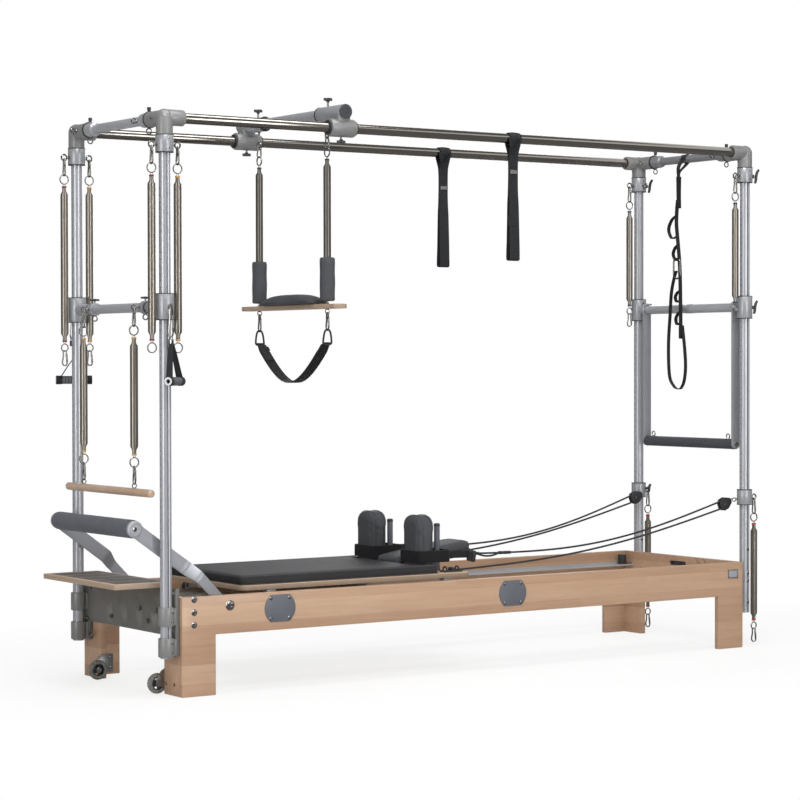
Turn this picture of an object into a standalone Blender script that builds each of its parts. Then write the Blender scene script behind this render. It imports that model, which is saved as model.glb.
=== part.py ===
"""Pilates reformer with a tower at each end, joined by two overhead rails.

Metres, +Z up. X runs along the machine from the foot end to the head end,
-Y is the near side, and the origin is on the floor below the middle.
"""
import math

import bmesh
import bpy
from mathutils import Matrix, Vector

# Clearance between pieces that touch, and between tubes and what they slide in
GAP = 0.0003

# Wooden frame
FRAME_LENGTH = 2.69
FRAME_WIDTH = 0.774
FRAME_HEIGHT = 0.36
RAIL_DEPTH = 0.14
BOARD = 0.026
FOOT_LEG_LENGTH = 0.14
HEAD_LEG_LENGTH = 0.135
LEG_RETURN = 0.11
EDGE_ROUND = 0.003
SLOT_LENGTH = 0.10
SLOT_HEIGHT = 0.015
SLOT_DROP = 0.031

# Tower posts, headers and overhead rails
POST_RADIUS = 0.021
POST_WALL = 0.003
POST_STANDOFF = 0.044
POST_INSET = 0.039
POST_FOOT = 0.142
POST_TOP_DROP = 0.0294
RAIL_AXIS_HEIGHT = 2.083
RAIL_RADIUS = 0.019
FITTING_RADIUS = 0.029
FITTING_DROP = 0.061
FITTING_REACH = 0.076
SLEEVE_REACH = 0.14
CROSS_TUBE_RADIUS = 0.0175
PIN_REACH = 0.115
PIN_RADIUS = 0.007
COLLAR_RADIUS = 0.033
COLLAR_LENGTH = 0.065
COLLAR_DROP = 0.066
EYE_DROP = 0.098
EYE_HEIGHT = RAIL_AXIS_HEIGHT - EYE_DROP
EYE_OFFSET = 0.053
EYE_RADIUS = 0.009
EYE_WIRE = 0.0029
EYE_SHANK = 0.0035
WIRE = 0.0022
LINK_RADIUS = 0.010

# Post clamps and the ribbed end casting
CLAMP_RADIUS = 0.028
CLAMP_LENGTH = 0.068
CLAMP_LOW = 0.147
CLAMP_STEP = 0.111
CASTING_THICKNESS = 0.016
CASTING_LOW = 0.218
CASTING_TOP = 0.392
CASTING_TAB = 0.057
RIB_COUNT = 5
RIB_SWEEP = 0.145
RIB_STEP = 0.118
RIB_RADIUS = 0.006
HEAD_PLATE_LOW = 0.15
HEAD_PLATE_TOP = 0.352
HEAD_PLATE_WIDTH = 0.05

# Standing platform
PLATFORM_REACH = 0.222
PLATFORM_END = 0.012
PLATFORM_WIDTH = 0.588
PLATFORM_THICKNESS = 0.018

# Aluminium tracks
TRACK_START = 0.26
TRACK_LEDGE_HEIGHT = 0.300
TRACK_WIDTH = 0.058
TRACK_HEIGHT = 0.014
TRACK_WALL = 0.005
ROLLER_INSET = 0.02

# Cross bars that slide on the posts
TEE_RADIUS = 0.0325
TEE_LENGTH = 0.096
FOOT_BAR_HEIGHT = 1.405
FOOT_BAR_RADIUS = 0.0175
SOCKET_RADIUS = 0.022
SOCKET_END = 0.215
ROLL_EYE_SPACING = 0.402
ROLL_EYE_OFFSET = 0.048
HEAD_BAR_HEIGHT = 1.432
HEAD_BAR_RADIUS = 0.019

# Push-through bar
PUSH_BAR_DROP = 0.580
PUSH_BAR_HEIGHT = HEAD_BAR_HEIGHT - PUSH_BAR_DROP
PUSH_ARM_SPACING = 0.584
PUSH_ARM_WIDTH = 0.042
PUSH_ARM_THICKNESS = 0.010
PUSH_FOAM_RADIUS = 0.022
PUSH_HUB_RADIUS = 0.029
PUSH_EYE_SPACING = 0.49

# Sliding trapeze
TRAPEZE_X = 0.708
SLIDER_LENGTH = 0.12
SLIDER_RADIUS = 0.034
CARRIER_LIFT = 0.060
CARRIER_HEIGHT = RAIL_AXIS_HEIGHT + CARRIER_LIFT
CARRIER_RADIUS = 0.022
CARRIER_CAP_RADIUS = 0.028
CARRIER_REACH = 0.385
TRAPEZE_SPACING = 0.50
TRAPEZE_EYE_DROP = 0.088
TRAPEZE_RING_HEIGHT = CARRIER_HEIGHT - TRAPEZE_EYE_DROP
TRAPEZE_LINK_LENGTH = 0.080
TRAPEZE_SPRING_TOP = TRAPEZE_RING_HEIGHT - TRAPEZE_LINK_LENGTH
TRAPEZE_SPRING_LENGTH = 0.373
SLEEVE_TOP = TRAPEZE_SPRING_TOP - TRAPEZE_SPRING_LENGTH
SLEEVE_LENGTH = 0.166
SLEEVE_BOTTOM = SLEEVE_TOP - SLEEVE_LENGTH
SLEEVE_RADIUS = 0.0295
TRAPEZE_BAR_LENGTH = 0.71
TRAPEZE_BAR_DROP = 0.020
TRAPEZE_BAR_HEIGHT = SLEEVE_BOTTOM - TRAPEZE_BAR_DROP
TRAPEZE_BAR_DEPTH = 0.056
TRAPEZE_BAR_THICKNESS = 0.018
SEAT_LENGTH = 0.40
SEAT_RISE = 0.040
SEAT_DEPTH = 0.10
SEAT_END_DROP = 0.55
SEAT_END_TAPER = 0.25
SLING_DROP = 0.124
SLING_TOP = TRAPEZE_BAR_HEIGHT - SLING_DROP
SLING_DEPTH = 0.168
SLING_BOTTOM = SLING_TOP - SLING_DEPTH
SLING_WIDTH = 0.040
SLING_THICKNESS = 0.004

# Springs that hang from the posts
SPRING_RADIUS = 0.0135
SPRING_NECK = 0.005
SPRING_TAPER = 0.03
SPRING_CAP = 0.012
FOOT_SPRING_DROP = 0.109
FOOT_SPRING_LENGTH = 0.593
HEAD_SPRING_DROP = 0.113
HEAD_SPRING_LENGTH = 0.423
LOW_SPRING_DROP = 0.112
LOW_SPRING_LENGTH = 0.414
RING_RADIUS = 0.011
HOOK_LENGTH = 0.05
SPRING_SHOULDER = 0.62

# Roll-down springs and bar
ROLL_SPRING_DROP = 0.108
ROLL_SPRING_LENGTH = 0.429
ROLL_BAR_DROP = 0.133
ROLL_BAR_RADIUS = 0.0145
ROLL_BAR_LENGTH = 0.687

# Pulley risers on the head posts
RISER_HEIGHT = 0.63
RISER_LENGTH = 0.065
PULLEY_IN = 0.069
PULLEY_ACROSS = 0.055
PULLEY_DROP = 0.030
PULLEY_RADIUS = 0.022
PULLEY_THICKNESS = 0.024

# Carriage
CARRIAGE_START = 0.30
CARRIAGE_LENGTH = 1.043
CARRIAGE_WIDTH = 0.607
CARRIAGE_BOTTOM = 0.362
CARRIAGE_THICKNESS = 0.018
CORNER_ROUND = 0.03
WHEEL_RADIUS = 0.0195
WHEEL_WIDTH = 0.022
FIRST_WHEEL = 0.12
PAD_INSET = 0.213
PAD_WIDTH = 0.582
PAD_THICKNESS = 0.035
PAD_CROWN = 0.003
CUSHION_ROLL = 0.009
DRAWN_IN = math.sin(math.radians(60))
HEADREST_INSET = 0.193
HEADREST_LENGTH = 0.385
HEADREST_WIDTH = 0.17
HEADREST_THICKNESS = 0.040
HEADREST_TILT = math.radians(9)
HINGE_RADIUS = 0.0035
REST_INSET = 0.160
REST_SPACING = 0.332
REST_DEPTH = 0.064
REST_WIDTH = 0.124
REST_HEIGHT = 0.226
REST_POST_INSET = 0.071
REST_POST_RADIUS = 0.012
REST_POST_HEIGHT = 0.187
BAND_HEIGHT = 0.048
BAND_LIFT = 0.038
BAND_THICKNESS = 0.008
BAND_TAIL = 0.10
CLEAT_INSET = 0.058
CLEAT_SPACING = 0.50

# Footbar
FOOTBAR_PIVOT_X = 0.199
FOOTBAR_PIVOT_HEIGHT = 0.322
FOOTBAR_REACH = 0.347
FOOTBAR_RISE = 0.286
FOOTBAR_ARM_WIDTH = 0.042
FOOTBAR_ARM_THICKNESS = 0.008
FOOTBAR_TUBE_RADIUS = 0.015
ARM_BOW = 0.030
ARM_FIRST_BEND = 0.20
ARM_SECOND_BEND = 0.60
ARM_BEND = 0.075
FOAM_RADIUS = 0.0335
FOAM_LENGTH = 0.60

# Springs under the carriage
SPRING_BAR_X = 0.10
SPRING_BAR_HEIGHT = 0.325
DRIVE_SPRING_COUNT = 4
DRIVE_SPRING_SPACING = 0.09
DRIVE_SPRING_LENGTH = 0.80
DRIVE_SPRING_RADIUS = 0.012

# Transport wheels
TRANSPORT_RADIUS = 0.038
TRANSPORT_WIDTH = 0.024
TRANSPORT_X = -0.02
BRACKET_THICKNESS = 0.004

# Straps and grips
STRAP_THICKNESS = 0.0025
RAIL_STRAP_WIDTH = 0.045
RAIL_STRAP_DROP = 0.483
RAIL_STRAP_SPREAD = 0.006
NEAR_STRAP_X = 1.513
FAR_STRAP_X = 1.667
LOOP_STRAP_Y = 0.03
LOOP_STRAP_WIDTH = 0.024
LOOP_STRAP_TAIL = 0.483
LOOP_STRAP_LENGTH = 0.517
LOOP_STRAP_SPREAD = 0.045
GRIP_DROP = 0.267
GRIP_OUT = 0.066
GRIP_LENGTH = 0.12
GRIP_RADIUS = 0.0135
GRIP_LINK_DROP = 0.115
GRIP_TURN = math.radians(37)

# Ropes
ROPE_RADIUS = 0.0025
ROPE_SLOPE = 0.13
ROPE_SAG = 0.03

# Sides of round pieces
FINE = 12
ROUND = 8
SMALL = 6
TINY = 4
RING_STEPS = 6

# Places worked out from the sizes above
SIDES = {"near": -1, "far": 1}
FOOT_SPRING_TOP = EYE_HEIGHT - FOOT_SPRING_DROP
FOOT_SPRING_BOTTOM = FOOT_SPRING_TOP - FOOT_SPRING_LENGTH
HEAD_SPRING_TOP = EYE_HEIGHT - HEAD_SPRING_DROP
HEAD_SPRING_BOTTOM = HEAD_SPRING_TOP - HEAD_SPRING_LENGTH
LOW_SPRING_TOP = RISER_HEIGHT - LOW_SPRING_DROP
LOW_SPRING_BOTTOM = LOW_SPRING_TOP - LOW_SPRING_LENGTH
ROLL_SPRING_TOP = FOOT_BAR_HEIGHT - ROLL_SPRING_DROP
ROLL_SPRING_BOTTOM = ROLL_SPRING_TOP - ROLL_SPRING_LENGTH
ROLL_BAR_HEIGHT = ROLL_SPRING_BOTTOM - ROLL_BAR_DROP
PULLEY_HEIGHT = RISER_HEIGHT - PULLEY_DROP
CARRIAGE_END = CARRIAGE_START + CARRIAGE_LENGTH
PAD_END = CARRIAGE_END - PAD_INSET
HEADREST_START = CARRIAGE_END - HEADREST_INSET
REST_X = CARRIAGE_END - REST_INSET
REST_POST_X = CARRIAGE_END - REST_POST_INSET
CLEAT_X = CARRIAGE_END - CLEAT_INSET
RAIL_STRAP_BOTTOM = RAIL_AXIS_HEIGHT - RAIL_STRAP_DROP
LOOP_STRAP_JOIN = RAIL_AXIS_HEIGHT - LOOP_STRAP_TAIL
LOOP_STRAP_BOTTOM = LOOP_STRAP_JOIN - LOOP_STRAP_LENGTH
GRIP_HEIGHT = FOOT_BAR_HEIGHT - GRIP_DROP
GRIP_APEX = FOOT_BAR_HEIGHT - GRIP_LINK_DROP
HALF = FRAME_WIDTH / 2
INNER = HALF - BOARD
RAIL_LOW = FRAME_HEIGHT - RAIL_DEPTH
POST_Y = HALF - POST_INSET
POST_TOP = RAIL_AXIS_HEIGHT - POST_TOP_DROP
FOOT_POST_X = -POST_STANDOFF
HEAD_POST_X = FRAME_LENGTH + POST_STANDOFF
BORE = POST_RADIUS + GAP
RING_FLAT = math.cos(math.pi / RING_STEPS)
EYE_SEAT = RING_FLAT * (EYE_RADIUS - EYE_WIRE)
RING_SEAT = RING_FLAT * (RING_RADIUS - WIRE)
EYE_AXIS = RING_FLAT * EYE_RADIUS
CARRIAGE_TOP = CARRIAGE_BOTTOM + CARRIAGE_THICKNESS
BAND_TAIL_X = REST_POST_X + REST_POST_RADIUS + BAND_THICKNESS + BAND_TAIL
MIDDLE_X = (FRAME_LENGTH + POST_STANDOFF + EYE_OFFSET + SPRING_RADIUS - PLATFORM_REACH) / 2


def clear_scene():
    """Remove every object that the file starts with."""
    for ob in list(bpy.data.objects):
        bpy.data.objects.remove(ob, do_unlink=True)


def material(name, colour, rough, metal):
    """A Principled material with one colour."""
    mat = bpy.data.materials.new(name)
    mat.use_nodes = True
    shader = mat.node_tree.nodes["Principled BSDF"]
    shader.inputs["Base Color"].default_value = (*colour, 1)
    shader.inputs["Roughness"].default_value = rough
    shader.inputs["Metallic"].default_value = metal
    mat.diffuse_color = (*colour, 1)
    return mat


def scrap(bm):
    """A temporary object that holds one shape until it is joined or cut."""
    bmesh.ops.recalc_face_normals(bm, faces=bm.faces)
    mesh = bpy.data.meshes.new("shape")
    bm.to_mesh(mesh)
    bm.free()
    ob = bpy.data.objects.new("shape", mesh)
    bpy.context.collection.objects.link(ob)
    return ob


def box(x0, x1, y0, y1, z0, z1, rounding=0.0, upright=False, steps=1):
    """A block, with all edges or only its upright edges rounded."""
    bm = bmesh.new()
    bmesh.ops.create_cube(bm, size=1)
    for v in bm.verts:
        v.co = Vector((
            x0 if v.co.x < 0 else x1,
            y0 if v.co.y < 0 else y1,
            z0 if v.co.z < 0 else z1,
        ))
    if rounding:
        edges = bm.edges[:]
        if upright:
            edges = [e for e in edges if abs(e.verts[0].co.z - e.verts[1].co.z) > GAP]
        bmesh.ops.bevel(
            bm, geom=edges, offset=rounding, segments=steps, affect="EDGES", profile=0.5
        )
    return scrap(bm)


def prism(outline, direction, start, end, rounding=0.0):
    """An outline in the plane across X or Y, drawn out from start to end."""
    bm = bmesh.new()
    place = {
        "X": lambda a, b, t: (t, a, b),
        "Y": lambda a, b, t: (a, t, b),
    }[direction]
    low = [bm.verts.new(place(a, b, start)) for a, b in outline]
    high = [bm.verts.new(place(a, b, end)) for a, b in outline]
    bm.faces.new(low)
    bm.faces.new(high)
    count = len(outline)
    for i in range(count):
        bm.faces.new((low[i], low[(i + 1) % count], high[(i + 1) % count], high[i]))
    if rounding:
        bmesh.ops.recalc_face_normals(bm, faces=bm.faces)
        edges = [e for e in bm.edges if e.is_convex]
        bmesh.ops.bevel(bm, geom=edges, offset=rounding, segments=1, affect="EDGES", profile=0.5)
    return scrap(bm)


def across(direction):
    """Two unit vectors square to a direction and to each other."""
    helper = Vector((0, 0, 1)) if abs(direction.z) < 0.9 else Vector((1, 0, 0))
    first = direction.cross(helper).normalized()
    return first, direction.cross(first).normalized()


def turned(start, end, profile, sides=ROUND):
    """A solid of revolution. profile holds (distance from start, radius) along the axis."""
    start, end = Vector(start), Vector(end)
    along = (end - start).normalized()
    u, v = across(along)
    bm = bmesh.new()
    rings = []
    for distance, radius in profile:
        centre = start + along * distance
        rings.append([
            bm.verts.new(
                centre
                + u * (radius * math.cos(math.tau * i / sides))
                + v * (radius * math.sin(math.tau * i / sides))
            )
            for i in range(sides)
        ])
    for a, b in zip(rings, rings[1:]):
        for i in range(sides):
            bm.faces.new((a[i], a[(i + 1) % sides], b[(i + 1) % sides], b[i]))
    bm.faces.new(rings[0])
    bm.faces.new(rings[-1])
    return scrap(bm)


def rod(start, end, radius, sides=ROUND, chamfer=0.0):
    """A round bar from start to end."""
    length = (Vector(end) - Vector(start)).length
    if chamfer:
        profile = [
            (0, radius - chamfer),
            (chamfer, radius),
            (length - chamfer, radius),
            (length, radius - chamfer),
        ]
    else:
        profile = [(0, radius), (length, radius)]
    return turned(start, end, profile, sides)


def turning_bore(start, end, radius, sides):
    """A hole whose flats clear a bar of this radius and as many sides as it turns."""
    return rod(start, end, (radius + GAP) / math.cos(math.pi / sides), sides)


def sweep(path, corners, count, closed):
    """Skin a section of count corners along a path; corners(i) gives their offsets at point i."""
    bm = bmesh.new()
    rings = [[bm.verts.new(Vector(p) + c) for c in corners(i)] for i, p in enumerate(path)]
    pairs = list(zip(rings, rings[1:]))
    if closed:
        pairs.append((rings[-1], rings[0]))
    for a, b in pairs:
        for k in range(count):
            bm.faces.new((a[k], a[(k + 1) % count], b[(k + 1) % count], b[k]))
    if not closed:
        bm.faces.new(rings[0])
        bm.faces.new(rings[-1])
    return scrap(bm)


def tangent(path, i, closed):
    """Unit direction of a path at point i."""
    count = len(path)
    if closed:
        a, b = path[(i - 1) % count], path[(i + 1) % count]
    else:
        a, b = path[max(i - 1, 0)], path[min(i + 1, count - 1)]
    return (Vector(b) - Vector(a)).normalized()


def ribbon(path, side, width, thickness, closed=False):
    """A flat strap along a path, its width along side."""
    side = Vector(side).normalized()

    def corners(i):
        normal = tangent(path, i, closed).cross(side).normalized()
        return [
            side * (a * width / 2) + normal * (b * thickness / 2)
            for a, b in ((-1, -1), (1, -1), (1, 1), (-1, 1))
        ]

    return sweep(path, corners, 4, closed)


def wire(path, side, radius, sides=TINY, closed=False):
    """A round wire along a path that lies square to side."""
    side = Vector(side).normalized()

    def corners(i):
        normal = tangent(path, i, closed).cross(side).normalized()
        return [
            side * (radius * math.cos(math.tau * k / sides))
            + normal * (radius * math.sin(math.tau * k / sides))
            for k in range(sides)
        ]

    return sweep(path, corners, sides, closed)


def oval(centre, normal, radius, stretch=0.0, steps=RING_STEPS):
    """Points of a ring round centre, drawn out by stretch along Z."""
    centre = Vector(centre)
    normal = Vector(normal).normalized()
    first = Vector((0, 0, 1)) if abs(normal.z) < 0.9 else Vector((1, 0, 0))
    second = normal.cross(first)
    points = []
    for i in range(steps):
        angle = math.tau * (i + 0.5) / steps
        lift = stretch / 2 if math.cos(angle) > 0 else -stretch / 2
        points.append(
            centre
            + first * (radius * math.cos(angle) + lift)
            + second * (radius * math.sin(angle))
        )
    return points


def ring(centre, normal, radius, thickness=WIRE, stretch=0.0, steps=RING_STEPS):
    """A closed wire ring or, with stretch, a long link."""
    return wire(oval(centre, normal, radius, stretch, steps), normal, thickness, TINY, True)


def link(x, y, upper, lower, normal):
    """A long link that hangs over a wire whose top is at upper and lifts one with its underside at lower."""
    inner = RING_FLAT * (LINK_RADIUS - WIRE)
    stretch = upper - lower + 2 * GAP - 2 * inner
    return ring((x, y, (upper + lower) / 2), normal, LINK_RADIUS, WIRE, stretch)


def neck_ring(x, y, height, end, normal):
    """The ring at a spring's end, with the short shank that joins them."""
    toward = 1 if end > height else -1
    return [
        ring((x, y, height), normal, RING_RADIUS),
        rod((x, y, height + toward * (RING_RADIUS - WIRE / 2)), (x, y, end), WIRE * 1.5, SMALL),
    ]


def combine(base, others, operation):
    """Join or cut base with the others and drop them."""
    for other in others:
        mod = base.modifiers.new("combine", "BOOLEAN")
        mod.operation = operation
        mod.solver = "EXACT"
        mod.object = other
    graph = bpy.context.evaluated_depsgraph_get()
    graph.update()
    mesh = bpy.data.meshes.new_from_object(base.evaluated_get(graph))
    base.modifiers.clear()
    base.data = mesh
    for other in others:
        bpy.data.objects.remove(other, do_unlink=True)


def piece(name, mat, shapes, cuts=(), origin=None):
    """Join shapes, cut them, name the solid and put its origin on its joint's axis."""
    base = shapes[0]
    if len(shapes) > 1:
        combine(base, shapes[1:], "UNION")
    if cuts:
        combine(base, list(cuts), "DIFFERENCE")
    mesh = base.data
    mesh.name = name
    base.name = name
    bm = bmesh.new()
    bm.from_mesh(mesh)
    bmesh.ops.dissolve_degenerate(bm, dist=0.00002, edges=bm.edges)
    bmesh.ops.triangulate(bm, faces=[f for f in bm.faces if len(f.verts) > 4])
    bm.to_mesh(mesh)
    bm.free()
    mesh.materials.clear()
    mesh.materials.append(mat)
    mesh.shade_smooth()
    mesh.set_sharp_from_angle(angle=math.radians(32))
    centre = Vector(origin) if origin else Vector((0, 0, 0))
    mesh.transform(Matrix.Translation(-centre))
    base.location = centre - Vector((MIDDLE_X, 0, 0))
    return base


def make_materials():
    """The object's finishes by name."""
    return {
        "wood": material("beech", (0.60, 0.39, 0.24), 0.5, 0.0),
        "ply": material("plywood", (0.55, 0.42, 0.30), 0.55, 0.0),
        "post": material("silver_paint", (0.38, 0.39, 0.41), 0.35, 0.8),
        "fitting": material("grey_fitting", (0.22, 0.22, 0.21), 0.5, 0.3),
        "steel": material("brushed_steel", (0.42, 0.40, 0.37), 0.3, 1.0),
        "spring": material("spring_steel", (0.20, 0.18, 0.15), 0.4, 0.9),
        "dark": material("dark_casting", (0.09, 0.09, 0.085), 0.5, 0.2),
        "alloy": material("aluminium", (0.62, 0.62, 0.62), 0.35, 1.0),
        "vinyl": material("charcoal_vinyl", (0.05, 0.05, 0.052), 0.5, 0.0),
        "foam": material("charcoal_foam", (0.055, 0.058, 0.065), 0.7, 0.0),
        "webbing": material("black_webbing", (0.012, 0.012, 0.014), 0.85, 0.0),
        "wheel": material("clear_grey_urethane", (0.35, 0.35, 0.34), 0.25, 0.0),
        "rope": material("black_rope", (0.010, 0.010, 0.011), 0.8, 0.0),
    }


def make_frame(mats):
    """Two sides and two ends, cut from boards, with their L-shaped legs."""
    side_outline = [
        (0, 0),
        (FOOT_LEG_LENGTH, 0),
        (FOOT_LEG_LENGTH, RAIL_LOW),
        (FRAME_LENGTH - HEAD_LEG_LENGTH, RAIL_LOW),
        (FRAME_LENGTH - HEAD_LEG_LENGTH, 0),
        (FRAME_LENGTH, 0),
        (FRAME_LENGTH, FRAME_HEIGHT),
        (0, FRAME_HEIGHT),
    ]
    for side, s in SIDES.items():
        shape = prism(side_outline, "Y", s * INNER, s * HALF, EDGE_ROUND)
        piece(f"side_panel_{side}", mats["wood"], [shape])
    reach = INNER - GAP
    step = reach - LEG_RETURN
    end_outline = [
        (-reach, 0),
        (-step, 0),
        (-step, RAIL_LOW),
        (step, RAIL_LOW),
        (step, 0),
        (reach, 0),
        (reach, FRAME_HEIGHT),
        (-reach, FRAME_HEIGHT),
    ]
    foot = prism(end_outline, "X", 0, BOARD, EDGE_ROUND)
    piece("foot_end_panel", mats["wood"], [foot])
    head = prism(end_outline, "X", FRAME_LENGTH - BOARD, FRAME_LENGTH, EDGE_ROUND)
    slot_top = FRAME_HEIGHT - SLOT_DROP + SLOT_HEIGHT / 2
    slot = box(
        FRAME_LENGTH - 2 * BOARD,
        FRAME_LENGTH + BOARD,
        -SLOT_LENGTH / 2,
        SLOT_LENGTH / 2,
        slot_top - SLOT_HEIGHT,
        slot_top,
    )
    piece("head_end_panel", mats["wood"], [head], [slot])


def make_casting(mats):
    """The ribbed plate across the foot end, with two clamps round each foot post."""
    reach = POST_Y + POST_RADIUS
    inner = reach - CASTING_TAB
    outline = [
        (-reach, CLAMP_LOW),
        (-inner, CLAMP_LOW),
        (-inner, CASTING_LOW),
        (inner, CASTING_LOW),
        (inner, CLAMP_LOW),
        (reach, CLAMP_LOW),
        (reach, CASTING_TOP),
        (-reach, CASTING_TOP),
    ]
    front = -GAP - CASTING_THICKNESS
    shapes = [prism(outline, "X", front, -GAP)]
    for k in range(RIB_COUNT):
        centre = (RIB_COUNT / 2 - k) * RIB_STEP - RIB_STEP / 4
        path = []
        for i in range(7):
            angle = math.radians(84 - 13 * i)
            path.append((
                front,
                centre - RIB_SWEEP * math.cos(angle),
                CASTING_LOW + RIB_SWEEP * math.sin(angle),
            ))
        shapes.append(wire(path, (1, 0, 0), RIB_RADIUS))
    bores = []
    for s in SIDES.values():
        y = s * POST_Y
        for k in range(2):
            low = CLAMP_LOW + k * CLAMP_STEP
            top = low + CLAMP_LENGTH
            shapes.append(rod((FOOT_POST_X, y, low), (FOOT_POST_X, y, top), CLAMP_RADIUS, FINE))
            shapes.append(box(
                FOOT_POST_X, front + CASTING_THICKNESS / 2,
                y - CLAMP_RADIUS / 2, y + CLAMP_RADIUS / 2,
                low + RIB_RADIUS, top - RIB_RADIUS,
            ))
        bores.append(rod(
            (FOOT_POST_X, y, CLAMP_LOW - BOARD), (FOOT_POST_X, y, FRAME_HEIGHT + BOARD * 2), BORE, FINE
        ))
    piece("foot_end_casting", mats["dark"], shapes, bores)


def make_platform(mats):
    """The plywood board to stand on."""
    low = CASTING_TOP + GAP
    shape = box(
        -PLATFORM_REACH, PLATFORM_END,
        -PLATFORM_WIDTH / 2, PLATFORM_WIDTH / 2,
        low, low + PLATFORM_THICKNESS,
        CORNER_ROUND / 2, True, 3,
    )
    piece("standing_platform", mats["ply"], [shape])


def make_tracks(mats):
    """The aluminium sections that the carriage rolls on."""
    low, wall = TRACK_LEDGE_HEIGHT, TRACK_WALL
    for side, s in SIDES.items():
        a = INNER - GAP
        outline = [
            (a, low),
            (a - TRACK_WIDTH, low),
            (a - TRACK_WIDTH, low + wall),
            (a - wall, low + wall),
            (a - wall, low + TRACK_HEIGHT),
            (a, low + TRACK_HEIGHT),
        ]
        shape = prism(
            [(s * y, z) for y, z in outline], "X", TRACK_START, FRAME_LENGTH - BOARD - GAP
        )
        piece(f"track_{side}", mats["alloy"], [shape])


def eye(centre, post_axis, normal):
    """An eyebolt: a ring on a short shank that starts at post_axis."""
    centre, base = Vector(centre), Vector(post_axis)
    back = (base - centre).normalized()
    base -= back * WIRE
    return [
        ring(centre, normal, EYE_RADIUS, EYE_WIRE),
        rod(centre + back * (EYE_RADIUS + WIRE / 3), base, EYE_SHANK, SMALL),
    ]


def make_posts(mats):
    """Four tube posts, each with its clamped eyebolt collar; the head posts carry a plate."""
    collar_top = RAIL_AXIS_HEIGHT - FITTING_DROP - GAP
    for end, x in (("foot", FOOT_POST_X), ("head", HEAD_POST_X)):
        for side, s in SIDES.items():
            y = s * POST_Y
            tube = rod((x, y, POST_FOOT), (x, y, POST_TOP), POST_RADIUS, FINE)
            collar = rod(
                (x, y, collar_top - COLLAR_LENGTH), (x, y, collar_top), COLLAR_RADIUS, FINE, WIRE
            )
            shapes = [tube, collar]
            for step in (-1, 1) if end == "foot" else (-1,):
                shapes += eye((x + step * EYE_OFFSET, y, EYE_HEIGHT), (x, y, EYE_HEIGHT), (0, 1, 0))
            if end == "head":
                shapes.append(box(
                    FRAME_LENGTH + GAP, x,
                    y - HEAD_PLATE_WIDTH / 2, y + HEAD_PLATE_WIDTH / 2,
                    HEAD_PLATE_LOW, HEAD_PLATE_TOP,
                ))
            bore = rod(
                (x, y, POST_FOOT - BOARD), (x, y, POST_TOP + BOARD), POST_RADIUS - POST_WALL, ROUND
            )
            piece(f"{end}_post_{side}", mats["post"], shapes, [bore])


def make_headers(mats):
    """The cast elbows on top of each pair of posts, with the tube between them."""
    z = RAIL_AXIS_HEIGHT
    for end, x, inward in (("foot", FOOT_POST_X, 1), ("head", HEAD_POST_X, -1)):
        reach = POST_Y - SLEEVE_REACH
        shapes = [rod((x, -reach - BOARD, z), (x, reach + BOARD, z), CROSS_TUBE_RADIUS, ROUND)]
        cuts = []
        for s in SIDES.values():
            y = s * POST_Y
            low = z - FITTING_DROP
            dome = [
                (0, FITTING_RADIUS),
                (FITTING_DROP + FITTING_RADIUS * 0.35, FITTING_RADIUS),
                (FITTING_DROP + FITTING_RADIUS * 0.8, FITTING_RADIUS * 0.8),
                (FITTING_DROP + FITTING_RADIUS * 1.1, FITTING_RADIUS * 0.4),
            ]
            shapes.append(turned((x, y, low), (x, y, z), dome, FINE))
            shapes.append(rod(
                (x, y, z), (x + inward * FITTING_REACH, y, z), FITTING_RADIUS - WIRE, FINE, WIRE
            ))
            shapes.append(rod(
                (x, y, z), (x, s * reach, z), FITTING_RADIUS - 2 * WIRE, FINE
            ))
            pin = y - s * PIN_REACH
            shapes.append(turned(
                (x, pin, z + WIRE / 2), (x, pin, z + 1),
                [(0, PIN_RADIUS / 2), (FITTING_RADIUS + PIN_RADIUS, PIN_RADIUS / 2),
                 (FITTING_RADIUS + PIN_RADIUS, PIN_RADIUS), (FITTING_RADIUS + PIN_RADIUS * 2, PIN_RADIUS)],
                SMALL,
            ))
            shapes += eye(
                (x, pin, z - FITTING_RADIUS - EYE_RADIUS), (x, pin, z), (0, 1, 0)
            )
            cuts.append(rod((x, y, low - BOARD), (x, y, POST_TOP + GAP), BORE, FINE))
            cuts.append(rod(
                (x + inward * (BORE + WIRE), y, z),
                (x + inward * (FITTING_REACH + BOARD), y, z),
                RAIL_RADIUS + GAP, FINE,
            ))
        piece(f"{end}_header", mats["fitting"], shapes, cuts)


def make_rails(mats):
    """The two overhead tubes along the machine."""
    z = RAIL_AXIS_HEIGHT
    inset = BORE + WIRE + GAP
    for side, s in SIDES.items():
        y = s * POST_Y
        start, end = (FOOT_POST_X + inset, y, z), (HEAD_POST_X - inset, y, z)
        tube = rod(start, end, RAIL_RADIUS, FINE)
        bore = rod(
            (start[0] - BOARD, y, z), (end[0] + BOARD, y, z), RAIL_RADIUS - POST_WALL, ROUND
        )
        piece(f"top_rail_{side}", mats["steel"], [tube], [bore])


def tee(x, y, z):
    """A collar round a post at the height z."""
    return rod((x, y, z - TEE_LENGTH / 2), (x, y, z + TEE_LENGTH / 2), TEE_RADIUS, FINE, WIRE)


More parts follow.
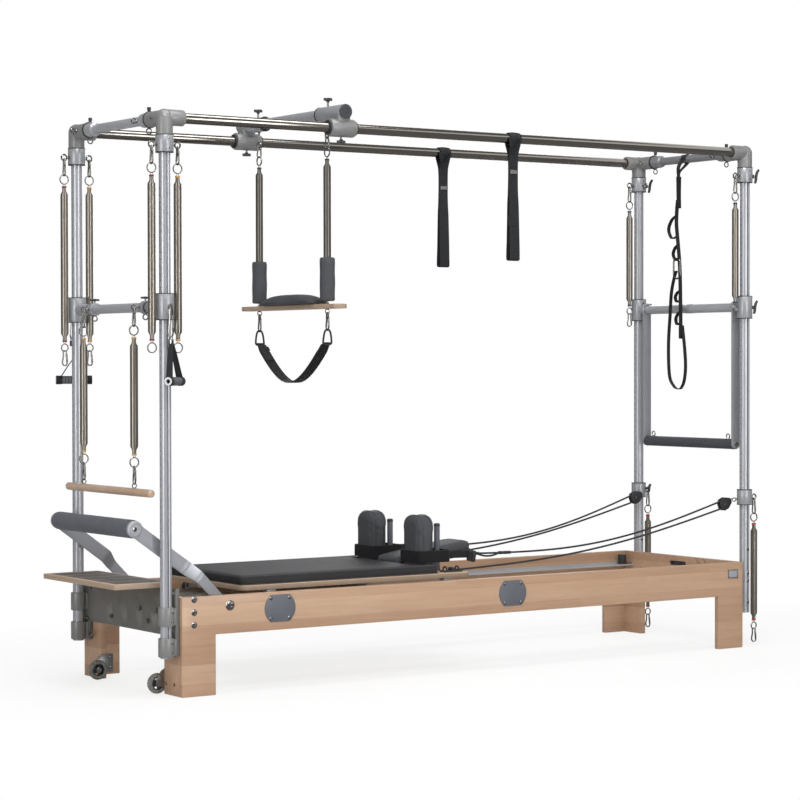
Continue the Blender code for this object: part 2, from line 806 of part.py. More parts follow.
def make_foot_bar(mats):
    """The foot-end cross bar, which slides on its posts and carries the roll-down springs."""
    x, z = FOOT_POST_X, FOOT_BAR_HEIGHT
    shapes = [rod((x, -POST_Y, z), (x, POST_Y, z), FOOT_BAR_RADIUS, ROUND)]
    bores = []
    for s in SIDES.values():
        y = s * POST_Y
        shapes.append(tee(x, y, z))
        shapes.append(rod((x, y, z), (x, s * SOCKET_END, z), SOCKET_RADIUS, FINE))
        hang = s * ROLL_EYE_SPACING / 2
        collar = SOCKET_RADIUS + WIRE
        shapes.append(rod((x, hang - collar / 2, z), (x, hang + collar / 2, z), collar, FINE))
        shapes += eye((x - ROLL_EYE_OFFSET, hang, z), (x, hang, z), (0, 1, 0))
        shapes += eye((x, hang, z - collar - EYE_RADIUS), (x, hang, z), (0, 1, 0))
        shapes.append(rod((x, hang, z + WIRE), (x, hang, z + collar + 2 * PIN_RADIUS), PIN_RADIUS, SMALL))
        grip_eye = TEE_RADIUS + EYE_RADIUS + WIRE
        shapes += eye((x, y + s * grip_eye, z), (x, y, z), (1, 0, 0))
        bores.append(rod((x, y, z - TEE_LENGTH), (x, y, z + TEE_LENGTH), BORE, FINE))
    piece("foot_cross_bar", mats["fitting"], shapes, bores, (x, 0, z))


def make_head_bar(mats):
    """The head-end cross bar, which slides on its posts and carries the push-through bar."""
    x, z = HEAD_POST_X, HEAD_BAR_HEIGHT
    shapes = [rod((x, -POST_Y, z), (x, POST_Y, z), HEAD_BAR_RADIUS, FINE)]
    bores = []
    for s in SIDES.values():
        y = s * POST_Y
        shapes.append(tee(x, y, z))
        bores.append(rod((x, y, z - TEE_LENGTH), (x, y, z + TEE_LENGTH), BORE, FINE))
    piece("head_cross_bar", mats["fitting"], shapes, bores, (x, 0, z))


def make_push_bar(mats):
    """Two flat arms that swing on the head cross bar, with a padded bar between them."""
    x, top, low = HEAD_POST_X, HEAD_BAR_HEIGHT, PUSH_BAR_HEIGHT
    half = PUSH_ARM_SPACING / 2
    shapes = [rod(
        (x, -half - PUSH_ARM_THICKNESS, low), (x, half + PUSH_ARM_THICKNESS, low), PUSH_FOAM_RADIUS,
        FINE, WIRE
    )]
    cuts = []
    for s in SIDES.values():
        inner, outer = s * half - PUSH_ARM_THICKNESS / 2, s * half + PUSH_ARM_THICKNESS / 2
        shapes.append(box(
            x - PUSH_ARM_WIDTH / 2, x + PUSH_ARM_WIDTH / 2, inner, outer, low, top
        ))
        shapes.append(rod((x, inner - WIRE, top), (x, outer + WIRE, top), PUSH_HUB_RADIUS, FINE))
        hook = s * PUSH_EYE_SPACING / 2
        shapes += eye(
            (x, hook, low + PUSH_FOAM_RADIUS + EYE_RADIUS), (x, hook, low), (1, 0, 0)
        )
        cuts.append(turning_bore(
            (x, inner - BOARD, top), (x, outer + BOARD, top), HEAD_BAR_RADIUS, FINE
        ))
    piece("push_through_bar", mats["post"], shapes, cuts, (x, 0, top))


def make_carrier(mats):
    """The trapeze carrier: a slider on each rail and a tube across them."""
    x, z = TRAPEZE_X, RAIL_AXIS_HEIGHT
    shapes = [rod(
        (x, -CARRIER_REACH + BOARD, CARRIER_HEIGHT), (x, CARRIER_REACH - BOARD, CARRIER_HEIGHT),
        CARRIER_RADIUS, FINE
    )]
    bores = []
    for s in SIDES.values():
        y = s * POST_Y
        half = SLIDER_LENGTH / 2
        shapes.append(rod((x - half, y, z), (x + half, y, z), SLIDER_RADIUS, FINE, WIRE))
        shapes.append(box(
            x - CARRIER_CAP_RADIUS, x + CARRIER_CAP_RADIUS, y - CARRIER_RADIUS, y + CARRIER_RADIUS,
            z + RAIL_RADIUS, CARRIER_HEIGHT
        ))
        shapes.append(rod(
            (x, s * (CARRIER_REACH - 3 * BOARD), CARRIER_HEIGHT), (x, s * CARRIER_REACH, CARRIER_HEIGHT),
            CARRIER_CAP_RADIUS, FINE
        ))
        knob_x = x - half + SLIDER_RADIUS / 2
        shapes.append(turned(
            (knob_x, y, z + RAIL_RADIUS + WIRE), (knob_x, y, z + 1),
            [(0, WIRE * 2), (COLLAR_LENGTH * 0.8, WIRE * 2), (COLLAR_LENGTH * 0.8, PIN_RADIUS * 1.6),
             (COLLAR_LENGTH, PIN_RADIUS * 1.6)],
            SMALL,
        ))
        shapes.append(turned(
            (x, y, z - RAIL_RADIUS - WIRE), (x, y, z - 1),
            [(0, WIRE * 2), (BOARD, WIRE * 2), (BOARD, PIN_RADIUS * 1.6), (BOARD * 1.4, PIN_RADIUS * 1.6)],
            SMALL,
        ))
        bores.append(rod((x - half - BOARD, y, z), (x + half + BOARD, y, z), RAIL_RADIUS + GAP, FINE))
        hang = s * TRAPEZE_SPACING / 2
        shapes.append(rod(
            (x, hang - EYE_SHANK, CARRIER_HEIGHT), (x, hang + EYE_SHANK, CARRIER_HEIGHT),
            CARRIER_RADIUS + WIRE, FINE
        ))
        shapes += eye(
            (x, hang, TRAPEZE_RING_HEIGHT + EYE_RADIUS), (x, hang, CARRIER_HEIGHT), (1, 0, 0)
        )
    piece("trapeze_carrier", mats["fitting"], shapes, bores, (x, 0, CARRIER_HEIGHT))


def spring_body(x, y, top, low):
    """A close-wound spring as a turned body with drawn-in ends and caps."""
    length = top - low
    profile = [
        (0, SPRING_NECK),
        (SPRING_CAP, SPRING_RADIUS * SPRING_SHOULDER),
        (SPRING_TAPER, SPRING_RADIUS),
        (length - SPRING_TAPER, SPRING_RADIUS),
        (length - SPRING_CAP, SPRING_RADIUS * SPRING_SHOULDER),
        (length, SPRING_NECK),
    ]
    return turned((x, y, top), (x, y, low), profile, ROUND)


def hung_spring(name, mats, x, y, eye_height, top, low, hook_end):
    """A spring on a snap link from an eye, with a ring or a snap link at its lower end."""
    upper = top + SPRING_NECK + RING_RADIUS
    lower = low - SPRING_NECK - RING_RADIUS
    shapes = [spring_body(x, y, top, low)]
    shapes.append(link(x, y, eye_height - EYE_SEAT, upper + RING_SEAT + WIRE, (1, 0, 0)))
    shapes += neck_ring(x, y, upper, top - SPRING_CAP, (0, 1, 0))
    shapes += neck_ring(x, y, lower, low + SPRING_CAP, (0, 1, 0))
    if hook_end:
        shapes.append(ring(
            (x, y, lower - RING_RADIUS - HOOK_LENGTH / 2 + WIRE / 2), (1, 0, 0), LINK_RADIUS, WIRE,
            HOOK_LENGTH - 2 * LINK_RADIUS,
        ))
    piece(name, mats["spring"], shapes, (), (x, y, eye_height - EYE_AXIS))


def make_springs(mats):
    """Springs on the collars of the foot and head posts, and on the pulley risers."""
    for side, s in SIDES.items():
        y = s * POST_Y
        for place, step in (("outer", -1), ("inner", 1)):
            hung_spring(
                f"foot_spring_{place}_{side}", mats, FOOT_POST_X + step * EYE_OFFSET, y, EYE_HEIGHT,
                FOOT_SPRING_TOP, FOOT_SPRING_BOTTOM, side == "far",
            )
        hung_spring(
            f"head_spring_high_{side}", mats, HEAD_POST_X - EYE_OFFSET, y, EYE_HEIGHT,
            HEAD_SPRING_TOP, HEAD_SPRING_BOTTOM, side == "far",
        )
        hung_spring(
            f"head_spring_low_{side}", mats, HEAD_POST_X + EYE_OFFSET, y, RISER_HEIGHT,
            LOW_SPRING_TOP, LOW_SPRING_BOTTOM, True,
        )


def make_roll_down(mats):
    """The wooden roll-down bar on its two springs, which swing on the wire of their top links."""
    x, z = FOOT_POST_X - ROLL_EYE_OFFSET, ROLL_BAR_HEIGHT
    upper = ROLL_SPRING_TOP + SPRING_NECK + RING_RADIUS
    lower = ROLL_SPRING_BOTTOM - SPRING_NECK - RING_RADIUS
    eye_z = z + ROLL_BAR_RADIUS + EYE_RADIUS
    swing = FOOT_BAR_HEIGHT - EYE_SEAT + GAP + RING_FLAT * WIRE
    eyes = []
    for side, s in SIDES.items():
        y = s * ROLL_EYE_SPACING / 2
        shapes = [
            spring_body(x, y, ROLL_SPRING_TOP, ROLL_SPRING_BOTTOM),
            link(x, y, FOOT_BAR_HEIGHT - EYE_SEAT, upper + RING_SEAT + WIRE, (1, 0, 0)),
            link(x, y, lower - RING_SEAT - WIRE, eye_z + EYE_SEAT, (1, 0, 0)),
        ]
        shapes += neck_ring(x, y, upper, ROLL_SPRING_TOP - SPRING_CAP, (0, 1, 0))
        shapes += neck_ring(x, y, lower, ROLL_SPRING_BOTTOM + SPRING_CAP, (0, 1, 0))
        piece(f"roll_down_spring_{side}", mats["spring"], shapes, (), (x, y, swing))
        eyes += eye((x, y, eye_z), (x, y, z), (0, 1, 0))
    half = ROLL_BAR_LENGTH / 2
    bar = rod((x, -half, z), (x, half, z), ROLL_BAR_RADIUS, ROUND, WIRE)
    piece("roll_down_bar", mats["wood"], [bar] + eyes, (), (x, 0, swing))


def make_trapeze(mats):
    """Two springs with padded sleeves, a plywood bar, an arched seat pad and a sling."""
    x = TRAPEZE_X
    low = TRAPEZE_BAR_HEIGHT + TRAPEZE_BAR_THICKNESS / 2 + GAP
    bar_low = TRAPEZE_BAR_HEIGHT - TRAPEZE_BAR_THICKNESS / 2
    half = TRAPEZE_BAR_LENGTH / 2
    hook = TRAPEZE_RING_HEIGHT + EYE_RADIUS
    origin = (x, 0, hook - EYE_AXIS)
    shapes = [box(
        x - TRAPEZE_BAR_DEPTH / 2, x + TRAPEZE_BAR_DEPTH / 2, -half, half,
        bar_low, bar_low + TRAPEZE_BAR_THICKNESS, TRAPEZE_BAR_THICKNESS / 4
    )]
    for side, s in SIDES.items():
        y = s * TRAPEZE_SPACING / 2
        upper = TRAPEZE_SPRING_TOP + SPRING_NECK + RING_RADIUS
        profile = [
            (0, SPRING_NECK),
            (SPRING_CAP, SPRING_RADIUS * SPRING_SHOULDER),
            (SPRING_TAPER, SPRING_RADIUS),
            (TRAPEZE_SPRING_TOP - SLEEVE_TOP, SPRING_RADIUS),
            (TRAPEZE_SPRING_TOP - SLEEVE_TOP, SLEEVE_RADIUS),
            (TRAPEZE_SPRING_TOP - SLEEVE_BOTTOM, SLEEVE_RADIUS),
            (TRAPEZE_SPRING_TOP - SLEEVE_BOTTOM, WIRE * 2),
            (TRAPEZE_SPRING_TOP - low, WIRE * 2),
        ]
        parts = [
            turned((x, y, TRAPEZE_SPRING_TOP), (x, y, 0), profile, ROUND),
            link(x, y, hook - EYE_SEAT, upper + RING_SEAT + WIRE, (0, 1, 0)),
        ]
        parts += neck_ring(x, y, upper, TRAPEZE_SPRING_TOP - SPRING_CAP, (1, 0, 0))
        piece(f"trapeze_spring_{side}", mats["spring"], parts, (), (x, y, hook - EYE_AXIS))
        shapes += eye((x, y, bar_low - EYE_RADIUS), (x, y, bar_low + WIRE), (0, 1, 0))
    piece("trapeze_bar", mats["ply"], shapes, (), origin)
    make_seat(mats, x, low, origin)
    make_sling(mats, x, bar_low, origin)


def make_seat(mats, x, low, origin):
    """The arched pad on the trapeze bar, crowned across its depth."""
    bm = bmesh.new()
    rows, columns = 14, 8
    grid = []
    for i in range(rows + 1):
        t = 2 * i / rows - 1
        arch = SEAT_RISE * (1 - SEAT_END_DROP * abs(t) ** 3)
        row = []
        for k in range(columns):
            angle = math.pi * k / (columns - 1)
            across_x = -math.cos(angle) * SEAT_DEPTH / 2 * (1 - SEAT_END_TAPER * t ** 4)
            up = math.sin(angle) ** 0.6 * arch if 0 < k < columns - 1 else 0
            row.append(bm.verts.new((x + across_x, t * SEAT_LENGTH / 2, low + up)))
        grid.append(row)
    for a, b in zip(grid, grid[1:]):
        for k in range(columns):
            j = (k + 1) % columns
            bm.faces.new((a[k], a[j], b[j], b[k]))
    bm.faces.new(grid[0])
    bm.faces.new(grid[-1])
    piece("trapeze_seat_pad", mats["vinyl"], [scrap(bm)], (), origin)


def make_sling(mats, x, bar_low, origin):
    """The webbing sling below the trapeze bar, with its rings and links."""
    half = TRAPEZE_SPACING / 2
    depth = SLING_TOP - SLING_BOTTOM
    path = []
    for i in range(25):
        t = 2 * i / 24 - 1
        path.append((x, t * half, SLING_BOTTOM + depth * abs(t) ** 1.7))
    shapes = [ribbon(path, (1, 0, 0), SLING_WIDTH, SLING_THICKNESS)]
    for s in SIDES.values():
        y = s * half
        ring_z = SLING_TOP + RING_RADIUS - WIRE
        shapes.append(link(x, y, bar_low - EYE_RADIUS - EYE_SEAT, ring_z + RING_SEAT + WIRE, (1, 0, 0)))
        shapes.append(ring((x, y, ring_z), (0, 1, 0), RING_RADIUS))
    piece("trapeze_sling", mats["webbing"], shapes, (), origin)


def make_risers(mats):
    """The pulley collars on the head posts, each with an eye outside and a pulley block inside."""
    for side, s in SIDES.items():
        x, y, z = HEAD_POST_X, s * POST_Y, RISER_HEIGHT
        pulley = (x - PULLEY_IN, y - s * PULLEY_ACROSS, PULLEY_HEIGHT)
        half = Vector((0, PULLEY_THICKNESS / 2, 0))
        shapes = [
            rod((x, y, z - RISER_LENGTH / 2), (x, y, z + RISER_LENGTH / 2), COLLAR_RADIUS - WIRE, FINE,
                WIRE),
            rod((x, y, z), pulley, WIRE * 2, SMALL),
            rod(Vector(pulley) - half, Vector(pulley) + half, PULLEY_RADIUS, FINE, WIRE),
        ]
        shapes += eye((x + EYE_OFFSET, y, z), (x, y, z), (0, 1, 0))
        bore = rod((x, y, z - RISER_LENGTH), (x, y, z + RISER_LENGTH), BORE, FINE)
        piece(f"pulley_riser_{side}", mats["fitting"], shapes, [bore])


def cushion(x0, x1, width, low, thickness, corner, crown):
    """A cushion with a crowned top, rounded corners and drawn-in sides."""
    bm = bmesh.new()
    half_x, half_y = (x1 - x0) / 2, width / 2
    middle = (x0 + x1) / 2
    outline = []
    for cx, cy, start in ((1, 1, 0), (-1, 1, 90), (-1, -1, 180), (1, -1, 270)):
        for i in range(5):
            angle = math.radians(start + 22.5 * i)
            outline.append((
                cx * (half_x - corner) + corner * math.cos(angle),
                cy * (half_y - corner) + corner * math.sin(angle),
            ))
    levels = []
    for i in range(6):
        angle = math.radians(30 * i - 60)
        levels.append((CUSHION_ROLL * (1 - math.cos(angle)), (math.sin(angle) + DRAWN_IN) / (1 + DRAWN_IN)))
    levels += [(half_y * share, 1) for share in (0.3, 0.65)]
    rings = []
    for inset, rise in levels:
        row = []
        for px, py in outline:
            qx = px * (half_x - inset) / half_x
            qy = py * (half_y - inset) / half_y
            lift = crown * (1 - (qx / half_x) ** 2) * (1 - (qy / half_y) ** 2) if rise == 1 else 0
            row.append(bm.verts.new((middle + qx, qy, low + (thickness - crown) * rise + lift)))
        rings.append(row)
    count = len(outline)
    for a, b in zip(rings, rings[1:]):
        for i in range(count):
            bm.faces.new((a[i], a[(i + 1) % count], b[(i + 1) % count], b[i]))
    bm.faces.new(rings[0])
    bm.faces.new(rings[-1])
    return scrap(bm)


def make_carriage(mats):
    """The carriage board with its rollers, its pad, headrest and shoulder rests."""
    start, top = CARRIAGE_START, CARRIAGE_TOP
    end = CARRIAGE_END
    half = CARRIAGE_WIDTH / 2
    shapes = [box(start, end, -half, half, CARRIAGE_BOTTOM, top, CORNER_ROUND, True, 3)]
    roll_z = TRACK_LEDGE_HEIGHT + TRACK_WALL + GAP + WHEEL_RADIUS
    for s in SIDES.values():
        for x in (start + FIRST_WHEEL, end - FIRST_WHEEL):
            out = INNER - ROLLER_INSET - 4 * GAP
            y0 = s * (out - WHEEL_WIDTH / 2)
            y1 = s * (out - WHEEL_WIDTH * 1.4)
            shapes.append(rod(
                (x, s * out, roll_z), (x, s * (out - WHEEL_WIDTH), roll_z), WHEEL_RADIUS, FINE
            ))
            shapes.append(rod((x, y0, roll_z), (x, y1, roll_z), WHEEL_RADIUS / 4, SMALL))
            shapes.append(box(
                x - WHEEL_RADIUS, x + WHEEL_RADIUS,
                min(y1, s * (half - BOARD)), max(y1, s * (half - BOARD)),
                roll_z - WHEEL_RADIUS / 2, CARRIAGE_BOTTOM + WIRE,
            ))
        cleat = s * CLEAT_SPACING / 2
        shapes.append(box(
            CLEAT_X - BOARD, CLEAT_X + BOARD, cleat - BOARD / 3, cleat + BOARD / 3,
            top - WIRE, top + BOARD / 2,
        ))
    anchor = SPRING_BAR_X + DRIVE_SPRING_LENGTH + BOARD
    reach = DRIVE_SPRING_SPACING * DRIVE_SPRING_COUNT / 2
    shapes.append(box(
        anchor + GAP, anchor + BOARD / 2, -reach, reach, SPRING_BAR_HEIGHT - BOARD / 2,
        CARRIAGE_BOTTOM + WIRE
    ))
    piece("carriage_board", mats["ply"], shapes)

    low = top + GAP
    pad = cushion(start + WIRE, PAD_END, PAD_WIDTH, low, PAD_THICKNESS, CORNER_ROUND, PAD_CROWN)
    piece("carriage_pad", mats["vinyl"], [pad])

    hinge = (HEADREST_START, 0, top + GAP + HINGE_RADIUS)
    rest = cushion(
        hinge[0] - CUSHION_ROLL, hinge[0] + HEADREST_LENGTH, HEADREST_WIDTH, hinge[2],
        HEADREST_THICKNESS, CORNER_ROUND, PAD_CROWN,
    )
    turn = Matrix.Translation(hinge) @ Matrix.Rotation(-HEADREST_TILT, 4, "Y")
    rest.data.transform(turn @ Matrix.Translation([-c for c in hinge]))
    reach = HEADREST_WIDTH / 2 - CORNER_ROUND
    barrel = rod((hinge[0], -reach, hinge[2]), (hinge[0], reach, hinge[2]), HINGE_RADIUS, ROUND)
    piece("headrest", mats["vinyl"], [rest, barrel], (), hinge)

    for side, s in SIDES.items():
        make_rest(mats, side, REST_X, s * REST_SPACING / 2, low)
        make_band(mats, side, s)


def make_rest(mats, side, x, y, low):
    """A shoulder rest: a padded block with a rounded top, on its post."""
    half = REST_WIDTH / 2
    outline = [(y - half, low), (y + half, low)]
    shoulder = low + REST_HEIGHT - half
    for i in range(9):
        angle = math.radians(22.5 * i)
        outline.append((
            y + half * math.copysign(abs(math.cos(angle)) ** 0.75, math.cos(angle)),
            shoulder + half * math.sin(angle) ** 0.75,
        ))
    block = prism(outline, "X", x - REST_DEPTH / 2, x + REST_DEPTH / 2, EDGE_ROUND * 2)
    post_x = REST_POST_X
    shapes = [
        block,
        rod((post_x, y, low), (post_x, y, low + REST_POST_HEIGHT), REST_POST_RADIUS, ROUND),
        box(x, post_x, y - REST_POST_RADIUS, y + REST_POST_RADIUS, low + WIRE, low + BOARD),
    ]
    piece(f"shoulder_rest_{side}", mats["vinyl"], shapes)


def make_band(mats, side, s):
    """The padded strap loop round a shoulder rest, with the tail that its rope clips to."""
    y = s * REST_SPACING / 2
    off = BAND_THICKNESS / 2 + GAP
    x0 = REST_X - REST_DEPTH / 2 - off
    x1 = REST_POST_X + REST_POST_RADIUS + off
    half = REST_WIDTH / 2 + off
    z = CARRIAGE_TOP + BAND_LIFT + BAND_HEIGHT / 2
    corner = BAND_THICKNESS
    path = []
    for cx, cy, angle0 in (
        (x1 - corner, half - corner, 0), (x0 + corner, half - corner, 90),
        (x0 + corner, corner - half, 180), (x1 - corner, corner - half, 270),
    ):
        for i in range(4):
            angle = math.radians(angle0 + 30 * i)
            path.append((cx + corner * math.cos(angle), y + cy + corner * math.sin(angle), z))
    shapes = [
        ribbon(path, (0, 0, 1), BAND_HEIGHT, BAND_THICKNESS, True),
        box(x1 - WIRE, BAND_TAIL_X, y - SPRING_NECK, y + SPRING_NECK, z - BAND_HEIGHT / 4,
            z + BAND_HEIGHT / 4),
    ]
    piece(f"strap_loop_{side}", mats["webbing"], shapes)


def make_footbar(mats):
    """Two bent flat arms, the tube between them and its foam roller."""
    pivot = Vector((FOOTBAR_PIVOT_X, 0, FOOTBAR_PIVOT_HEIGHT))
    bar = Vector((FOOTBAR_PIVOT_X - FOOTBAR_REACH, 0, FOOTBAR_PIVOT_HEIGHT + FOOTBAR_RISE))
    foam = FOAM_LENGTH / 2
    thick = FOOTBAR_ARM_THICKNESS
    upper = foam + GAP + thick / 2
    middle = POST_Y - POST_RADIUS - 2 * thick
    lower = INNER - 2 * thick
    # Share of the way from the bar to the pivot, and distance from the middle
    stations = (
        (0, upper), (ARM_FIRST_BEND, upper), (ARM_FIRST_BEND + ARM_BEND, middle),
        ((ARM_FIRST_BEND + ARM_SECOND_BEND) / 2, middle), (ARM_SECOND_BEND, middle),
        (ARM_SECOND_BEND + ARM_BEND, lower), ((1 + ARM_SECOND_BEND + ARM_BEND) / 2, lower), (1, lower),
    )
    shapes = [rod((bar.x, -upper, bar.z), (bar.x, upper, bar.z), FOOTBAR_TUBE_RADIUS, ROUND)]
    for s in SIDES.values():
        path = []
        for share, y in stations:
            p = bar.lerp(pivot, share)
            rise = ARM_BOW * math.sin(math.pi * share ** 1.4) ** 1.5
            path.append(Vector((p.x, s * y, p.z + rise)))
        half = FOOTBAR_ARM_WIDTH / 2

        def corners(i, path=path, half=half):
            t = tangent(path, i, False)
            flat = Vector((t.x, 0, t.z)).normalized()
            normal = Vector((-flat.z, 0, flat.x))
            return [
                normal * (a * half) + Vector((0, b * thick / 2, 0))
                for a, b in ((-1, -1), (1, -1), (1, 1), (-1, 1))
            ]

        shapes.append(sweep(path, corners, 4, False))
        shapes.append(rod(
            (bar.x, s * (upper - thick / 2 + GAP / 2), bar.z),
            (bar.x, s * (upper + thick / 2 + WIRE), bar.z),
            FOAM_RADIUS - WIRE, FINE, WIRE / 2
        ))
        shapes.append(rod(
            (pivot.x, s * (lower - thick / 2 - WIRE), pivot.z), (pivot.x, s * (INNER - GAP), pivot.z),
            half, FINE
        ))
    piece("footbar_frame", mats["post"], shapes, (), pivot)
    roller = rod((bar.x, -foam, bar.z), (bar.x, foam, bar.z), FOAM_RADIUS, FINE, WIRE * 2)
    bore = rod(
        (bar.x, -foam - BOARD, bar.z), (bar.x, foam + BOARD, bar.z), FOOTBAR_TUBE_RADIUS + GAP, ROUND
    )
    piece("footbar_roller", mats["foam"], [roller], [bore], pivot)


def make_drive(mats):
    """The spring bar at the foot end and the springs that draw the carriage to it."""
    x, z = SPRING_BAR_X, SPRING_BAR_HEIGHT
    reach = INNER - GAP
    bar = box(x - BOARD / 2, x + BOARD / 2 - GAP, -reach, reach, z - BOARD / 2, z + BOARD / 2, WIRE)
    piece("spring_bar", mats["steel"], [bar])
    first = x + BOARD / 2
    last = x + BOARD + DRIVE_SPRING_LENGTH
    shapes = [box(
        last - BOARD / 2, last - GAP,
        -DRIVE_SPRING_SPACING * DRIVE_SPRING_COUNT / 2, DRIVE_SPRING_SPACING * DRIVE_SPRING_COUNT / 2,
        z - BOARD / 3, z + BOARD / 3,
    )]
    length = last - BOARD / 4 - first
    for k in range(DRIVE_SPRING_COUNT):
        y = (k - (DRIVE_SPRING_COUNT - 1) / 2) * DRIVE_SPRING_SPACING
        profile = [
            (0, SPRING_NECK),
            (SPRING_TAPER, SPRING_NECK),
            (2 * SPRING_TAPER, DRIVE_SPRING_RADIUS),
            (length - 2 * SPRING_TAPER, DRIVE_SPRING_RADIUS),
            (length - SPRING_TAPER, SPRING_NECK),
            (length, SPRING_NECK),
        ]
        shapes.append(turned((first, y, z), (last, y, z), profile, SMALL))
    piece("carriage_springs", mats["spring"], shapes)


def make_transport(mats):
    """The small wheels at the foot end that the machine is tipped onto, on flat brackets."""
    face = INNER - GAP - LEG_RETURN
    x, z = TRANSPORT_X, TRANSPORT_RADIUS + GAP
    for side, s in SIDES.items():
        plate = face - GAP - BRACKET_THICKNESS
        reach = plate - GAP - TRANSPORT_WIDTH
        plate_y = sorted((s * plate, s * (face - GAP)))
        shapes = [
            box(x - TRANSPORT_RADIUS / 3, 2 * BOARD, *plate_y, z - TRANSPORT_RADIUS / 3,
                z + TRANSPORT_RADIUS * 1.5),
            rod((x, s * (plate + BRACKET_THICKNESS / 2), z), (x, s * (reach - WIRE), z), WIRE * 2, SMALL),
        ]
        piece(f"wheel_bracket_{side}", mats["fitting"], shapes)
        tyre = rod((x, s * (plate - GAP), z), (x, s * reach, z), TRANSPORT_RADIUS, FINE, SPRING_NECK)
        bore = turning_bore((x, s * face, z), (x, s * (reach - BOARD), z), WIRE * 2, SMALL)
        piece(f"transport_wheel_{side}", mats["wheel"], [tyre], [bore], (x, 0, z))


def make_straps(mats):
    """The double-loop straps on the rails, the long strap and the two hand grips."""
    hold = RAIL_RADIUS + STRAP_THICKNESS / 2 + 2 * GAP
    for side, s in SIDES.items():
        x = NEAR_STRAP_X if side == "near" else FAR_STRAP_X
        y, z = s * POST_Y, RAIL_AXIS_HEIGHT
        path = []
        for i in range(13):
            angle = math.radians(-20 + 220 * i / 12)
            path.append((x, y + hold * math.cos(angle), z + hold * math.sin(angle)))
        loop = RAIL_STRAP_SPREAD
        neck = RAIL_AXIS_HEIGHT - 2.4 * hold
        left = [(neck, loop * 0.8), (neck - 0.15, loop), (RAIL_STRAP_BOTTOM + 0.05, loop * 1.5)]
        path += [(x, y - d, h) for h, d in left]
        for i in range(5):
            angle = math.radians(180 + 45 * i)
            path.append((
                x, y + loop * 1.5 * math.cos(angle), RAIL_STRAP_BOTTOM + loop * 1.5 * (1 + math.sin(angle))
            ))
        path += [(x, y + d, h) for h, d in reversed(left)]
        piece(
            f"rail_strap_{side}", mats["webbing"],
            [ribbon(path, (1, 0, 0), RAIL_STRAP_WIDTH, STRAP_THICKNESS, True)],
        )
    make_long_strap(mats)
    for side, s in SIDES.items():
        make_grip(mats, side, s)


def make_long_strap(mats):
    """The long strap round the head header's tube: a wrap, a tail and a long open loop."""
    x, y, z = HEAD_POST_X, LOOP_STRAP_Y, RAIL_AXIS_HEIGHT
    hold = CROSS_TUBE_RADIUS + STRAP_THICKNESS / 2 + 2 * GAP
    hang = x - HEAD_BAR_RADIUS - 5 * STRAP_THICKNESS
    wrap = []
    for i in range(13):
        angle = math.radians(-50 + 230 * i / 12)
        wrap.append((x + hold * math.cos(angle), y, z + hold * math.sin(angle)))
    wrap.append((hang - STRAP_THICKNESS, y, z - 2 * hold))
    wrap.append((hang - STRAP_THICKNESS, y, z - 5 * hold))
    wrap.append((hang + STRAP_THICKNESS, y, z - 5 * hold))
    wrap.append((hang + STRAP_THICKNESS, y, z - 2.6 * hold))
    wrap.append((x - hold * 0.2, y, z - 1.5 * hold))
    shapes = [ribbon(wrap, (0, 1, 0), LOOP_STRAP_WIDTH, STRAP_THICKNESS, True)]
    tail_top = z - 4.5 * hold
    shapes.append(box(
        hang - STRAP_THICKNESS, hang + STRAP_THICKNESS, y - LOOP_STRAP_WIDTH / 2, y + LOOP_STRAP_WIDTH / 2,
        LOOP_STRAP_JOIN, tail_top,
    ))
    loop = []
    steps = 24
    for i in range(steps):
        angle = math.tau * i / steps
        loop.append((
            hang,
            y + LOOP_STRAP_SPREAD * math.sin(angle),
            (LOOP_STRAP_JOIN + LOOP_STRAP_BOTTOM) / 2
            + (LOOP_STRAP_JOIN - LOOP_STRAP_BOTTOM) / 2 * math.copysign(
                abs(math.cos(angle)) ** 0.5, math.cos(angle)),
        ))
    shapes.append(ribbon(loop, (1, 0, 0), LOOP_STRAP_WIDTH / 2, STRAP_THICKNESS, True))
    piece("long_strap", mats["webbing"], shapes)


def make_grip(mats, side, s):
    """A hand grip: a tube on a triangle of webbing that hangs from the cross bar's collar."""
    out = POST_Y + TEE_RADIUS + EYE_RADIUS + WIRE
    centre = Vector((FOOT_POST_X, s * (POST_Y + GRIP_OUT), GRIP_HEIGHT))
    along = Vector((math.cos(GRIP_TURN), -s * math.sin(GRIP_TURN), 0))
    half = GRIP_LENGTH / 2
    wide = Vector((-along.y, along.x, 0))
    apex = Vector((FOOT_POST_X, s * out, GRIP_APEX))
    shapes = [rod(centre - along * half, centre + along * half, GRIP_RADIUS, ROUND, WIRE)]
    reach = half - GRIP_RADIUS
    path = [centre - along * reach, apex, centre + along * reach]
    shapes.append(ribbon(path, wide, GRIP_RADIUS, STRAP_THICKNESS))
    shapes.append(link(apex.x, apex.y, FOOT_BAR_HEIGHT - EYE_SEAT, GRIP_APEX, (0, 1, 0)))
    piece(f"hand_grip_{side}", mats["webbing"], shapes, (), (apex.x, apex.y, FOOT_BAR_HEIGHT - EYE_AXIS))


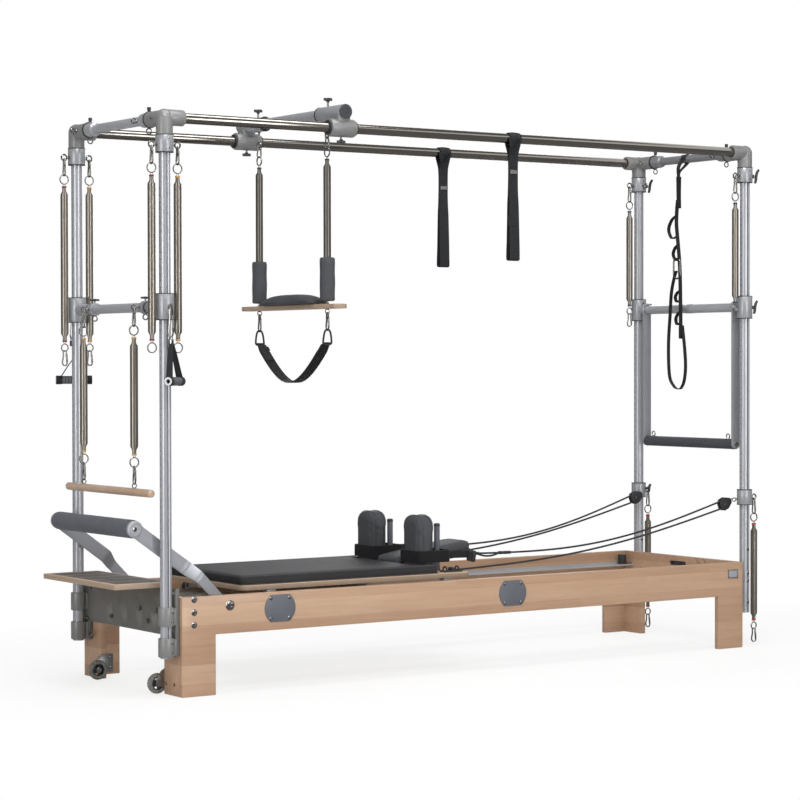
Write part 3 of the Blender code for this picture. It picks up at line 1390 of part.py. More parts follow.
def make_ropes(mats):
    """The ropes, each from its strap loop round the pulley and back to the carriage cleat."""
    for side, s in SIDES.items():
        band_z = CARRIAGE_TOP + BAND_LIFT + BAND_HEIGHT / 2
        start = Vector((BAND_TAIL_X + GAP, s * REST_SPACING / 2, band_z))
        pulley = Vector((
            HEAD_POST_X - PULLEY_IN, s * (POST_Y - PULLEY_ACROSS), PULLEY_HEIGHT
        ))
        pull = Vector((-1, 0, -ROPE_SLOPE)).normalized()
        up = Vector((-ROPE_SLOPE, 0, 1)).normalized()
        hold = PULLEY_RADIUS + ROPE_RADIUS + 6 * GAP
        end = Vector((
            CLEAT_X + BOARD + GAP, s * CLEAT_SPACING / 2, CARRIAGE_TOP + BOARD / 4
        ))
        lead = Vector((4 * ROPE_RADIUS, 0, 0))
        points = [start]
        start, last = start + lead, end
        end = end + lead
        over = pulley + up * hold
        under = pulley - up * hold
        for i in range(12):
            t = i / 12
            sag = ROPE_SAG * math.sin(math.pi * t)
            points.append(start.lerp(over, t) - Vector((0, 0, sag)))
        for i in range(7):
            angle = math.pi * i / 6
            points.append(pulley + up * (hold * math.cos(angle)) - pull * (hold * math.sin(angle)))
        for i in range(1, 15):
            t = i / 14
            sag = ROPE_SAG * math.sin(math.pi * t)
            points.append(under.lerp(end, t) - Vector((0, 0, sag)))
        points.append(last)
        make_cord(f"rope_{side}", mats["rope"], points, ROPE_RADIUS)


def make_cord(name, mat, points, radius):
    """A round cord along a list of points, as a curve with filled ends."""
    curve = bpy.data.curves.new(name, "CURVE")
    curve.dimensions = "3D"
    curve.bevel_depth = radius
    curve.bevel_resolution = 2
    curve.use_fill_caps = True
    spline = curve.splines.new("POLY")
    spline.points.add(len(points) - 1)
    for item, p in zip(spline.points, points):
        item.co = (p.x, p.y, p.z, 1)
    curve.materials.append(mat)
    ob = bpy.data.objects.new(name, curve)
    ob.location = (-MIDDLE_X, 0, 0)
    bpy.context.collection.objects.link(ob)


def main():
    """Build every piece of the reformer and its tower."""
    clear_scene()
    mats = make_materials()
    for make in (
        make_frame, make_casting, make_platform, make_tracks, make_posts, make_headers, make_rails,
        make_foot_bar, make_head_bar, make_push_bar, make_carrier, make_springs, make_roll_down,
        make_trapeze, make_risers, make_carriage, make_footbar, make_drive, make_transport, make_straps,
        make_ropes,
    ):
        make(mats)


if __name__ == "__main__":
    main()
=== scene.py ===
"""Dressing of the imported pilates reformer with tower: finishes, true windings, soft goods and studio.

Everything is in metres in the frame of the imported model: X from the foot end to the head end,
-Y towards the camera, Z up, with the origin on the floor below the machine's middle.
"""

import logging
import math
from dataclasses import dataclass
from enum import Enum
from typing import Any, Callable, Iterable, Optional, Sequence, Union

import bmesh
import bpy
import numpy as np
from mathutils import Matrix, Vector


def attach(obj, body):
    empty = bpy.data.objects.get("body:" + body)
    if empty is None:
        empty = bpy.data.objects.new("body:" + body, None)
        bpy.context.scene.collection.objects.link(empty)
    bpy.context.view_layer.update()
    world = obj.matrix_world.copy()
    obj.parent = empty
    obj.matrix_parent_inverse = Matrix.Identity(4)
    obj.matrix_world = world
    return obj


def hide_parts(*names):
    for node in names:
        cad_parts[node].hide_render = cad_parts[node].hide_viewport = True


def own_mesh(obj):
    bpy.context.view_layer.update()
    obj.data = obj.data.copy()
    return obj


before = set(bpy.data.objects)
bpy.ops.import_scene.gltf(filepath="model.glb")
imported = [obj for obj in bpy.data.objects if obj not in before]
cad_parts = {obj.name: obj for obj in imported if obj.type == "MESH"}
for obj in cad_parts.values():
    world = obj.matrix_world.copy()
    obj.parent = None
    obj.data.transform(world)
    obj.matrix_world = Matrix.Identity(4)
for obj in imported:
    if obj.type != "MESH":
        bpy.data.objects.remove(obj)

Point = Sequence[float]
Colour = tuple[float, float, float]
log = logging.getLogger("reformer")


def tone(red: int, green: int, blue: int) -> Colour:
    """Turn a screen colour into the linear one that a shader takes.

    Args:
        red, green, blue: The colour as 0 to 255 on screen.

    Returns:
        The same colour in linear light.
    """
    def linear(level: int) -> float:
        """One channel in linear light."""
        share = level / 255
        return share / 12.92 if share <= 0.04045 else ((share + 0.055) / 1.055) ** 2.4

    return linear(red), linear(green), linear(blue)


class Side(Enum):
    """The two long sides of the machine."""

    NEAR = -1
    FAR = 1

    @property
    def label(self) -> str:
        """The side as node and body names write it."""
        return self.name.lower()


class Axis(Enum):
    """The direction that a plate's outline is pushed along."""

    X = (1, 2, 0)
    Y = (0, 2, 1)
    Z = (0, 1, 2)


@dataclass(frozen=True)
class Layout:
    """Places that the sub-assemblies share."""

    middle: float = 1.28925
    foot_x: float = -1.33325
    head_x: float = 1.44475
    post_y: float = 0.348
    post_radius: float = 0.021
    rail_z: float = 2.083
    eye_z: float = 1.985
    eye_out: float = 0.053
    foot_bar_z: float = 1.405
    head_bar_z: float = 1.432
    riser_z: float = 0.63
    frame_top: float = 0.36
    rail_low: float = 0.22
    half: float = 0.387
    inner: float = 0.361
    board: float = 0.026
    trapeze_x: float = -0.58125
    trapeze_ring_z: float = 2.055

    def x(self, along: float) -> float:
        """Turn a distance from the frame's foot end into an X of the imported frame."""
        return along - self.middle


PLACE = Layout()


# Shader maths


class Signal:
    """A number that runs through the shader, written with ordinary operators."""

    def __init__(self, bench: "Bench", socket: Any) -> None:
        """Wrap an output socket, or keep a plain number."""
        self.bench = bench
        self.socket = socket

    def _maths(self, operation: str, *values: Any, clamp: bool = False) -> "Signal":
        """Add one Math node.

        Args:
            operation: The Math node's operation.
            values: Its inputs, as signals or numbers.
            clamp: Whether the result is kept between 0 and 1.

        Returns:
            The node's result as a signal.
        """
        node = self.bench.add(
            "ShaderNodeMath", {"operation": operation, "use_clamp": clamp},
            {i: v for i, v in enumerate(values)},
        )
        return Signal(self.bench, node.outputs[0])

    def __add__(self, other: Any) -> "Signal":
        """Sum."""
        return self._maths("ADD", self, other)

    __radd__ = __add__

    def __sub__(self, other: Any) -> "Signal":
        """Difference."""
        return self._maths("SUBTRACT", self, other)

    def __rsub__(self, other: Any) -> "Signal":
        """Difference from a plain number."""
        return self._maths("SUBTRACT", other, self)

    def __mul__(self, other: Any) -> "Signal":
        """Product."""
        return self._maths("MULTIPLY", self, other)

    __rmul__ = __mul__

    def __truediv__(self, other: Any) -> "Signal":
        """Quotient."""
        return self._maths("DIVIDE", self, other)

    def __rtruediv__(self, other: Any) -> "Signal":
        """A plain number divided by this one."""
        return self._maths("DIVIDE", other, self)

    def __pow__(self, other: Any) -> "Signal":
        """Power."""
        return self._maths("POWER", self, other)

    def __abs__(self) -> "Signal":
        """Size without its sign."""
        return self._maths("ABSOLUTE", self)

    def __mod__(self, other: Any) -> "Signal":
        """Remainder, which stays positive."""
        return self._maths("FLOORED_MODULO", self, other)

    def above(self, limit: Any) -> "Signal":
        """1 where the signal is over the limit, else 0."""
        return self._maths("GREATER_THAN", self, limit)

    def below(self, limit: Any) -> "Signal":
        """1 where the signal is under the limit, else 0."""
        return self._maths("LESS_THAN", self, limit)

    def floor(self) -> "Signal":
        """The whole number below."""
        return self._maths("FLOOR", self)

    def top(self, other: Any) -> "Signal":
        """The larger of two."""
        return self._maths("MAXIMUM", self, other)

    def low(self, other: Any) -> "Signal":
        """The smaller of two."""
        return self._maths("MINIMUM", self, other)

    def held(self) -> "Signal":
        """The signal kept between 0 and 1."""
        return self._maths("ADD", self, 0.0, clamp=True)

    def ramp(self, start: float, end: float) -> "Signal":
        """Stretch the part of the signal between start and end to run from 0 to 1."""
        return ((self - start) * (1 / (end - start))).held()


Value = Union[Signal, float, int, Colour, Any]


class Bench:
    """One material's node tree, and the tools that fill it."""

    def __init__(self, name: str) -> None:
        """Start a material with an empty principled shader.

        Args:
            name: The material's name.
        """
        self.material = bpy.data.materials.new(name)
        self.material.use_nodes = True
        self.tree = self.material.node_tree
        self.tree.nodes.clear()
        self.shader = self.tree.nodes.new("ShaderNodeBsdfPrincipled")
        self.output = self.tree.nodes.new("ShaderNodeOutputMaterial")
        self.tree.links.new(self.shader.outputs[0], self.output.inputs["Surface"])
        self._places: Any = None

    def put(self, socket: Any, value: Value) -> None:
        """Set a socket to a value, or link a signal to it.

        Args:
            socket: The input.
            value: A number, a colour, a vector, a signal or an output.
        """
        if isinstance(value, Signal):
            value = value.socket
        if isinstance(value, bpy.types.NodeSocket):
            self.tree.links.new(value, socket)
        elif isinstance(value, tuple) and socket.type == "RGBA":
            socket.default_value = (*value, 1.0)
        else:
            socket.default_value = value

    def add(self, kind: str, settings: Optional[dict] = None, inputs: Optional[dict] = None) -> Any:
        """Add any node.

        Args:
            kind: The node's type.
            settings: Its properties, set first; "stops" fills a colour ramp.
            inputs: Values or links, by socket name or number.

        Returns:
            The node.
        """
        node = self.tree.nodes.new(kind)
        for key, value in (settings or {}).items():
            if key == "stops":
                ramp = node.color_ramp
                while len(ramp.elements) < len(value):
                    ramp.elements.new(1.0)
                for element, (at, colour) in zip(ramp.elements, value):
                    element.position = at
                    element.color = (*colour, 1.0)
            else:
                setattr(node, key, value)
        for key, value in (inputs or {}).items():
            self.put(node.inputs[key], value)
        return node

    def places(self) -> Any:
        """Where a point lies on the machine, in metres."""
        if self._places is None:
            self._places = self.add("ShaderNodeTexCoord").outputs["Object"]
        return self._places

    def axes(self) -> tuple[Signal, Signal, Signal]:
        """The three parts of a point's place."""
        parts = self.add("ShaderNodeSeparateXYZ", None, {0: self.places()})
        return tuple(Signal(self, parts.outputs[i]) for i in range(3))

    def lay(self) -> tuple[Signal, Signal]:
        """Distance round and along a strap, rope or tube, in metres."""
        node = self.add("ShaderNodeUVMap", {"uv_map": "lay"})
        parts = self.add("ShaderNodeSeparateXYZ", None, {0: node.outputs[0]})
        return Signal(self, parts.outputs[0]), Signal(self, parts.outputs[1])

    def facing(self) -> tuple[Signal, Signal, Signal]:
        """The three parts of the direction that the surface faces."""
        node = self.add("ShaderNodeTexCoord")
        parts = self.add("ShaderNodeSeparateXYZ", None, {0: node.outputs["Normal"]})
        return tuple(Signal(self, parts.outputs[i]) for i in range(3))

    def stretched(self, scale: Point) -> Any:
        """The places scaled along each axis, for grain that runs one way."""
        node = self.add("ShaderNodeMapping", None, {"Vector": self.places(), "Scale": scale})
        return node.outputs[0]

    def join(self, x: Value, y: Value, z: Value = 0.0) -> Any:
        """Three numbers as one vector."""
        return self.add("ShaderNodeCombineXYZ", None, {0: x, 1: y, 2: z}).outputs[0]

    def noise(self, vector: Any, scale: float = 1.0, detail: float = 3.0, rough: float = 0.5) -> Signal:
        """Cloudy noise between 0 and 1.

        Args:
            vector: Where it is read.
            scale: How fine it is.
            detail: How many finer layers.
            rough: How strong the finer layers are.

        Returns:
            The noise.
        """
        node = self.add(
            "ShaderNodeTexNoise", None,
            {"Vector": vector, "Scale": scale, "Detail": detail, "Roughness": rough},
        )
        return Signal(self, node.outputs[0])

    def cells(self, vector: Any, scale: float, feature: str = "F1") -> Signal:
        """Distance to the nearest of many scattered points.

        Args:
            vector: Where it is read.
            scale: How close the points lie.
            feature: Which distance, as the node names it.

        Returns:
            The distance.
        """
        node = self.add(
            "ShaderNodeTexVoronoi", {"feature": feature}, {"Vector": vector, "Scale": scale}
        )
        return Signal(self, node.outputs["Distance"])

    def blend(self, share: Value, first: Value, second: Value) -> Any:
        """Two colours mixed.

        Args:
            share: How much of the second shows.
            first: The colour at 0.
            second: The colour at 1.

        Returns:
            The mixed colour's socket.
        """
        node = self.add("ShaderNodeMix", {"data_type": "RGBA"})
        self.put(node.inputs[0], share)
        self.put(node.inputs[6], first)
        self.put(node.inputs[7], second)
        return node.outputs[2]

    def relief(self, height: Value, depth: float) -> None:
        """Raise the surface by height times depth, in metres."""
        node = self.add("ShaderNodeBump", None, {"Height": height, "Distance": depth, "Strength": 1.0})
        self.put(self.shader.inputs["Normal"], node.outputs[0])

    def dress(self, **values: Value) -> bpy.types.Material:
        """Set the shader's sockets, whose names are written with _ for a space, and give the material."""
        for key, value in values.items():
            self.put(self.shader.inputs[key.replace("_", " ")], value)
        return self.material


# Finishes


@dataclass(frozen=True)
class Finish:
    """A surface finish: its name, and the slot of the record that it stands for."""

    name: str
    slot: str

    def paint(self, bench: Bench) -> bpy.types.Material:
        """Fill the bench with this finish's nodes."""
        raise NotImplementedError

    def material(self) -> bpy.types.Material:
        """The finish as a material, made once."""
        label = f"finish_{self.name}"
        made = bpy.data.materials.get(label)
        return made if made else self.paint(Bench(label))


@dataclass(frozen=True)
class Beech(Finish):
    """Clear-varnished beech glued up from level staves, with short pore flecks."""

    light: Colour = tone(190, 158, 130)
    dark: Colour = tone(158, 121, 95)
    stave: float = 0.0705
    along: Axis = Axis.X
    sheen: float = 0.36
    coat: float = 0.25

    def paint(self, bench: Bench) -> bpy.types.Material:
        """Staves with their own tone, long grain, flecks and a thin varnish.

        Args:
            bench: Where its nodes are made.

        Returns:
            The finished material.
        """
        x, y, z = bench.axes()
        run, up = (y, z) if self.along is Axis.Y else (x, z)
        piece = (up / self.stave + 0.37).floor()
        shift = (piece * 0.618 + y.above(0) * 0.31) % 1.0
        joint = ((run + shift * 0.9) / 1.3).floor()
        stave_tint = bench.noise(bench.join(piece * 7.31, shift * 9.0), 1.0, 0.0)
        tint = stave_tint * 0.7 + bench.noise(bench.join(piece * 7.31, joint * 3.17, shift * 9.0), 1.0,
                                              0.0) * 0.3
        grain = bench.noise(
            bench.join(run * 2.2 + shift * 11, y * 34 + shift * 5, up * 34 + joint), 1.6, 5.0, 0.62
        )
        fine = bench.noise(bench.join(run * 9, y * 260, up * 260), 1.0, 3.0, 0.7)
        fleck = bench.cells(bench.join(run * 150, y * 900, up * 900 + piece * 3), 1.0)
        flecks = fleck.below(0.19) * 0.30
        seam = abs((up / self.stave + 0.37) % 1.0 - 0.5).above(0.4955)
        share = (tint * 1.5 - 0.35 + (grain - 0.5) * 0.8 + (fine - 0.5) * 0.30).held()
        wood = bench.blend(share, self.light, self.dark)
        flecked = bench.blend(flecks, wood, tone(122, 84, 58))
        final = bench.blend(seam * 0.45, flecked, tone(140, 100, 72))
        bench.relief(grain * 0.5 + fine * 0.3 - flecks - seam, 0.00012)
        return bench.dress(
            Base_Color=final, Roughness=self.sheen + fine * 0.12, Coat_Weight=self.coat, Coat_Roughness=0.12
        )


@dataclass(frozen=True)
class Plywood(Finish):
    """Birch plywood: a plain face, and its plies round the edge."""

    ply: float = 0.0018
    face: Colour = tone(205, 178, 150)

    def paint(self, bench: Bench) -> bpy.types.Material:
        """Face grain where the surface is level, and alternate plies on upright edges.

        Args:
            bench: Where its nodes are made.

        Returns:
            The finished material.
        """
        x, y, z = bench.axes()
        nz = bench.facing()[2]
        edge = 1 - abs(nz).ramp(0.55, 0.8)
        wave = bench.noise(bench.join(x * 3, y * 3, z * 60), 1.0, 2.0) * 0.0006
        layer = ((z + wave) / self.ply) % 2.0
        dark_ply = layer.above(1.0)
        end_grain = bench.noise(bench.join(x * 160, y * 160, z * 2600), 1.0, 4.0, 0.7)
        glue = abs(((z + wave) / self.ply) % 1.0 - 0.5).above(0.44)
        face_grain = bench.noise(bench.join(x * 4, y * 55, z * 9), 1.0, 6.0, 0.62)
        face = bench.blend(face_grain.ramp(0.3, 0.72), self.face, tone(184, 152, 122))
        plies = bench.blend(
            dark_ply * (0.55 + end_grain * 0.5), tone(188, 166, 144), tone(128, 108, 91)
        )
        glued = bench.blend(glue * 0.5, plies, tone(98, 76, 60))
        final = bench.blend(edge, face, glued)
        bench.relief(face_grain * (1 - edge) + (end_grain * 0.7 - glue) * edge, 0.00012)
        return bench.dress(Base_Color=final, Roughness=0.42 + end_grain * 0.14, Coat_Weight=0.15)


@dataclass(frozen=True)
class Coated(Finish):
    """Painted or powder-coated metal with a fine orange-peel skin and rubbed edges."""

    colour: Colour = tone(160, 162, 166)
    rough: float = 0.34
    metal: float = 0.55
    peel: float = 900.0
    depth: float = 0.00003
    fleck: float = 0.10

    def paint(self, bench: Bench) -> bpy.types.Material:
        """Even paint with flake, peel and faint handling marks.

        Args:
            bench: Where its nodes are made.

        Returns:
            The finished material.
        """
        places = bench.places()
        skin = bench.noise(places, self.peel, 2.0)
        flake = bench.cells(places, self.peel * 2.2)
        cloud = bench.noise(places, 7.0, 4.0, 0.6)
        rub = bench.noise(bench.stretched((30, 30, 4)), 1.0, 5.0, 0.7).ramp(0.62, 0.8)
        paler = tuple(min(1.0, c * 1.35 + 0.02) for c in self.colour)
        darker = tuple(c * 0.72 for c in self.colour)
        share = (0.5 + (flake - 0.4) * self.fleck * 2 + (cloud - 0.5) * 0.35).held()
        base = bench.blend(share, darker, paler)
        bench.relief(skin, self.depth)
        return bench.dress(
            Base_Color=base, Metallic=self.metal,
            Roughness=(self.rough + (cloud - 0.5) * 0.06 + rub * 0.04 + (skin - 0.5) * 0.08).held(),
        )


@dataclass(frozen=True)
class BrushedMetal(Finish):
    """Bare metal drawn along one axis, with fine lines and faint smears."""

    colour: Colour = tone(150, 143, 135)
    rough: float = 0.22
    grain: Point = (2.0, 700.0, 700.0)
    depth: float = 0.00002

    def paint(self, bench: Bench) -> bpy.types.Material:
        """Draw lines along the metal and vary its sheen.

        Args:
            bench: Where its nodes are made.

        Returns:
            The finished material.
        """
        lines = bench.noise(bench.stretched(self.grain), 1.0, 4.0, 0.7)
        smear = bench.noise(bench.places(), 6.0, 4.0, 0.6)
        darker = tuple(c * 0.8 for c in self.colour)
        base = bench.blend((lines * 0.8 + smear * 0.3 - 0.05).held(), darker, self.colour)
        if self.depth:
            bench.relief(lines, self.depth)
        return bench.dress(
            Base_Color=base, Metallic=1.0,
            Roughness=(self.rough + (lines - 0.5) * 0.10 + (smear - 0.5) * 0.04).held(),
        )


@dataclass(frozen=True)
class Moulded(Finish):
    """Moulded plastic or rubber with a matt grain."""

    colour: Colour = tone(50, 51, 54)
    rough: float = 0.5
    grain: float = 1400.0
    depth: float = 0.00004

    def paint(self, bench: Bench) -> bpy.types.Material:
        """Matt grain with slight clouding and rubbed high spots.

        Args:
            bench: Where its nodes are made.

        Returns:
            The finished material.
        """
        pits = bench.cells(bench.places(), self.grain)
        cloud = bench.noise(bench.places(), 18.0, 4.0, 0.6)
        paler = tuple(c * 1.3 + 0.01 for c in self.colour)
        base = bench.blend((cloud * 0.8 + pits * 0.35 - 0.15).held(), self.colour, paler)
        bench.relief(pits, self.depth)
        return bench.dress(
            Base_Color=base, Roughness=(self.rough + (pits - 0.4) * 0.2 + (cloud - 0.5) * 0.1).held()
        )


@dataclass(frozen=True)
class Vinyl(Finish):
    """Upholstery vinyl: leather grain, soft creases and a dull sheen."""

    colour: Colour = tone(66, 66, 68)
    grain: float = 520.0

    def paint(self, bench: Bench) -> bpy.types.Material:
        """Pebbled grain with long shallow wrinkles.

        Args:
            bench: Where its nodes are made.

        Returns:
            The finished material.
        """
        places = bench.places()
        bend = bench.noise(places, 60.0, 2.0)
        pebble = bench.cells(bench.stretched((1, 1, 1)), self.grain)
        second = bench.cells(places, self.grain * 0.46, "SMOOTH_F1")
        crease = bench.noise(bench.stretched((7, 16, 16)), 1.0, 4.0, 0.6)
        height = pebble.low(0.6) * 0.8 + second * 0.4 + bend * 0.3 + crease * 0.8
        worn = (crease.ramp(0.45, 0.75) * 0.35 + (pebble - 0.4) * 0.5 + 0.2).held()
        base = bench.blend(
            worn, tuple(c * 0.86 for c in self.colour), tuple(c * 1.28 + 0.004 for c in self.colour)
        )
        bench.relief(height, 0.00016)
        return bench.dress(
            Base_Color=base, Roughness=(0.62 + (pebble - 0.4) * 0.20 + (crease - 0.5) * 0.14).held(),
            Specular_IOR_Level=0.10,
        )


@dataclass(frozen=True)
class Foam(Finish):
    """Closed-cell grip foam with small open pores."""

    colour: Colour = tone(70, 72, 77)

    def paint(self, bench: Bench) -> bpy.types.Material:
        """Two sizes of pore on a soft matt skin.

        Args:
            bench: Where its nodes are made.

        Returns:
            The finished material.
        """
        pores = bench.cells(bench.places(), 900.0)
        large = bench.cells(bench.places(), 330.0)
        cloud = bench.noise(bench.places(), 14.0, 4.0, 0.6)
        base = bench.blend(
            (pores * 0.6 + cloud * 0.7 - 0.25).held(), tuple(c * 0.8 for c in self.colour),
            tuple(c * 1.22 + 0.004 for c in self.colour),
        )
        bench.relief(pores * 0.6 + large.low(0.35), 0.00022)
        return bench.dress(
            Base_Color=base, Roughness=(0.62 + (pores - 0.4) * 0.2).held(), Sheen_Weight=0.08,
            Specular_IOR_Level=0.35,
        )


@dataclass(frozen=True)
class Webbing(Finish):
    """Woven strap: herringbone ribs along it, picks across it, and firm edges."""

    colour: Colour = tone(30, 31, 33)
    rib: float = 0.0016
    pick: float = 0.0011

    def paint(self, bench: Bench) -> bpy.types.Material:
        """Weave from the strap's own width and length.

        Args:
            bench: Where its nodes are made.

        Returns:
            The finished material.
        """
        across, along = bench.lay()
        column = (across / self.rib).floor()
        lean = (column % 2.0) * 2.0 - 1.0
        ribs = abs(((across / self.rib) % 1.0) - 0.5) * 2.0
        picks = ((along / self.pick + lean * ((across / self.rib) % 1.0) * 0.8) % 1.0)
        thread = (1 - ribs ** 2.0) * (1 - abs(picks * 2.0 - 1.0) ** 3.0)
        fuzz = bench.noise(bench.places(), 1500.0, 3.0, 0.7)
        wear = bench.noise(bench.places(), 12.0, 4.0, 0.6)
        share = (thread * 0.6 + (fuzz - 0.5) * 0.5 + wear * 0.3).held()
        base = bench.blend(
            share, tuple(c * 0.55 for c in self.colour), tuple(c * 1.6 + 0.006 for c in self.colour)
        )
        bench.relief(thread + fuzz * 0.3, 0.00032)
        return bench.dress(
            Base_Color=base, Roughness=(0.66 + (fuzz - 0.5) * 0.2).held(), Sheen_Weight=0.06,
            Specular_IOR_Level=0.3,
        )


@dataclass(frozen=True)
class Braid(Finish):
    """Braided rope sheath: two sets of strands that cross on the slant."""

    colour: Colour = tone(36, 36, 38)
    strand: float = 0.0019

    def paint(self, bench: Bench) -> bpy.types.Material:
        """Crossing strands from the distance round and along the rope.

        Args:
            bench: Where its nodes are made.

        Returns:
            The finished material.
        """
        around, along = bench.lay()
        one = ((along + around) / self.strand) % 1.0
        two = ((along - around) / self.strand) % 1.0
        over = (((along + around) / self.strand).floor() + ((along - around) / self.strand).floor()) % 2.0
        first = 1 - abs(one * 2.0 - 1.0) ** 2.0
        second = 1 - abs(two * 2.0 - 1.0) ** 2.0
        weave = first * over + second * (1 - over)
        fuzz = bench.noise(bench.places(), 1800.0, 2.0)
        base = bench.blend(
            (weave * 0.7 + (fuzz - 0.5) * 0.6).held(), tuple(c * 0.5 for c in self.colour),
            tuple(c * 1.7 + 0.008 for c in self.colour),
        )
        bench.relief(weave + fuzz * 0.2, 0.0003)
        return bench.dress(Base_Color=base, Roughness=0.6 + fuzz * 0.15, Sheen_Weight=0.1)


@dataclass(frozen=True)
class Urethane(Finish):
    """Cloudy clear urethane of a small wheel."""

    colour: Colour = tone(196, 194, 188)

    def paint(self, bench: Bench) -> bpy.types.Material:
        """Milky resin with bubbles and a scuffed tread.

        Args:
            bench: Where its nodes are made.

        Returns:
            The finished material.
        """
        bubbles = bench.cells(bench.places(), 240.0)
        cloud = bench.noise(bench.places(), 90.0, 4.0, 0.65)
        base = bench.blend((cloud * 1.2 - 0.2).held(), tone(150, 148, 142), self.colour)
        bench.relief(bubbles.low(0.3) + cloud * 0.5, 0.0002)
        return bench.dress(
            Base_Color=base, Roughness=(0.16 + cloud * 0.2).held(), Transmission_Weight=0.55, IOR=1.45,
        )


@dataclass(frozen=True)
class Scaled(Coated):
    """The posts' satin coat, with a numberless scale of marks down the outer face."""

    spacing: float = 0.0254
    mark: float = 0.0011

    def paint(self, bench: Bench) -> bpy.types.Material:
        """Satin coat, plus engraved marks on a narrow strip that faces away from the rails.

        Args:
            bench: Where its nodes are made.

        Returns:
            The finished material.
        """
        material = super().paint(bench)
        z = bench.axes()[2]
        nx = bench.facing()[0]
        strip = nx.below(-0.952)
        line = abs((z / self.spacing) % 1.0 - 0.5).above(0.5 - self.mark / self.spacing)
        marks = strip * line * z.above(0.45)
        shader = bench.shader.inputs["Base Color"]
        painted = shader.links[0].from_socket
        bench.put(shader, bench.blend(marks * 0.55, painted, tone(70, 71, 74)))
        return material


# Finishes of this machine
BEECH = Beech("beech_staves", "beech")
DOWEL = Beech("pale_dowel", "beech", tone(196, 168, 144), tone(164, 130, 106), 0.9, Axis.Y, sheen=0.24,
              coat=0.9)
BEECH_END = Beech("beech_staves_crosswise", "beech", along=Axis.Y)
# Darker beech for the head end's two grooves: painted shade of their hollow.
GROOVE_SHADE_BEECH = Beech("beech_groove", "beech", tone(150, 110, 84), tone(128, 90, 66))
PLY = Plywood("birch_plywood", "plywood")
SILVER = Coated("satin_silver", "silver_paint", tone(186, 188, 193), 0.30, 0.55)
SILVER_SCALED = Scaled("satin_silver_scaled", "silver_paint", tone(186, 188, 193), 0.30, 0.55)
COLLAR = Coated("pale_cast_grey", "grey_fitting", tone(164, 166, 170), 0.34, 0.45, 700.0, 0.00005)
# A darker copy of the satin silver for the head-end header: painted shade.
HEAD_SHADE_SILVER = Coated("shaded_silver", "silver_paint", tone(142, 143, 146), 0.32, 0.50)
FITTING = Coated("warm_cast_grey", "grey_fitting", tone(133, 134, 133), 0.38, 0.30, 620.0, 0.00008)
ARM_GREY = Coated("flat_arm_grey", "silver_paint", tone(150, 152, 157), 0.36, 0.40)
CAST_DARK = Coated("dark_casting", "dark_casting", tone(98, 98, 95), 0.44, 0.05, 420.0, 0.00010, 0.16)
STAINLESS = BrushedMetal("brushed_stainless", "brushed_steel", tone(170, 165, 158), 0.14, (2.0, 700, 700),
                         0.000002)
ZINC = BrushedMetal("bright_zinc", "brushed_steel", tone(172, 170, 166), 0.15, (900, 900, 900))
SPRING = BrushedMetal("spring_wire", "spring_steel", tone(194, 187, 176), 0.295, (3, 3, 3), 0.0)
DARK_SPRING = BrushedMetal("dark_spring_wire", "spring_steel", tone(150, 145, 137), 0.30, (3, 3, 3), 0.0)
ALLOY = BrushedMetal("drawn_aluminium", "aluminium", tone(170, 171, 173), 0.32, (1.5, 500, 500))
PAD_VINYL = Vinyl("dark_vinyl", "charcoal_vinyl", tone(58, 58, 60))
VINYL = Vinyl("charcoal_vinyl", "charcoal_vinyl", tone(76, 77, 80))
FOAM = Foam("charcoal_foam", "charcoal_foam", tone(64, 67, 72))
# The roller's foam: its own bluish tone, lightened to paint the sheen from above.
ROLLER_SHEEN_FOAM = Foam("charcoal_roller", "charcoal_foam", tone(86, 89, 96))
WEB = Webbing("black_webbing", "black_webbing", tone(31, 32, 34))
LOOP_WEB = Webbing("loop_webbing", "black_webbing", tone(17, 18, 19))
PADDED_WEB = Webbing("padded_webbing", "black_webbing", tone(17, 17, 18), 0.0022, 0.0016)
PATCH = Moulded("bare_label", "black_webbing", tone(104, 102, 102), 0.7, 1200.0)
ROPE = Braid("black_rope", "black_rope")
RUBBER = Moulded("black_rubber", "charcoal_foam", tone(38, 38, 40), 0.6, 900.0, 0.00008)
PLASTIC = Moulded("dark_moulding", "charcoal_foam", tone(52, 54, 58), 0.42)
PALE_PLASTIC = Moulded("pale_moulding", "grey_fitting", tone(196, 197, 198), 0.4)
SLATE = Moulded("slate_plate", "dark_casting", tone(88, 91, 98), 0.42, 1600.0)
NAME_PLATE = Moulded("pale_plate", "grey_fitting", tone(138, 141, 146), 0.36, 1600.0)
TRACK = Coated("anodised_track", "aluminium", tone(176, 177, 180), 0.42, 0.30, 900.0, 0.00002)
GRIP_TUBE = Moulded("grey_grip_tube", "charcoal_foam", tone(92, 94, 98), 0.5, 800.0, 0.00006)
STRIP = Moulded("grip_strip", "charcoal_foam", tone(92, 90, 88), 0.8, 1100.0, 0.0003)
MAROON = Moulded("maroon_cap", "charcoal_foam", tone(116, 34, 58), 0.4)
YELLOW = Moulded("yellow_cap", "charcoal_foam", tone(188, 140, 66), 0.4)
BLUE = Moulded("blue_cap", "charcoal_foam", tone(42, 62, 104), 0.4)
RED = Moulded("red_cap", "charcoal_foam", tone(176, 40, 44), 0.4)
WHEEL = Urethane("clear_grey_urethane", "clear_grey_urethane")
THREAD = Moulded("pale_thread", "black_webbing", tone(72, 73, 76), 0.7)


# Mesh making


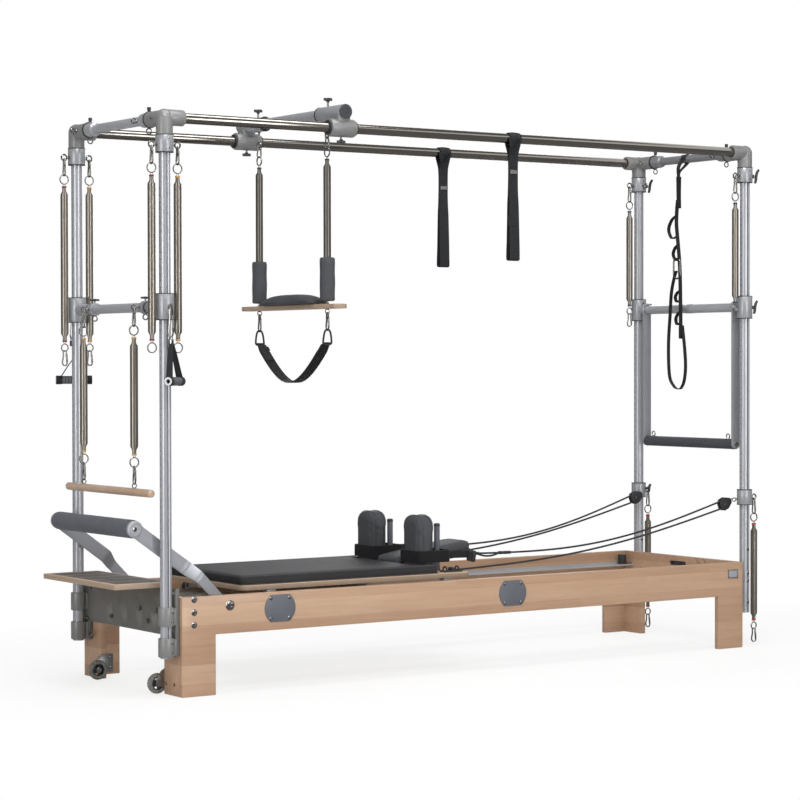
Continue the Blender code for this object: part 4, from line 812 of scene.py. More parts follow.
def steady(path: np.ndarray, closed: bool, first: Optional[Vector] = None) -> tuple[np.ndarray, ...]:
    """Directions along a path, and two across it that don't twist.

    Args:
        path: The points, one row each.
        closed: Whether the last point leads back to the first.
        first: A direction that the first crossing one leans to.

    Returns:
        Directions along, across and square to both, one row for each point.
    """
    ahead = np.roll(path, -1, 0) - path
    behind = path - np.roll(path, 1, 0)
    if not closed:
        ahead[-1] = behind[-1]
        behind[0] = ahead[0]
    unit = ahead / np.maximum(np.linalg.norm(ahead, axis=1), 1e-9)[:, None]
    unit += behind / np.maximum(np.linalg.norm(behind, axis=1), 1e-9)[:, None]
    along = unit / np.maximum(np.linalg.norm(unit, axis=1), 1e-9)[:, None]
    across = np.zeros_like(along)
    guess = np.array(first if first is not None else (0.31, 0.17, 0.93), float)
    for i, t in enumerate(along):
        guess = guess - t * (guess @ t)
        if np.linalg.norm(guess) < 1e-6:
            guess = np.cross(t, (0.7, 0.1, -0.7))
        guess = guess / np.linalg.norm(guess)
        across[i] = guess
    if closed:
        end = across[-1] - along[0] * (across[-1] @ along[0])
        end /= np.linalg.norm(end)
        square = np.cross(along[0], across[0])
        twist = math.atan2(end @ square, end @ across[0])
        for i in range(len(path)):
            turn = -twist * i / len(path)
            square = np.cross(along[i], across[i])
            across[i] = across[i] * math.cos(turn) + square * math.sin(turn)
    return along, across, np.cross(along, across)


def smooth_path(points: Sequence[Point], steps: int = 6, closed: bool = False) -> np.ndarray:
    """A curve through the points.

    Args:
        points: What it passes through.
        steps: Points made for each stretch.
        closed: Whether it ends where it starts.

    Returns:
        The finer points, one row each.
    """
    given = [np.array(p, float) for p in points]
    count = len(given)
    made = []
    for i in range(count if closed else count - 1):
        a = given[(i - 1) % count] if closed or i > 0 else 2 * given[0] - given[1]
        b, c = given[i], given[(i + 1) % count]
        d = given[(i + 2) % count] if closed or i + 2 < count else 2 * c - b
        for k in range(steps):
            t = k / steps
            made.append(
                0.5 * (2 * b + (c - a) * t + (2 * a - 5 * b + 4 * c - d) * t * t
                       + (3 * b - a - 3 * c + d) * t ** 3)
            )
    if not closed:
        made.append(given[-1])
    return np.array(made)


def ring_path(centre: Point, normal: Point, radius: float, stretch: float = 0.0,
              steps: int = 20) -> np.ndarray:
    """A round or oval loop whose long way is upright.

    Args:
        centre: Its middle.
        normal: The direction that it faces.
        radius: Of its round parts.
        stretch: How much longer than wide it is.
        steps: Points round it.

    Returns:
        The points, one row each.
    """
    centre, normal = Vector(centre), Vector(normal).normalized()
    upright = Vector((0, 0, 1)) if abs(normal.z) < 0.9 else Vector((1, 0, 0))
    wide = normal.cross(upright).normalized()
    tall = wide.cross(normal).normalized()
    points = []
    for i in range(steps):
        angle = math.tau * (i + 0.5) / steps
        lift = math.copysign(stretch / 2, math.sin(angle))
        points.append(centre + wide * radius * math.cos(angle) + tall * (radius * math.sin(angle) + lift))
    return np.array([tuple(p) for p in points])


class Form:
    """A mesh in the making, with a finish for each part of it."""

    def __init__(self) -> None:
        """Start with nothing."""
        self.points: list[tuple[float, float, float]] = []
        self.faces: list[tuple[int, ...]] = []
        self.kinds: list[int] = []
        self.lay: list[tuple[float, float]] = []
        self.finishes: list[Finish] = []

    def kind(self, finish: Finish) -> int:
        """The number of a finish in this form, which is added if it is new."""
        if finish not in self.finishes:
            self.finishes.append(finish)
        return self.finishes.index(finish)

    def loft(
        self, rows: np.ndarray, finish: Finish, looped: bool = False, caps: bool = True,
        girth: float = 0.1, lengths: Optional[np.ndarray] = None,
    ) -> "Form":
        """Join rows of points, each a loop, into a skin.

        Args:
            rows: Points as rows × points in a row × 3.
            finish: What it is covered with.
            looped: Whether the last row joins the first.
            caps: Whether the first and last rows are closed with a face.
            girth: Distance round a row, for the weave.
            lengths: Distance along, one more than there are spans where it is looped.

        Returns:
            The form, to go on with.
        """
        count, around = rows.shape[:2]
        base, kind = len(self.points), self.kind(finish)
        self.points.extend(map(tuple, rows.reshape(-1, 3).tolist()))
        if lengths is None:
            lengths = np.arange(count + 1) * 0.01
        spans = count if looped else count - 1
        step = girth / around
        for k in range(spans):
            a, b = base + k * around, base + ((k + 1) % count) * around
            v0, v1 = float(lengths[k]), float(lengths[k + 1])
            for i in range(around):
                j = (i + 1) % around
                self.faces.append((a + i, a + j, b + j, b + i))
                self.kinds.append(kind)
                self.lay += [(i * step, v0), ((i + 1) * step, v0), ((i + 1) * step, v1), (i * step, v1)]
        if caps and not looped:
            for start, turn in ((base, -1), (base + (count - 1) * around, 1)):
                self.faces.append(tuple(range(start, start + around))[::turn])
                self.kinds.append(kind)
                self.lay += [(0.0, 0.0)] * around
        return self

    def lathe(
        self, start: Point, end: Point, profile: Sequence[tuple[float, float]], finish: Finish,
        sides: int = 32, looped: bool = False,
    ) -> "Form":
        """Turn a profile round the line from start to end.

        Args:
            start, end: The axis.
            profile: Distance from start and radius at each step.
            finish: What it is covered with.
            sides: Points round it.
            looped: Whether the profile closes on itself, for a ring with a hole.

        Returns:
            The form.
        """
        origin, along = Vector(start), (Vector(end) - Vector(start)).normalized()
        helper = Vector((0, 0, 1)) if abs(along.z) < 0.9 else Vector((0, 1, 0))
        u = along.cross(helper).normalized()
        v = along.cross(u)
        angles = np.arange(sides) * math.tau / sides
        circle = np.outer(np.cos(angles), u) + np.outer(np.sin(angles), v)
        rows = np.array([
            np.array(origin + along * d)[None, :] + circle * max(r, 0.00005) for d, r in profile
        ])
        girth = math.tau * max(r for _, r in profile)
        lengths = np.array([d for d, _ in profile] + [profile[0][0]])
        return self.loft(rows, finish, looped, True, girth, lengths)

    def bar(
        self, start: Point, end: Point, radius: float, finish: Finish, edge: float = 0.001, sides: int = 32
    ) -> "Form":
        """A round bar with eased ends.

        Args:
            start, end: Middles of its two ends.
            radius: Of the bar.
            finish: Its finish.
            edge: How far each end is eased.
            sides: Points round it.

        Returns:
            This form.
        """
        length = (Vector(end) - Vector(start)).length
        edge = min(edge, radius * 0.9, length * 0.45)
        soft = [(edge * (1 - math.cos(a)), radius - edge * (1 - math.sin(a))) for a in (0, 0.5, 1.0, 1.5708)]
        profile = soft + [(length - d, r) for d, r in reversed(soft)]
        return self.lathe(start, end, profile, finish, sides)

    def sleeve(
        self, start: Point, end: Point, radius: float, bore: float, finish: Finish, edge: float = 0.001,
        sides: int = 40,
    ) -> "Form":
        """A round tube or collar with eased edges and an open bore.

        Args:
            start, end: Middles of its two ends.
            radius: Its outside.
            bore: Its inside.
            finish: Its finish.
            edge: How far each end is eased.
            sides: Points round it.

        Returns:
            This form.
        """
        length = (Vector(end) - Vector(start)).length
        edge = min(edge, (radius - bore) * 0.45, length * 0.45)
        profile = [
            (edge, radius), (length - edge, radius), (length - edge * 0.3, radius - edge * 0.3),
            (length, radius - edge), (length, bore + edge * 0.4), (length - edge * 0.4, bore),
            (edge * 0.4, bore), (0, bore + edge * 0.4), (0, radius - edge), (edge * 0.3, radius - edge * 0.3),
        ]
        return self.lathe(start, end, profile, finish, sides, True)

    def pipe(
        self, path: Sequence[Point], radius: Union[float, Sequence[float]], finish: Finish, sides: int = 10,
        closed: bool = False,
    ) -> "Form":
        """A round wire, rope or tube along a path.

        Args:
            path: Its middle line.
            radius: One for all of it, or one for each point.
            finish: Its finish.
            sides: Points round it.
            closed: Whether its ends meet.

        Returns:
            This form.
        """
        line = np.array([tuple(p) for p in path], float)
        _, u, v = steady(line, closed)
        angles = np.arange(sides) * math.tau / sides
        size = np.broadcast_to(np.array(radius, float), (len(line),))
        rows = line[:, None, :] + size[:, None, None] * (
            u[:, None, :] * np.cos(angles)[None, :, None] + v[:, None, :] * np.sin(angles)[None, :, None]
        )
        hops = np.linalg.norm(np.roll(line, -1, 0) - line, axis=1)
        lengths = np.concatenate([[0], np.cumsum(hops)])
        return self.loft(rows, finish, closed, True, math.tau * float(size.max()), lengths)

    def band(
        self, path: Sequence[Point], side: Union[Point, np.ndarray], width: Union[float, np.ndarray],
        thickness: float, finish: Finish, closed: bool = False,
    ) -> "Form":
        """A flat strap with rounded edges along a path.

        Args:
            path: The strap's middle.
            side: The direction of its width, one for all or one for each point.
            width, thickness: Its section.
            finish: What it is woven from.
            closed: Whether it is a loop.

        Returns:
            The form.
        """
        line = np.array([tuple(p) for p in path], float)
        along = steady(line, closed)[0]
        side = np.broadcast_to(np.array(side, float), line.shape).copy()
        side -= along * (side * along).sum(1)[:, None]
        side /= np.linalg.norm(side, axis=1)[:, None]
        out = np.cross(along, side)
        half = np.broadcast_to(np.array(width, float), (len(line),)) / 2
        t = thickness / 2
        across = np.array([-1, -1, -0.5, 0, 0.5, 1, 1, 1, 0.5, 0, -0.5, -1.0])
        inset = np.array([0.0, 0.45, 0, 0, 0, 0.45, 0.0, 0.45, 0, 0, 0, 0.45])
        height = np.array([0.0, 0.92, 1, 1, 1, 0.92, 0.0, -0.92, -1, -1, -1, -0.92]) * t
        reach = across[None, :] * half[:, None] - np.sign(across)[None, :] * inset[None, :] * t
        rows = (
            line[:, None, :] + side[:, None, :] * reach[:, :, None] + out[:, None, :] * height[None, :, None]
        )
        hops = np.linalg.norm(np.roll(line, -1, 0) - line, axis=1)
        lengths = np.concatenate([[0], np.cumsum(hops)])
        return self.loft(rows, finish, closed, True, float(half.max()) * 4, lengths)

    def take(self, shape: bmesh.types.BMesh, finish: Finish) -> "Form":
        """Add a finished shape, and free it.

        Args:
            shape: The shape.
            finish: Its finish.

        Returns:
            This form.
        """
        base, kind = len(self.points), self.kind(finish)
        shape.verts.index_update()
        self.points.extend(tuple(v.co) for v in shape.verts)
        for face in shape.faces:
            self.faces.append(tuple(base + v.index for v in face.verts))
            self.kinds.append(kind)
            self.lay += [(v.co.x + v.co.y, v.co.z + v.co.y) for v in face.verts]
        shape.free()
        return self

    def plate(
        self, outline: Sequence[tuple[float, float]], axis: Axis, start: float, end: float, finish: Finish,
        edge: float = 0.002, steps: int = 2,
    ) -> "Form":
        """An outline pushed along an axis, with rounded edges.

        Args:
            outline: Corners in the plane, in the order that Axis names.
            axis: The direction of its thickness.
            start, end: Where it lies along that.
            finish: What it is covered with.
            edge: Radius of its edges.
            steps: Faces in each rounded edge.

        Returns:
            The form.
        """
        shape = bmesh.new()
        first, second, push = axis.value
        loops = []
        for level in (start, end):
            loop = []
            for a, b in outline:
                place = [0.0, 0.0, 0.0]
                place[first], place[second], place[push] = a, b, level
                loop.append(shape.verts.new(place))
            loops.append(loop)
        shape.faces.new(loops[0])
        shape.faces.new(loops[1][::-1])
        count = len(outline)
        for i in range(count):
            j = (i + 1) % count
            shape.faces.new((loops[0][i], loops[0][j], loops[1][j], loops[1][i]))
        bmesh.ops.recalc_face_normals(shape, faces=shape.faces)
        if edge:
            sharp = [e for e in shape.edges if e.calc_face_angle(0) > math.radians(24)]
            bmesh.ops.bevel(
                shape, geom=sharp, offset=edge, offset_type="OFFSET", segments=steps, profile=0.5,
                affect="EDGES", clamp_overlap=True,
            )
        return self.take(shape, finish)

    def block(
        self, low: Point, high: Point, finish: Finish, edge: float = 0.002, steps: int = 2
    ) -> "Form":
        """A rounded block between two corners."""
        (x0, y0, z0), (x1, y1, z1) = low, high
        outline = [(x0, y0), (x1, y0), (x1, y1), (x0, y1)]
        return self.plate(outline, Axis.Z, z0, z1, finish, edge, steps)

    def eyebolt(
        self, centre: Point, base: Point, normal: Point, radius: float = 0.0110, wire: float = 0.0034,
        nut: bool = True,
    ) -> "Form":
        """An eyebolt: a forged ring on a shank, with a washer and a nut where it meets its base.

        Args:
            centre: Middle of the ring.
            base: Where its shank ends.
            normal: The direction that the ring faces.
            radius: Of the ring's middle line.
            wire: Radius of its wire.
            nut: Whether a nut shows.

        Returns:
            The form.
        """
        centre, base = Vector(centre), Vector(base)
        back = (base - centre).normalized()
        self.pipe(ring_path(centre, normal, radius), wire, ZINC, 10, True)
        self.bar(centre + back * (radius + wire * 0.2), base, wire * 1.05, ZINC, 0.0004, 14)
        if nut:
            foot = base - back * 0.0045
            self.bar(foot, base, wire * 2.1, ZINC, 0.0005, 6)
            self.bar(base - back * 0.0008, base + back * 0.0004, wire * 2.7, ZINC, 0.0002, 20)
        return self

    def snap(self, x: float, y: float, upper: float, lower: float, normal: Point) -> "Form":
        """A snap hook that hangs with its narrow eye up and its wide bow down.

        Args:
            x, y: Where it hangs.
            upper, lower: Inside ends of its loop.
            normal: The direction that its flat side faces.

        Returns:
            The form.
        """
        face = Vector(normal).normalized()
        wide = face.cross(Vector((0, 0, 1))).normalized()
        wire = 0.0030
        length = upper - lower
        shape = [
            (0.0, 1.0), (0.0048, 0.965), (0.0060, 0.88), (0.0058, 0.62), (0.0084, 0.30), (0.0086, 0.14),
            (0.0050, 0.02), (0.0, 0.0), (-0.0050, 0.02), (-0.0088, 0.14), (-0.0088, 0.30), (-0.0058, 0.62),
            (-0.0060, 0.88), (-0.0048, 0.965),
        ]
        path = [Vector((x, y, lower + length * t)) + wide * w for w, t in shape]
        self.pipe(smooth_path(path, 4, True), wire, ZINC, 10, True)
        gate = [Vector((x, y, lower + length * t)) + wide * w for w, t in ((0.0066, 0.74), (0.0086, 0.2))]
        self.bar(gate[0], gate[1], wire * 1.28, ZINC, 0.0005, 12)
        pin = gate[0] + face * wire * 1.4
        self.bar(gate[0] - face * wire * 1.4, pin, wire * 0.8, ZINC, 0.0003, 10)
        return self

    def winding(
        self, x: float, y: float, top: float, low: float, radius: float, finish: Finish = SPRING,
        wire: float = 0.00125, steps: int = 14, neck: float = 0.0078, taper: float = 0.030,
        throat: float = 0.014,
    ) -> "Form":
        """A close-wound spring whose ends draw in to narrow necks, every turn of it.

        Args:
            x, y: Its axis.
            top, low: Its two ends.
            radius: Outside radius of its body.
            finish: The wire's finish.
            wire: Radius of the wire.
            steps: Points in each turn.
            neck: Outside radius of its ends.
            taper: Length over which each end draws in.
            throat: Length of each narrow end.

        Returns:
            The form.
        """
        length = top - low
        pitch = 2.04 * wire
        turns = int(length / pitch)
        t = np.arange(turns * steps + 1) / (turns * steps)
        from_end = np.minimum(t, 1 - t) * length
        share = np.clip((from_end - throat) / (taper - throat), 0, 1)
        share = share * share * (3 - 2 * share)
        size = (neck + (radius - neck) * share) - wire
        angle = t * turns * math.tau
        path = np.stack([x + size * np.cos(angle), y + size * np.sin(angle), top - t * length], axis=1)
        out = np.stack([np.cos(angle), np.sin(angle), np.zeros_like(angle)], axis=1)
        up = np.array([0, 0, 1.0])
        section = np.array([(1, -0.70), (1, 0.70), (0.62, 1), (-0.62, 1), (-1, 0.70), (-1, -0.70),
                            (-0.62, -1), (0.62, -1)])
        outward = out[:, None, :] * section[None, :, :1]
        rows = path[:, None, :] + wire * (outward + up * 1.02 * section[None, :, 1:])
        return self.loft(rows, finish)

    def graft(self, other: "Form", move: Callable[[Point], Point]) -> "Form":
        """Take over another form.

        Args:
            other: The form.
            move: Gives each of its points a new place.

        Returns:
            This form.
        """
        base, kinds = len(self.points), [self.kind(finish) for finish in other.finishes]
        self.points += [tuple(move(point)) for point in other.points]
        self.faces += [tuple(base + i for i in face) for face in other.faces]
        self.kinds += [kinds[k] for k in other.kinds]
        self.lay += other.lay
        return self

    def make(
        self, name: str, body: str, *nodes: str, sharp: float = 34.0, slot: Optional[str] = None
    ) -> bpy.types.Object:
        """Turn the form into a piece.

        Args:
            name: The piece's name.
            body: The body that it rides on.
            nodes: CAD nodes that it stands for.
            sharp: Angle in degrees over which an edge stays crisp.
            slot: The record's slot, where it isn't its first finish's.

        Returns:
            The piece.
        """
        mesh = bpy.data.meshes.new(name)
        mesh.from_pydata(self.points, [], self.faces)
        layer = mesh.uv_layers.new(name="lay")
        layer.data.foreach_set("uv", np.array(self.lay, np.float32).ravel())
        mesh.polygons.foreach_set("material_index", self.kinds)
        for finish in self.finishes:
            mesh.materials.append(finish.material())
        shape = bmesh.new()
        shape.from_mesh(mesh)
        bmesh.ops.recalc_face_normals(shape, faces=shape.faces)
        shape.to_mesh(mesh)
        shape.free()
        mesh.shade_smooth()
        mesh.set_sharp_from_angle(angle=math.radians(sharp))
        piece = bpy.data.objects.new(name, mesh)
        bpy.context.collection.objects.link(piece)
        settle(piece, body, self.finishes[0] if slot is None else slot, *nodes)
        log.info("%s: %d faces on %s", name, len(mesh.polygons), body)
        return piece


def settle(piece: bpy.types.Object, body: str, finish: Union[Finish, str], *nodes: str) -> None:
    """Put a piece on its body, and hide the CAD nodes that it stands for.

    Args:
        piece: The piece.
        body: The body that it rides on.
        finish: Its finish, or the name of the record's slot; not used.
        nodes: CAD nodes that it stands for.
    """
    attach(piece, body)
    finish if isinstance(finish, str) else finish.slot
    if nodes:
        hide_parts(*nodes)


def offset(point: Point, x: float = 0.0, y: float = 0.0, z: float = 0.0) -> Vector:
    """A point moved by the given distances."""
    return Vector(point) + Vector((x, y, z))


def rounded_outline(x0: float, x1: float, half: float, corner: float,
                    points: int = 7) -> list[tuple[float, float]]:
    """A level board's outline with rounded corners.

    Args:
        x0, x1: The board's two ends.
        half: Half its width.
        corner: Radius of its corners.
        points: Points on each corner.

    Returns:
        X and Y of each point.
    """
    outline = []
    for cx, cy, start in ((x1, half, 0), (x0, half, 90), (x0, -half, 180), (x1, -half, 270)):
        sx, sy = (1 if cx == x1 else -1), (1 if cy > 0 else -1)
        for i in range(points):
            angle = math.radians(start + 90 / (points - 1) * i)
            outline.append((cx - sx * corner + corner * math.cos(angle),
                            cy - sy * corner + corner * math.sin(angle)))
    return outline


def filled(path: Sequence[Any], step: float, least: int = 1, closed: bool = True) -> list[Any]:
    """A path with more points on its straight runs.

    Args:
        path: Its corners.
        step: About how far apart the points end.
        least: Fewest parts of a run.
        closed: Whether the last corner joins the first.

    Returns:
        The corners and the points between them.
    """
    fine = []
    for a, b in zip(path, [*path[1:], path[0]] if closed else path[1:]):
        hops = max(least, int(math.dist(a, b) / step))
        fine += [tuple(p + (q - p) * k / hops for p, q in zip(a, b)) for k in range(hops)]
    return fine if closed else [*fine, path[-1]]


# The woodwork


@dataclass
class WoodFrame:
    """The beech frame: two sides and two ends with L-shaped legs, its bolts and its bare plates."""

    length: float = 2.69
    foot_leg: float = 0.14
    head_leg: float = 0.135
    leg_return: float = 0.11
    gap: float = 0.0003
    edge: float = 0.003
    dome: float = 0.0108
    badge_places: tuple[tuple[float, float], ...] = ((0.411, 0.300), (1.480, 0.296))
    badge_size: tuple[float, float] = (0.133, 0.100)
    bolt_heights: tuple[float, ...] = (0.351, 0.304, 0.259)

    def build(self) -> None:
        """Make the boards, then what is fixed to them."""
        for side in Side:
            self.side_panel(side)
        self.end_panels()
        self.bolts()
        self.plates()

    def side_panel(self, side: Side) -> None:
        """One long side with its two legs.

        Args:
            side: Which one.
        """
        x, low = PLACE.x, PLACE.rail_low
        outline = [
            (x(0), 0.0), (x(self.foot_leg), 0.0), (x(self.foot_leg), low),
            (x(self.length - self.head_leg), low), (x(self.length - self.head_leg), 0.0),
            (x(self.length), 0.0), (x(self.length), PLACE.frame_top), (x(0), PLACE.frame_top),
        ]
        inner, outer = sorted((side.value * PLACE.inner, side.value * PLACE.half))
        form = Form().plate(outline, Axis.Y, inner, outer, BEECH, self.edge, 3)
        form.make(f"beech_side_{side.label}", "frame", f"side_panel_{side.label}")

    def end_panels(self) -> None:
        """The two ends between the sides; the head end has a slot, and a pair of slanted grooves shown as
        strips of darker beech that paint the grooves' shade.
        """
        reach = PLACE.inner - self.gap
        step = reach - self.leg_return
        low, top = PLACE.rail_low, PLACE.frame_top
        outline = [
            (-reach, 0.0), (-step, 0.0), (-step, low), (step, low), (step, 0.0), (reach, 0.0),
            (reach, top), (-reach, top),
        ]
        start = PLACE.x(0)
        form = Form().plate(outline, Axis.X, start, start + PLACE.board, BEECH_END, self.edge, 3)
        form.make("beech_foot_end", "frame", "foot_end_panel")
        end = PLACE.x(self.length)
        slot_z, slot_half, slot_tall = 0.329, 0.05, 0.0075
        lower = outline[:6] + [(reach, slot_z - slot_tall), (-reach, slot_z - slot_tall)]
        upper = [(-reach, slot_z + slot_tall), (reach, slot_z + slot_tall), (reach, top), (-reach, top)]
        form = Form()
        thick = (end - PLACE.board, end)
        form.plate(lower, Axis.X, *thick, BEECH_END, 0.0)
        form.plate(upper, Axis.X, *thick, BEECH_END, 0.0)
        for s in (-1, 1):
            y0, y1 = sorted((s * slot_half, s * reach))
            middle = [(y0, slot_z - slot_tall), (y1, slot_z - slot_tall), (y1, slot_z + slot_tall),
                      (y0, slot_z + slot_tall)]
            form.plate(middle, Axis.X, *thick, BEECH_END, 0.0)
        form.make("beech_head_end", "frame", "head_end_panel")
        inside = end - PLACE.board
        trim = Form()
        frame_path = ring_path((inside - 0.0006, 0, slot_z), (1, 0, 0), 0.0085, 0.0, 24)
        stretched = [(p[0], p[1] + math.copysign(0.0425, p[1]), p[2]) for p in frame_path]
        trim.pipe(stretched, 0.0014, PLASTIC, 8, True)
        # The grooves are flat strips of darker beech: painted shade, not hollows.
        for k in (0, 1):
            y = -0.115 - 0.05 * k
            groove = [(inside - 0.0002, y, 0.358), (inside - 0.0002, y - 0.045, 0.316)]
            trim.band(groove, (0, 1, 0.4), 0.006, 0.0012, GROOVE_SHADE_BEECH)
        for z0, z1 in ((slot_z - slot_tall + 0.0003, slot_z - 0.0002),
                       (slot_z + 0.0002, slot_z + slot_tall - 0.0003)):
            trim.block((inside + 0.005, -slot_half + 0.0003, z0), (inside + 0.008, slot_half - 0.0003, z1),
                       RUBBER, 0.0004)
        trim.make("head_slot_trim", "frame")
        for side in Side:
            x, y, low = inside - 0.040, side.value * 0.330, 0.3052
            stop = Form().bar((x, y, low), (x, y, 0.3480), 0.0180, RUBBER, 0.0024, 40)
            stop.sleeve((x, y, low), (x, y, 0.3085), 0.0205, 0.0160, PLASTIC, 0.0008)
            stop.bar((x, y, 0.3478), (x, y, 0.3496), 0.0062, ZINC, 0.0007, 6)
            stop.block((inside - 0.026, y - 0.017, low), (inside - 0.0004, y + 0.017, 0.3130), ALLOY,
                       0.0012)
            stop.make(f"track_bumper_{side.label}", "frame")

    def dome_bolt(self, form: Form, at: Point, out: Point, radius: float) -> None:
        """A domed connector bolt on a washer, with a hexagon socket.

        Args:
            form: Where it is added.
            at: Middle of its foot.
            out: The direction that it faces.
            radius: Of its head.
        """
        foot, out_way = Vector(at), Vector(out).normalized()
        steps = [(radius * 0.42 * math.sin(a), radius * math.cos(a)) for a in (0, 0.4, 0.8, 1.1)]
        socket = [(radius * 0.42, radius * 0.38), (radius * 0.22, radius * 0.34)]
        profile = [(0.0, radius)] + steps[1:] + socket
        form.lathe(foot, foot + out_way, profile, ZINC, 28)
        form.sleeve(foot - out_way * 0.0004, foot + out_way * 0.0006, radius * 1.12, radius * 0.8, ZINC,
                    0.0002)

    def bolts(self) -> None:
        """Dome bolts through the frame's corners and the legs."""
        form = Form()
        for side in Side:
            face = side.value * PLACE.half
            for height in self.bolt_heights:
                self.dome_bolt(form, (PLACE.x(0.050), face, height), (0, side.value, 0), self.dome)
            self.dome_bolt(form, (PLACE.x(0.199), face, 0.322), (0, side.value, 0), self.dome * 1.55)
            for y in (0.269, 0.329):
                self.dome_bolt(form, (PLACE.x(0), side.value * y, 0.041), (-1, 0, 0), 0.0058)
        form.make("frame_bolts", "frame")

    def plates(self) -> None:
        """Two bare plates with arched ends and four screws each, and a small bare one."""
        face = -PLACE.half
        form = Form()
        wide, tall = self.badge_size
        for along, z in self.badge_places:
            x = PLACE.x(along)
            outline = []
            for turn in (1, -1):
                for i in range(9):
                    angle = math.radians(-40 + 10 * i)
                    bow = (math.cos(angle) - math.cos(math.radians(40))) * 0.11
                    rise = tall / 2 * math.sin(angle) / math.sin(math.radians(40))
                    outline.append((x + turn * (wide / 2 - 0.0257 + bow), z + turn * rise))
            form.plate(outline, Axis.Y, face - 0.0028, face + 0.0002, SLATE, 0.0008)
            for dx in (-1, 1):
                for dz in (-1, 1):
                    place = (x + dx * wide * 0.30, face - 0.0026, z + dz * tall * 0.375)
                    self.dome_bolt(form, place, (0, -1, 0), 0.0064)
        form.make("bare_side_plates", "frame")
        x, z = PLACE.x(2.634), 0.312
        small = Form().block((x - 0.0275, face - 0.0022, z - 0.018), (x + 0.0275, face + 0.0002, z + 0.018),
                             ALLOY, 0.0006)
        small.block((x - 0.0235, face - 0.0026, z - 0.014), (x + 0.0235, face - 0.0018, z + 0.014),
                    NAME_PLATE, 0.0003)
        small.make("bare_end_plate", "frame", slot="aluminium")


@dataclass
class EndCasting:
    """The ribbed dark plate at the foot end, with its post clamps and fixings."""

    thickness: float = 0.016
    low: float = 0.218
    top: float = 0.392
    clamp_low: float = 0.147
    clamp_length: float = 0.068
    clamp_step: float = 0.111
    clamp_radius: float = 0.0285
    tab: float = 0.057
    rib_count: int = 5
    rib_sweep: float = 0.145
    rib_step: float = 0.118
    bolt_places: tuple[tuple[float, float], ...] = (
        (0.124, 0.252), (-0.103, 0.301), (-0.165, 0.259), (-0.233, 0.303), (0.322, 0.227), (0.293, 0.166),
    )

    def build(self) -> None:
        """Make the plate, its ribs, bolts and clamps."""
        reach = PLACE.post_y + PLACE.post_radius
        inner = reach - self.tab
        back = PLACE.x(0) - 0.0003
        front = back - self.thickness
        outline = [
            (-reach, self.clamp_low), (-inner, self.clamp_low), (-inner, self.low + 0.012),
            (-inner + 0.012, self.low), (inner - 0.012, self.low), (inner, self.low + 0.012),
            (inner, self.clamp_low), (reach, self.clamp_low), (reach, self.top),
            *[(side * y, self.top - drop) for side, order in ((1, 1), (-1, -1))
              for y, drop in ((0.364, 0.0), (0.364, 0.020), (0.296, 0.020), (0.296, 0.0))[::order]],
            (-reach, self.top),
        ]
        form = Form().plate(outline, Axis.X, front, back, CAST_DARK, 0.003, 3)
        for k in range(self.rib_count):
            centre = (self.rib_count / 2 - k) * self.rib_step - self.rib_step / 4
            far_rim, near_rim = [], []
            for i in range(19):
                angle = math.radians(86 - 80 * i / 18)
                swell_out = 0.5 * (0.050 * (1 - i / 18) + 0.016)
                for rim, sign in ((far_rim, 1), (near_rim, -1)):
                    size = self.rib_sweep + sign * swell_out
                    z = min(self.low + size * math.sin(angle) * 1.12, self.top - 0.003)
                    rim.append((centre - size * math.cos(angle), max(z, self.low + 0.004)))
            rows = []
            for (y0, z0), (y1, z1) in zip(far_rim, near_rim):
                rows.append([(front + face, y0 * (1 - share) + y1 * share, z0 * (1 - share) + z1 * share)
                             for face, share in ((0.004, 0), (-0.0010, 0.16), (-0.0070, 0.50),
                                                 (-0.0150, 0.84), (-0.0145, 0.93), (0.004, 1))])
            form.loft(np.array(rows), CAST_DARK)
        # Dark triangles by the plate's top notches: painted shade of its hollows.
        for side in Side:
            y = side.value * 0.282
            notch = [(y - side.value * 0.034, 0.384), (y + side.value * 0.014, 0.384),
                     (y + side.value * 0.014, 0.338)]
            form.plate(notch, Axis.X, front - 0.0010, front + 0.0016, RUBBER, 0.0005)
        # A dark triangle on the plate's face: painted shade of a hollow.
        form.bar((front - 0.0012, -0.146, 0.365), (front + 0.002, -0.146, 0.365), 0.010, RUBBER, 0.0006, 3)
        for y, z in self.bolt_places:
            form.bar((front - 0.0100, y, z), (front + 0.001, y, z), 0.0066, ZINC, 0.0012, 20)
            form.sleeve((front - 0.0060, y, z), (front, y, z), 0.0094, 0.0055, ZINC, 0.0003)
        for side in Side:
            for k in range(2):
                self.clamp(form, side, self.clamp_low + k * self.clamp_step, front)
        form.make("foot_end_ribbed_plate", "frame", "foot_end_casting")

    def clamp(self, form: Form, side: Side, low: float, front: float) -> None:
        """A split collar round a post, with its flange back to the plate.

        Args:
            form: Where it is added.
            side: Which post.
            low: Its lower end.
            front: The plate's front face.
        """
        x, y = PLACE.foot_x, side.value * PLACE.post_y
        top = low + self.clamp_length
        form.sleeve((x, y, low), (x, y, top), self.clamp_radius, PLACE.post_radius + 0.0003, FITTING, 0.0025)
        half = self.clamp_radius * 0.62
        outline = [(x + 0.0205, y - half), (front + 0.002, y - half - 0.006),
                   (front + 0.002, y + half + 0.006), (x + 0.0205, y + half)]
        form.plate(outline, Axis.Z, low + 0.004, top - 0.004, FITTING, 0.002)
        tip = y + side.value * (self.clamp_radius - 0.001)
        for z in (low + 0.017, top - 0.017):
            form.bar((x + 0.012, tip - side.value * 0.004, z), (x + 0.012, tip + side.value * 0.0025, z),
                     0.0042, ZINC, 0.0008, 16)


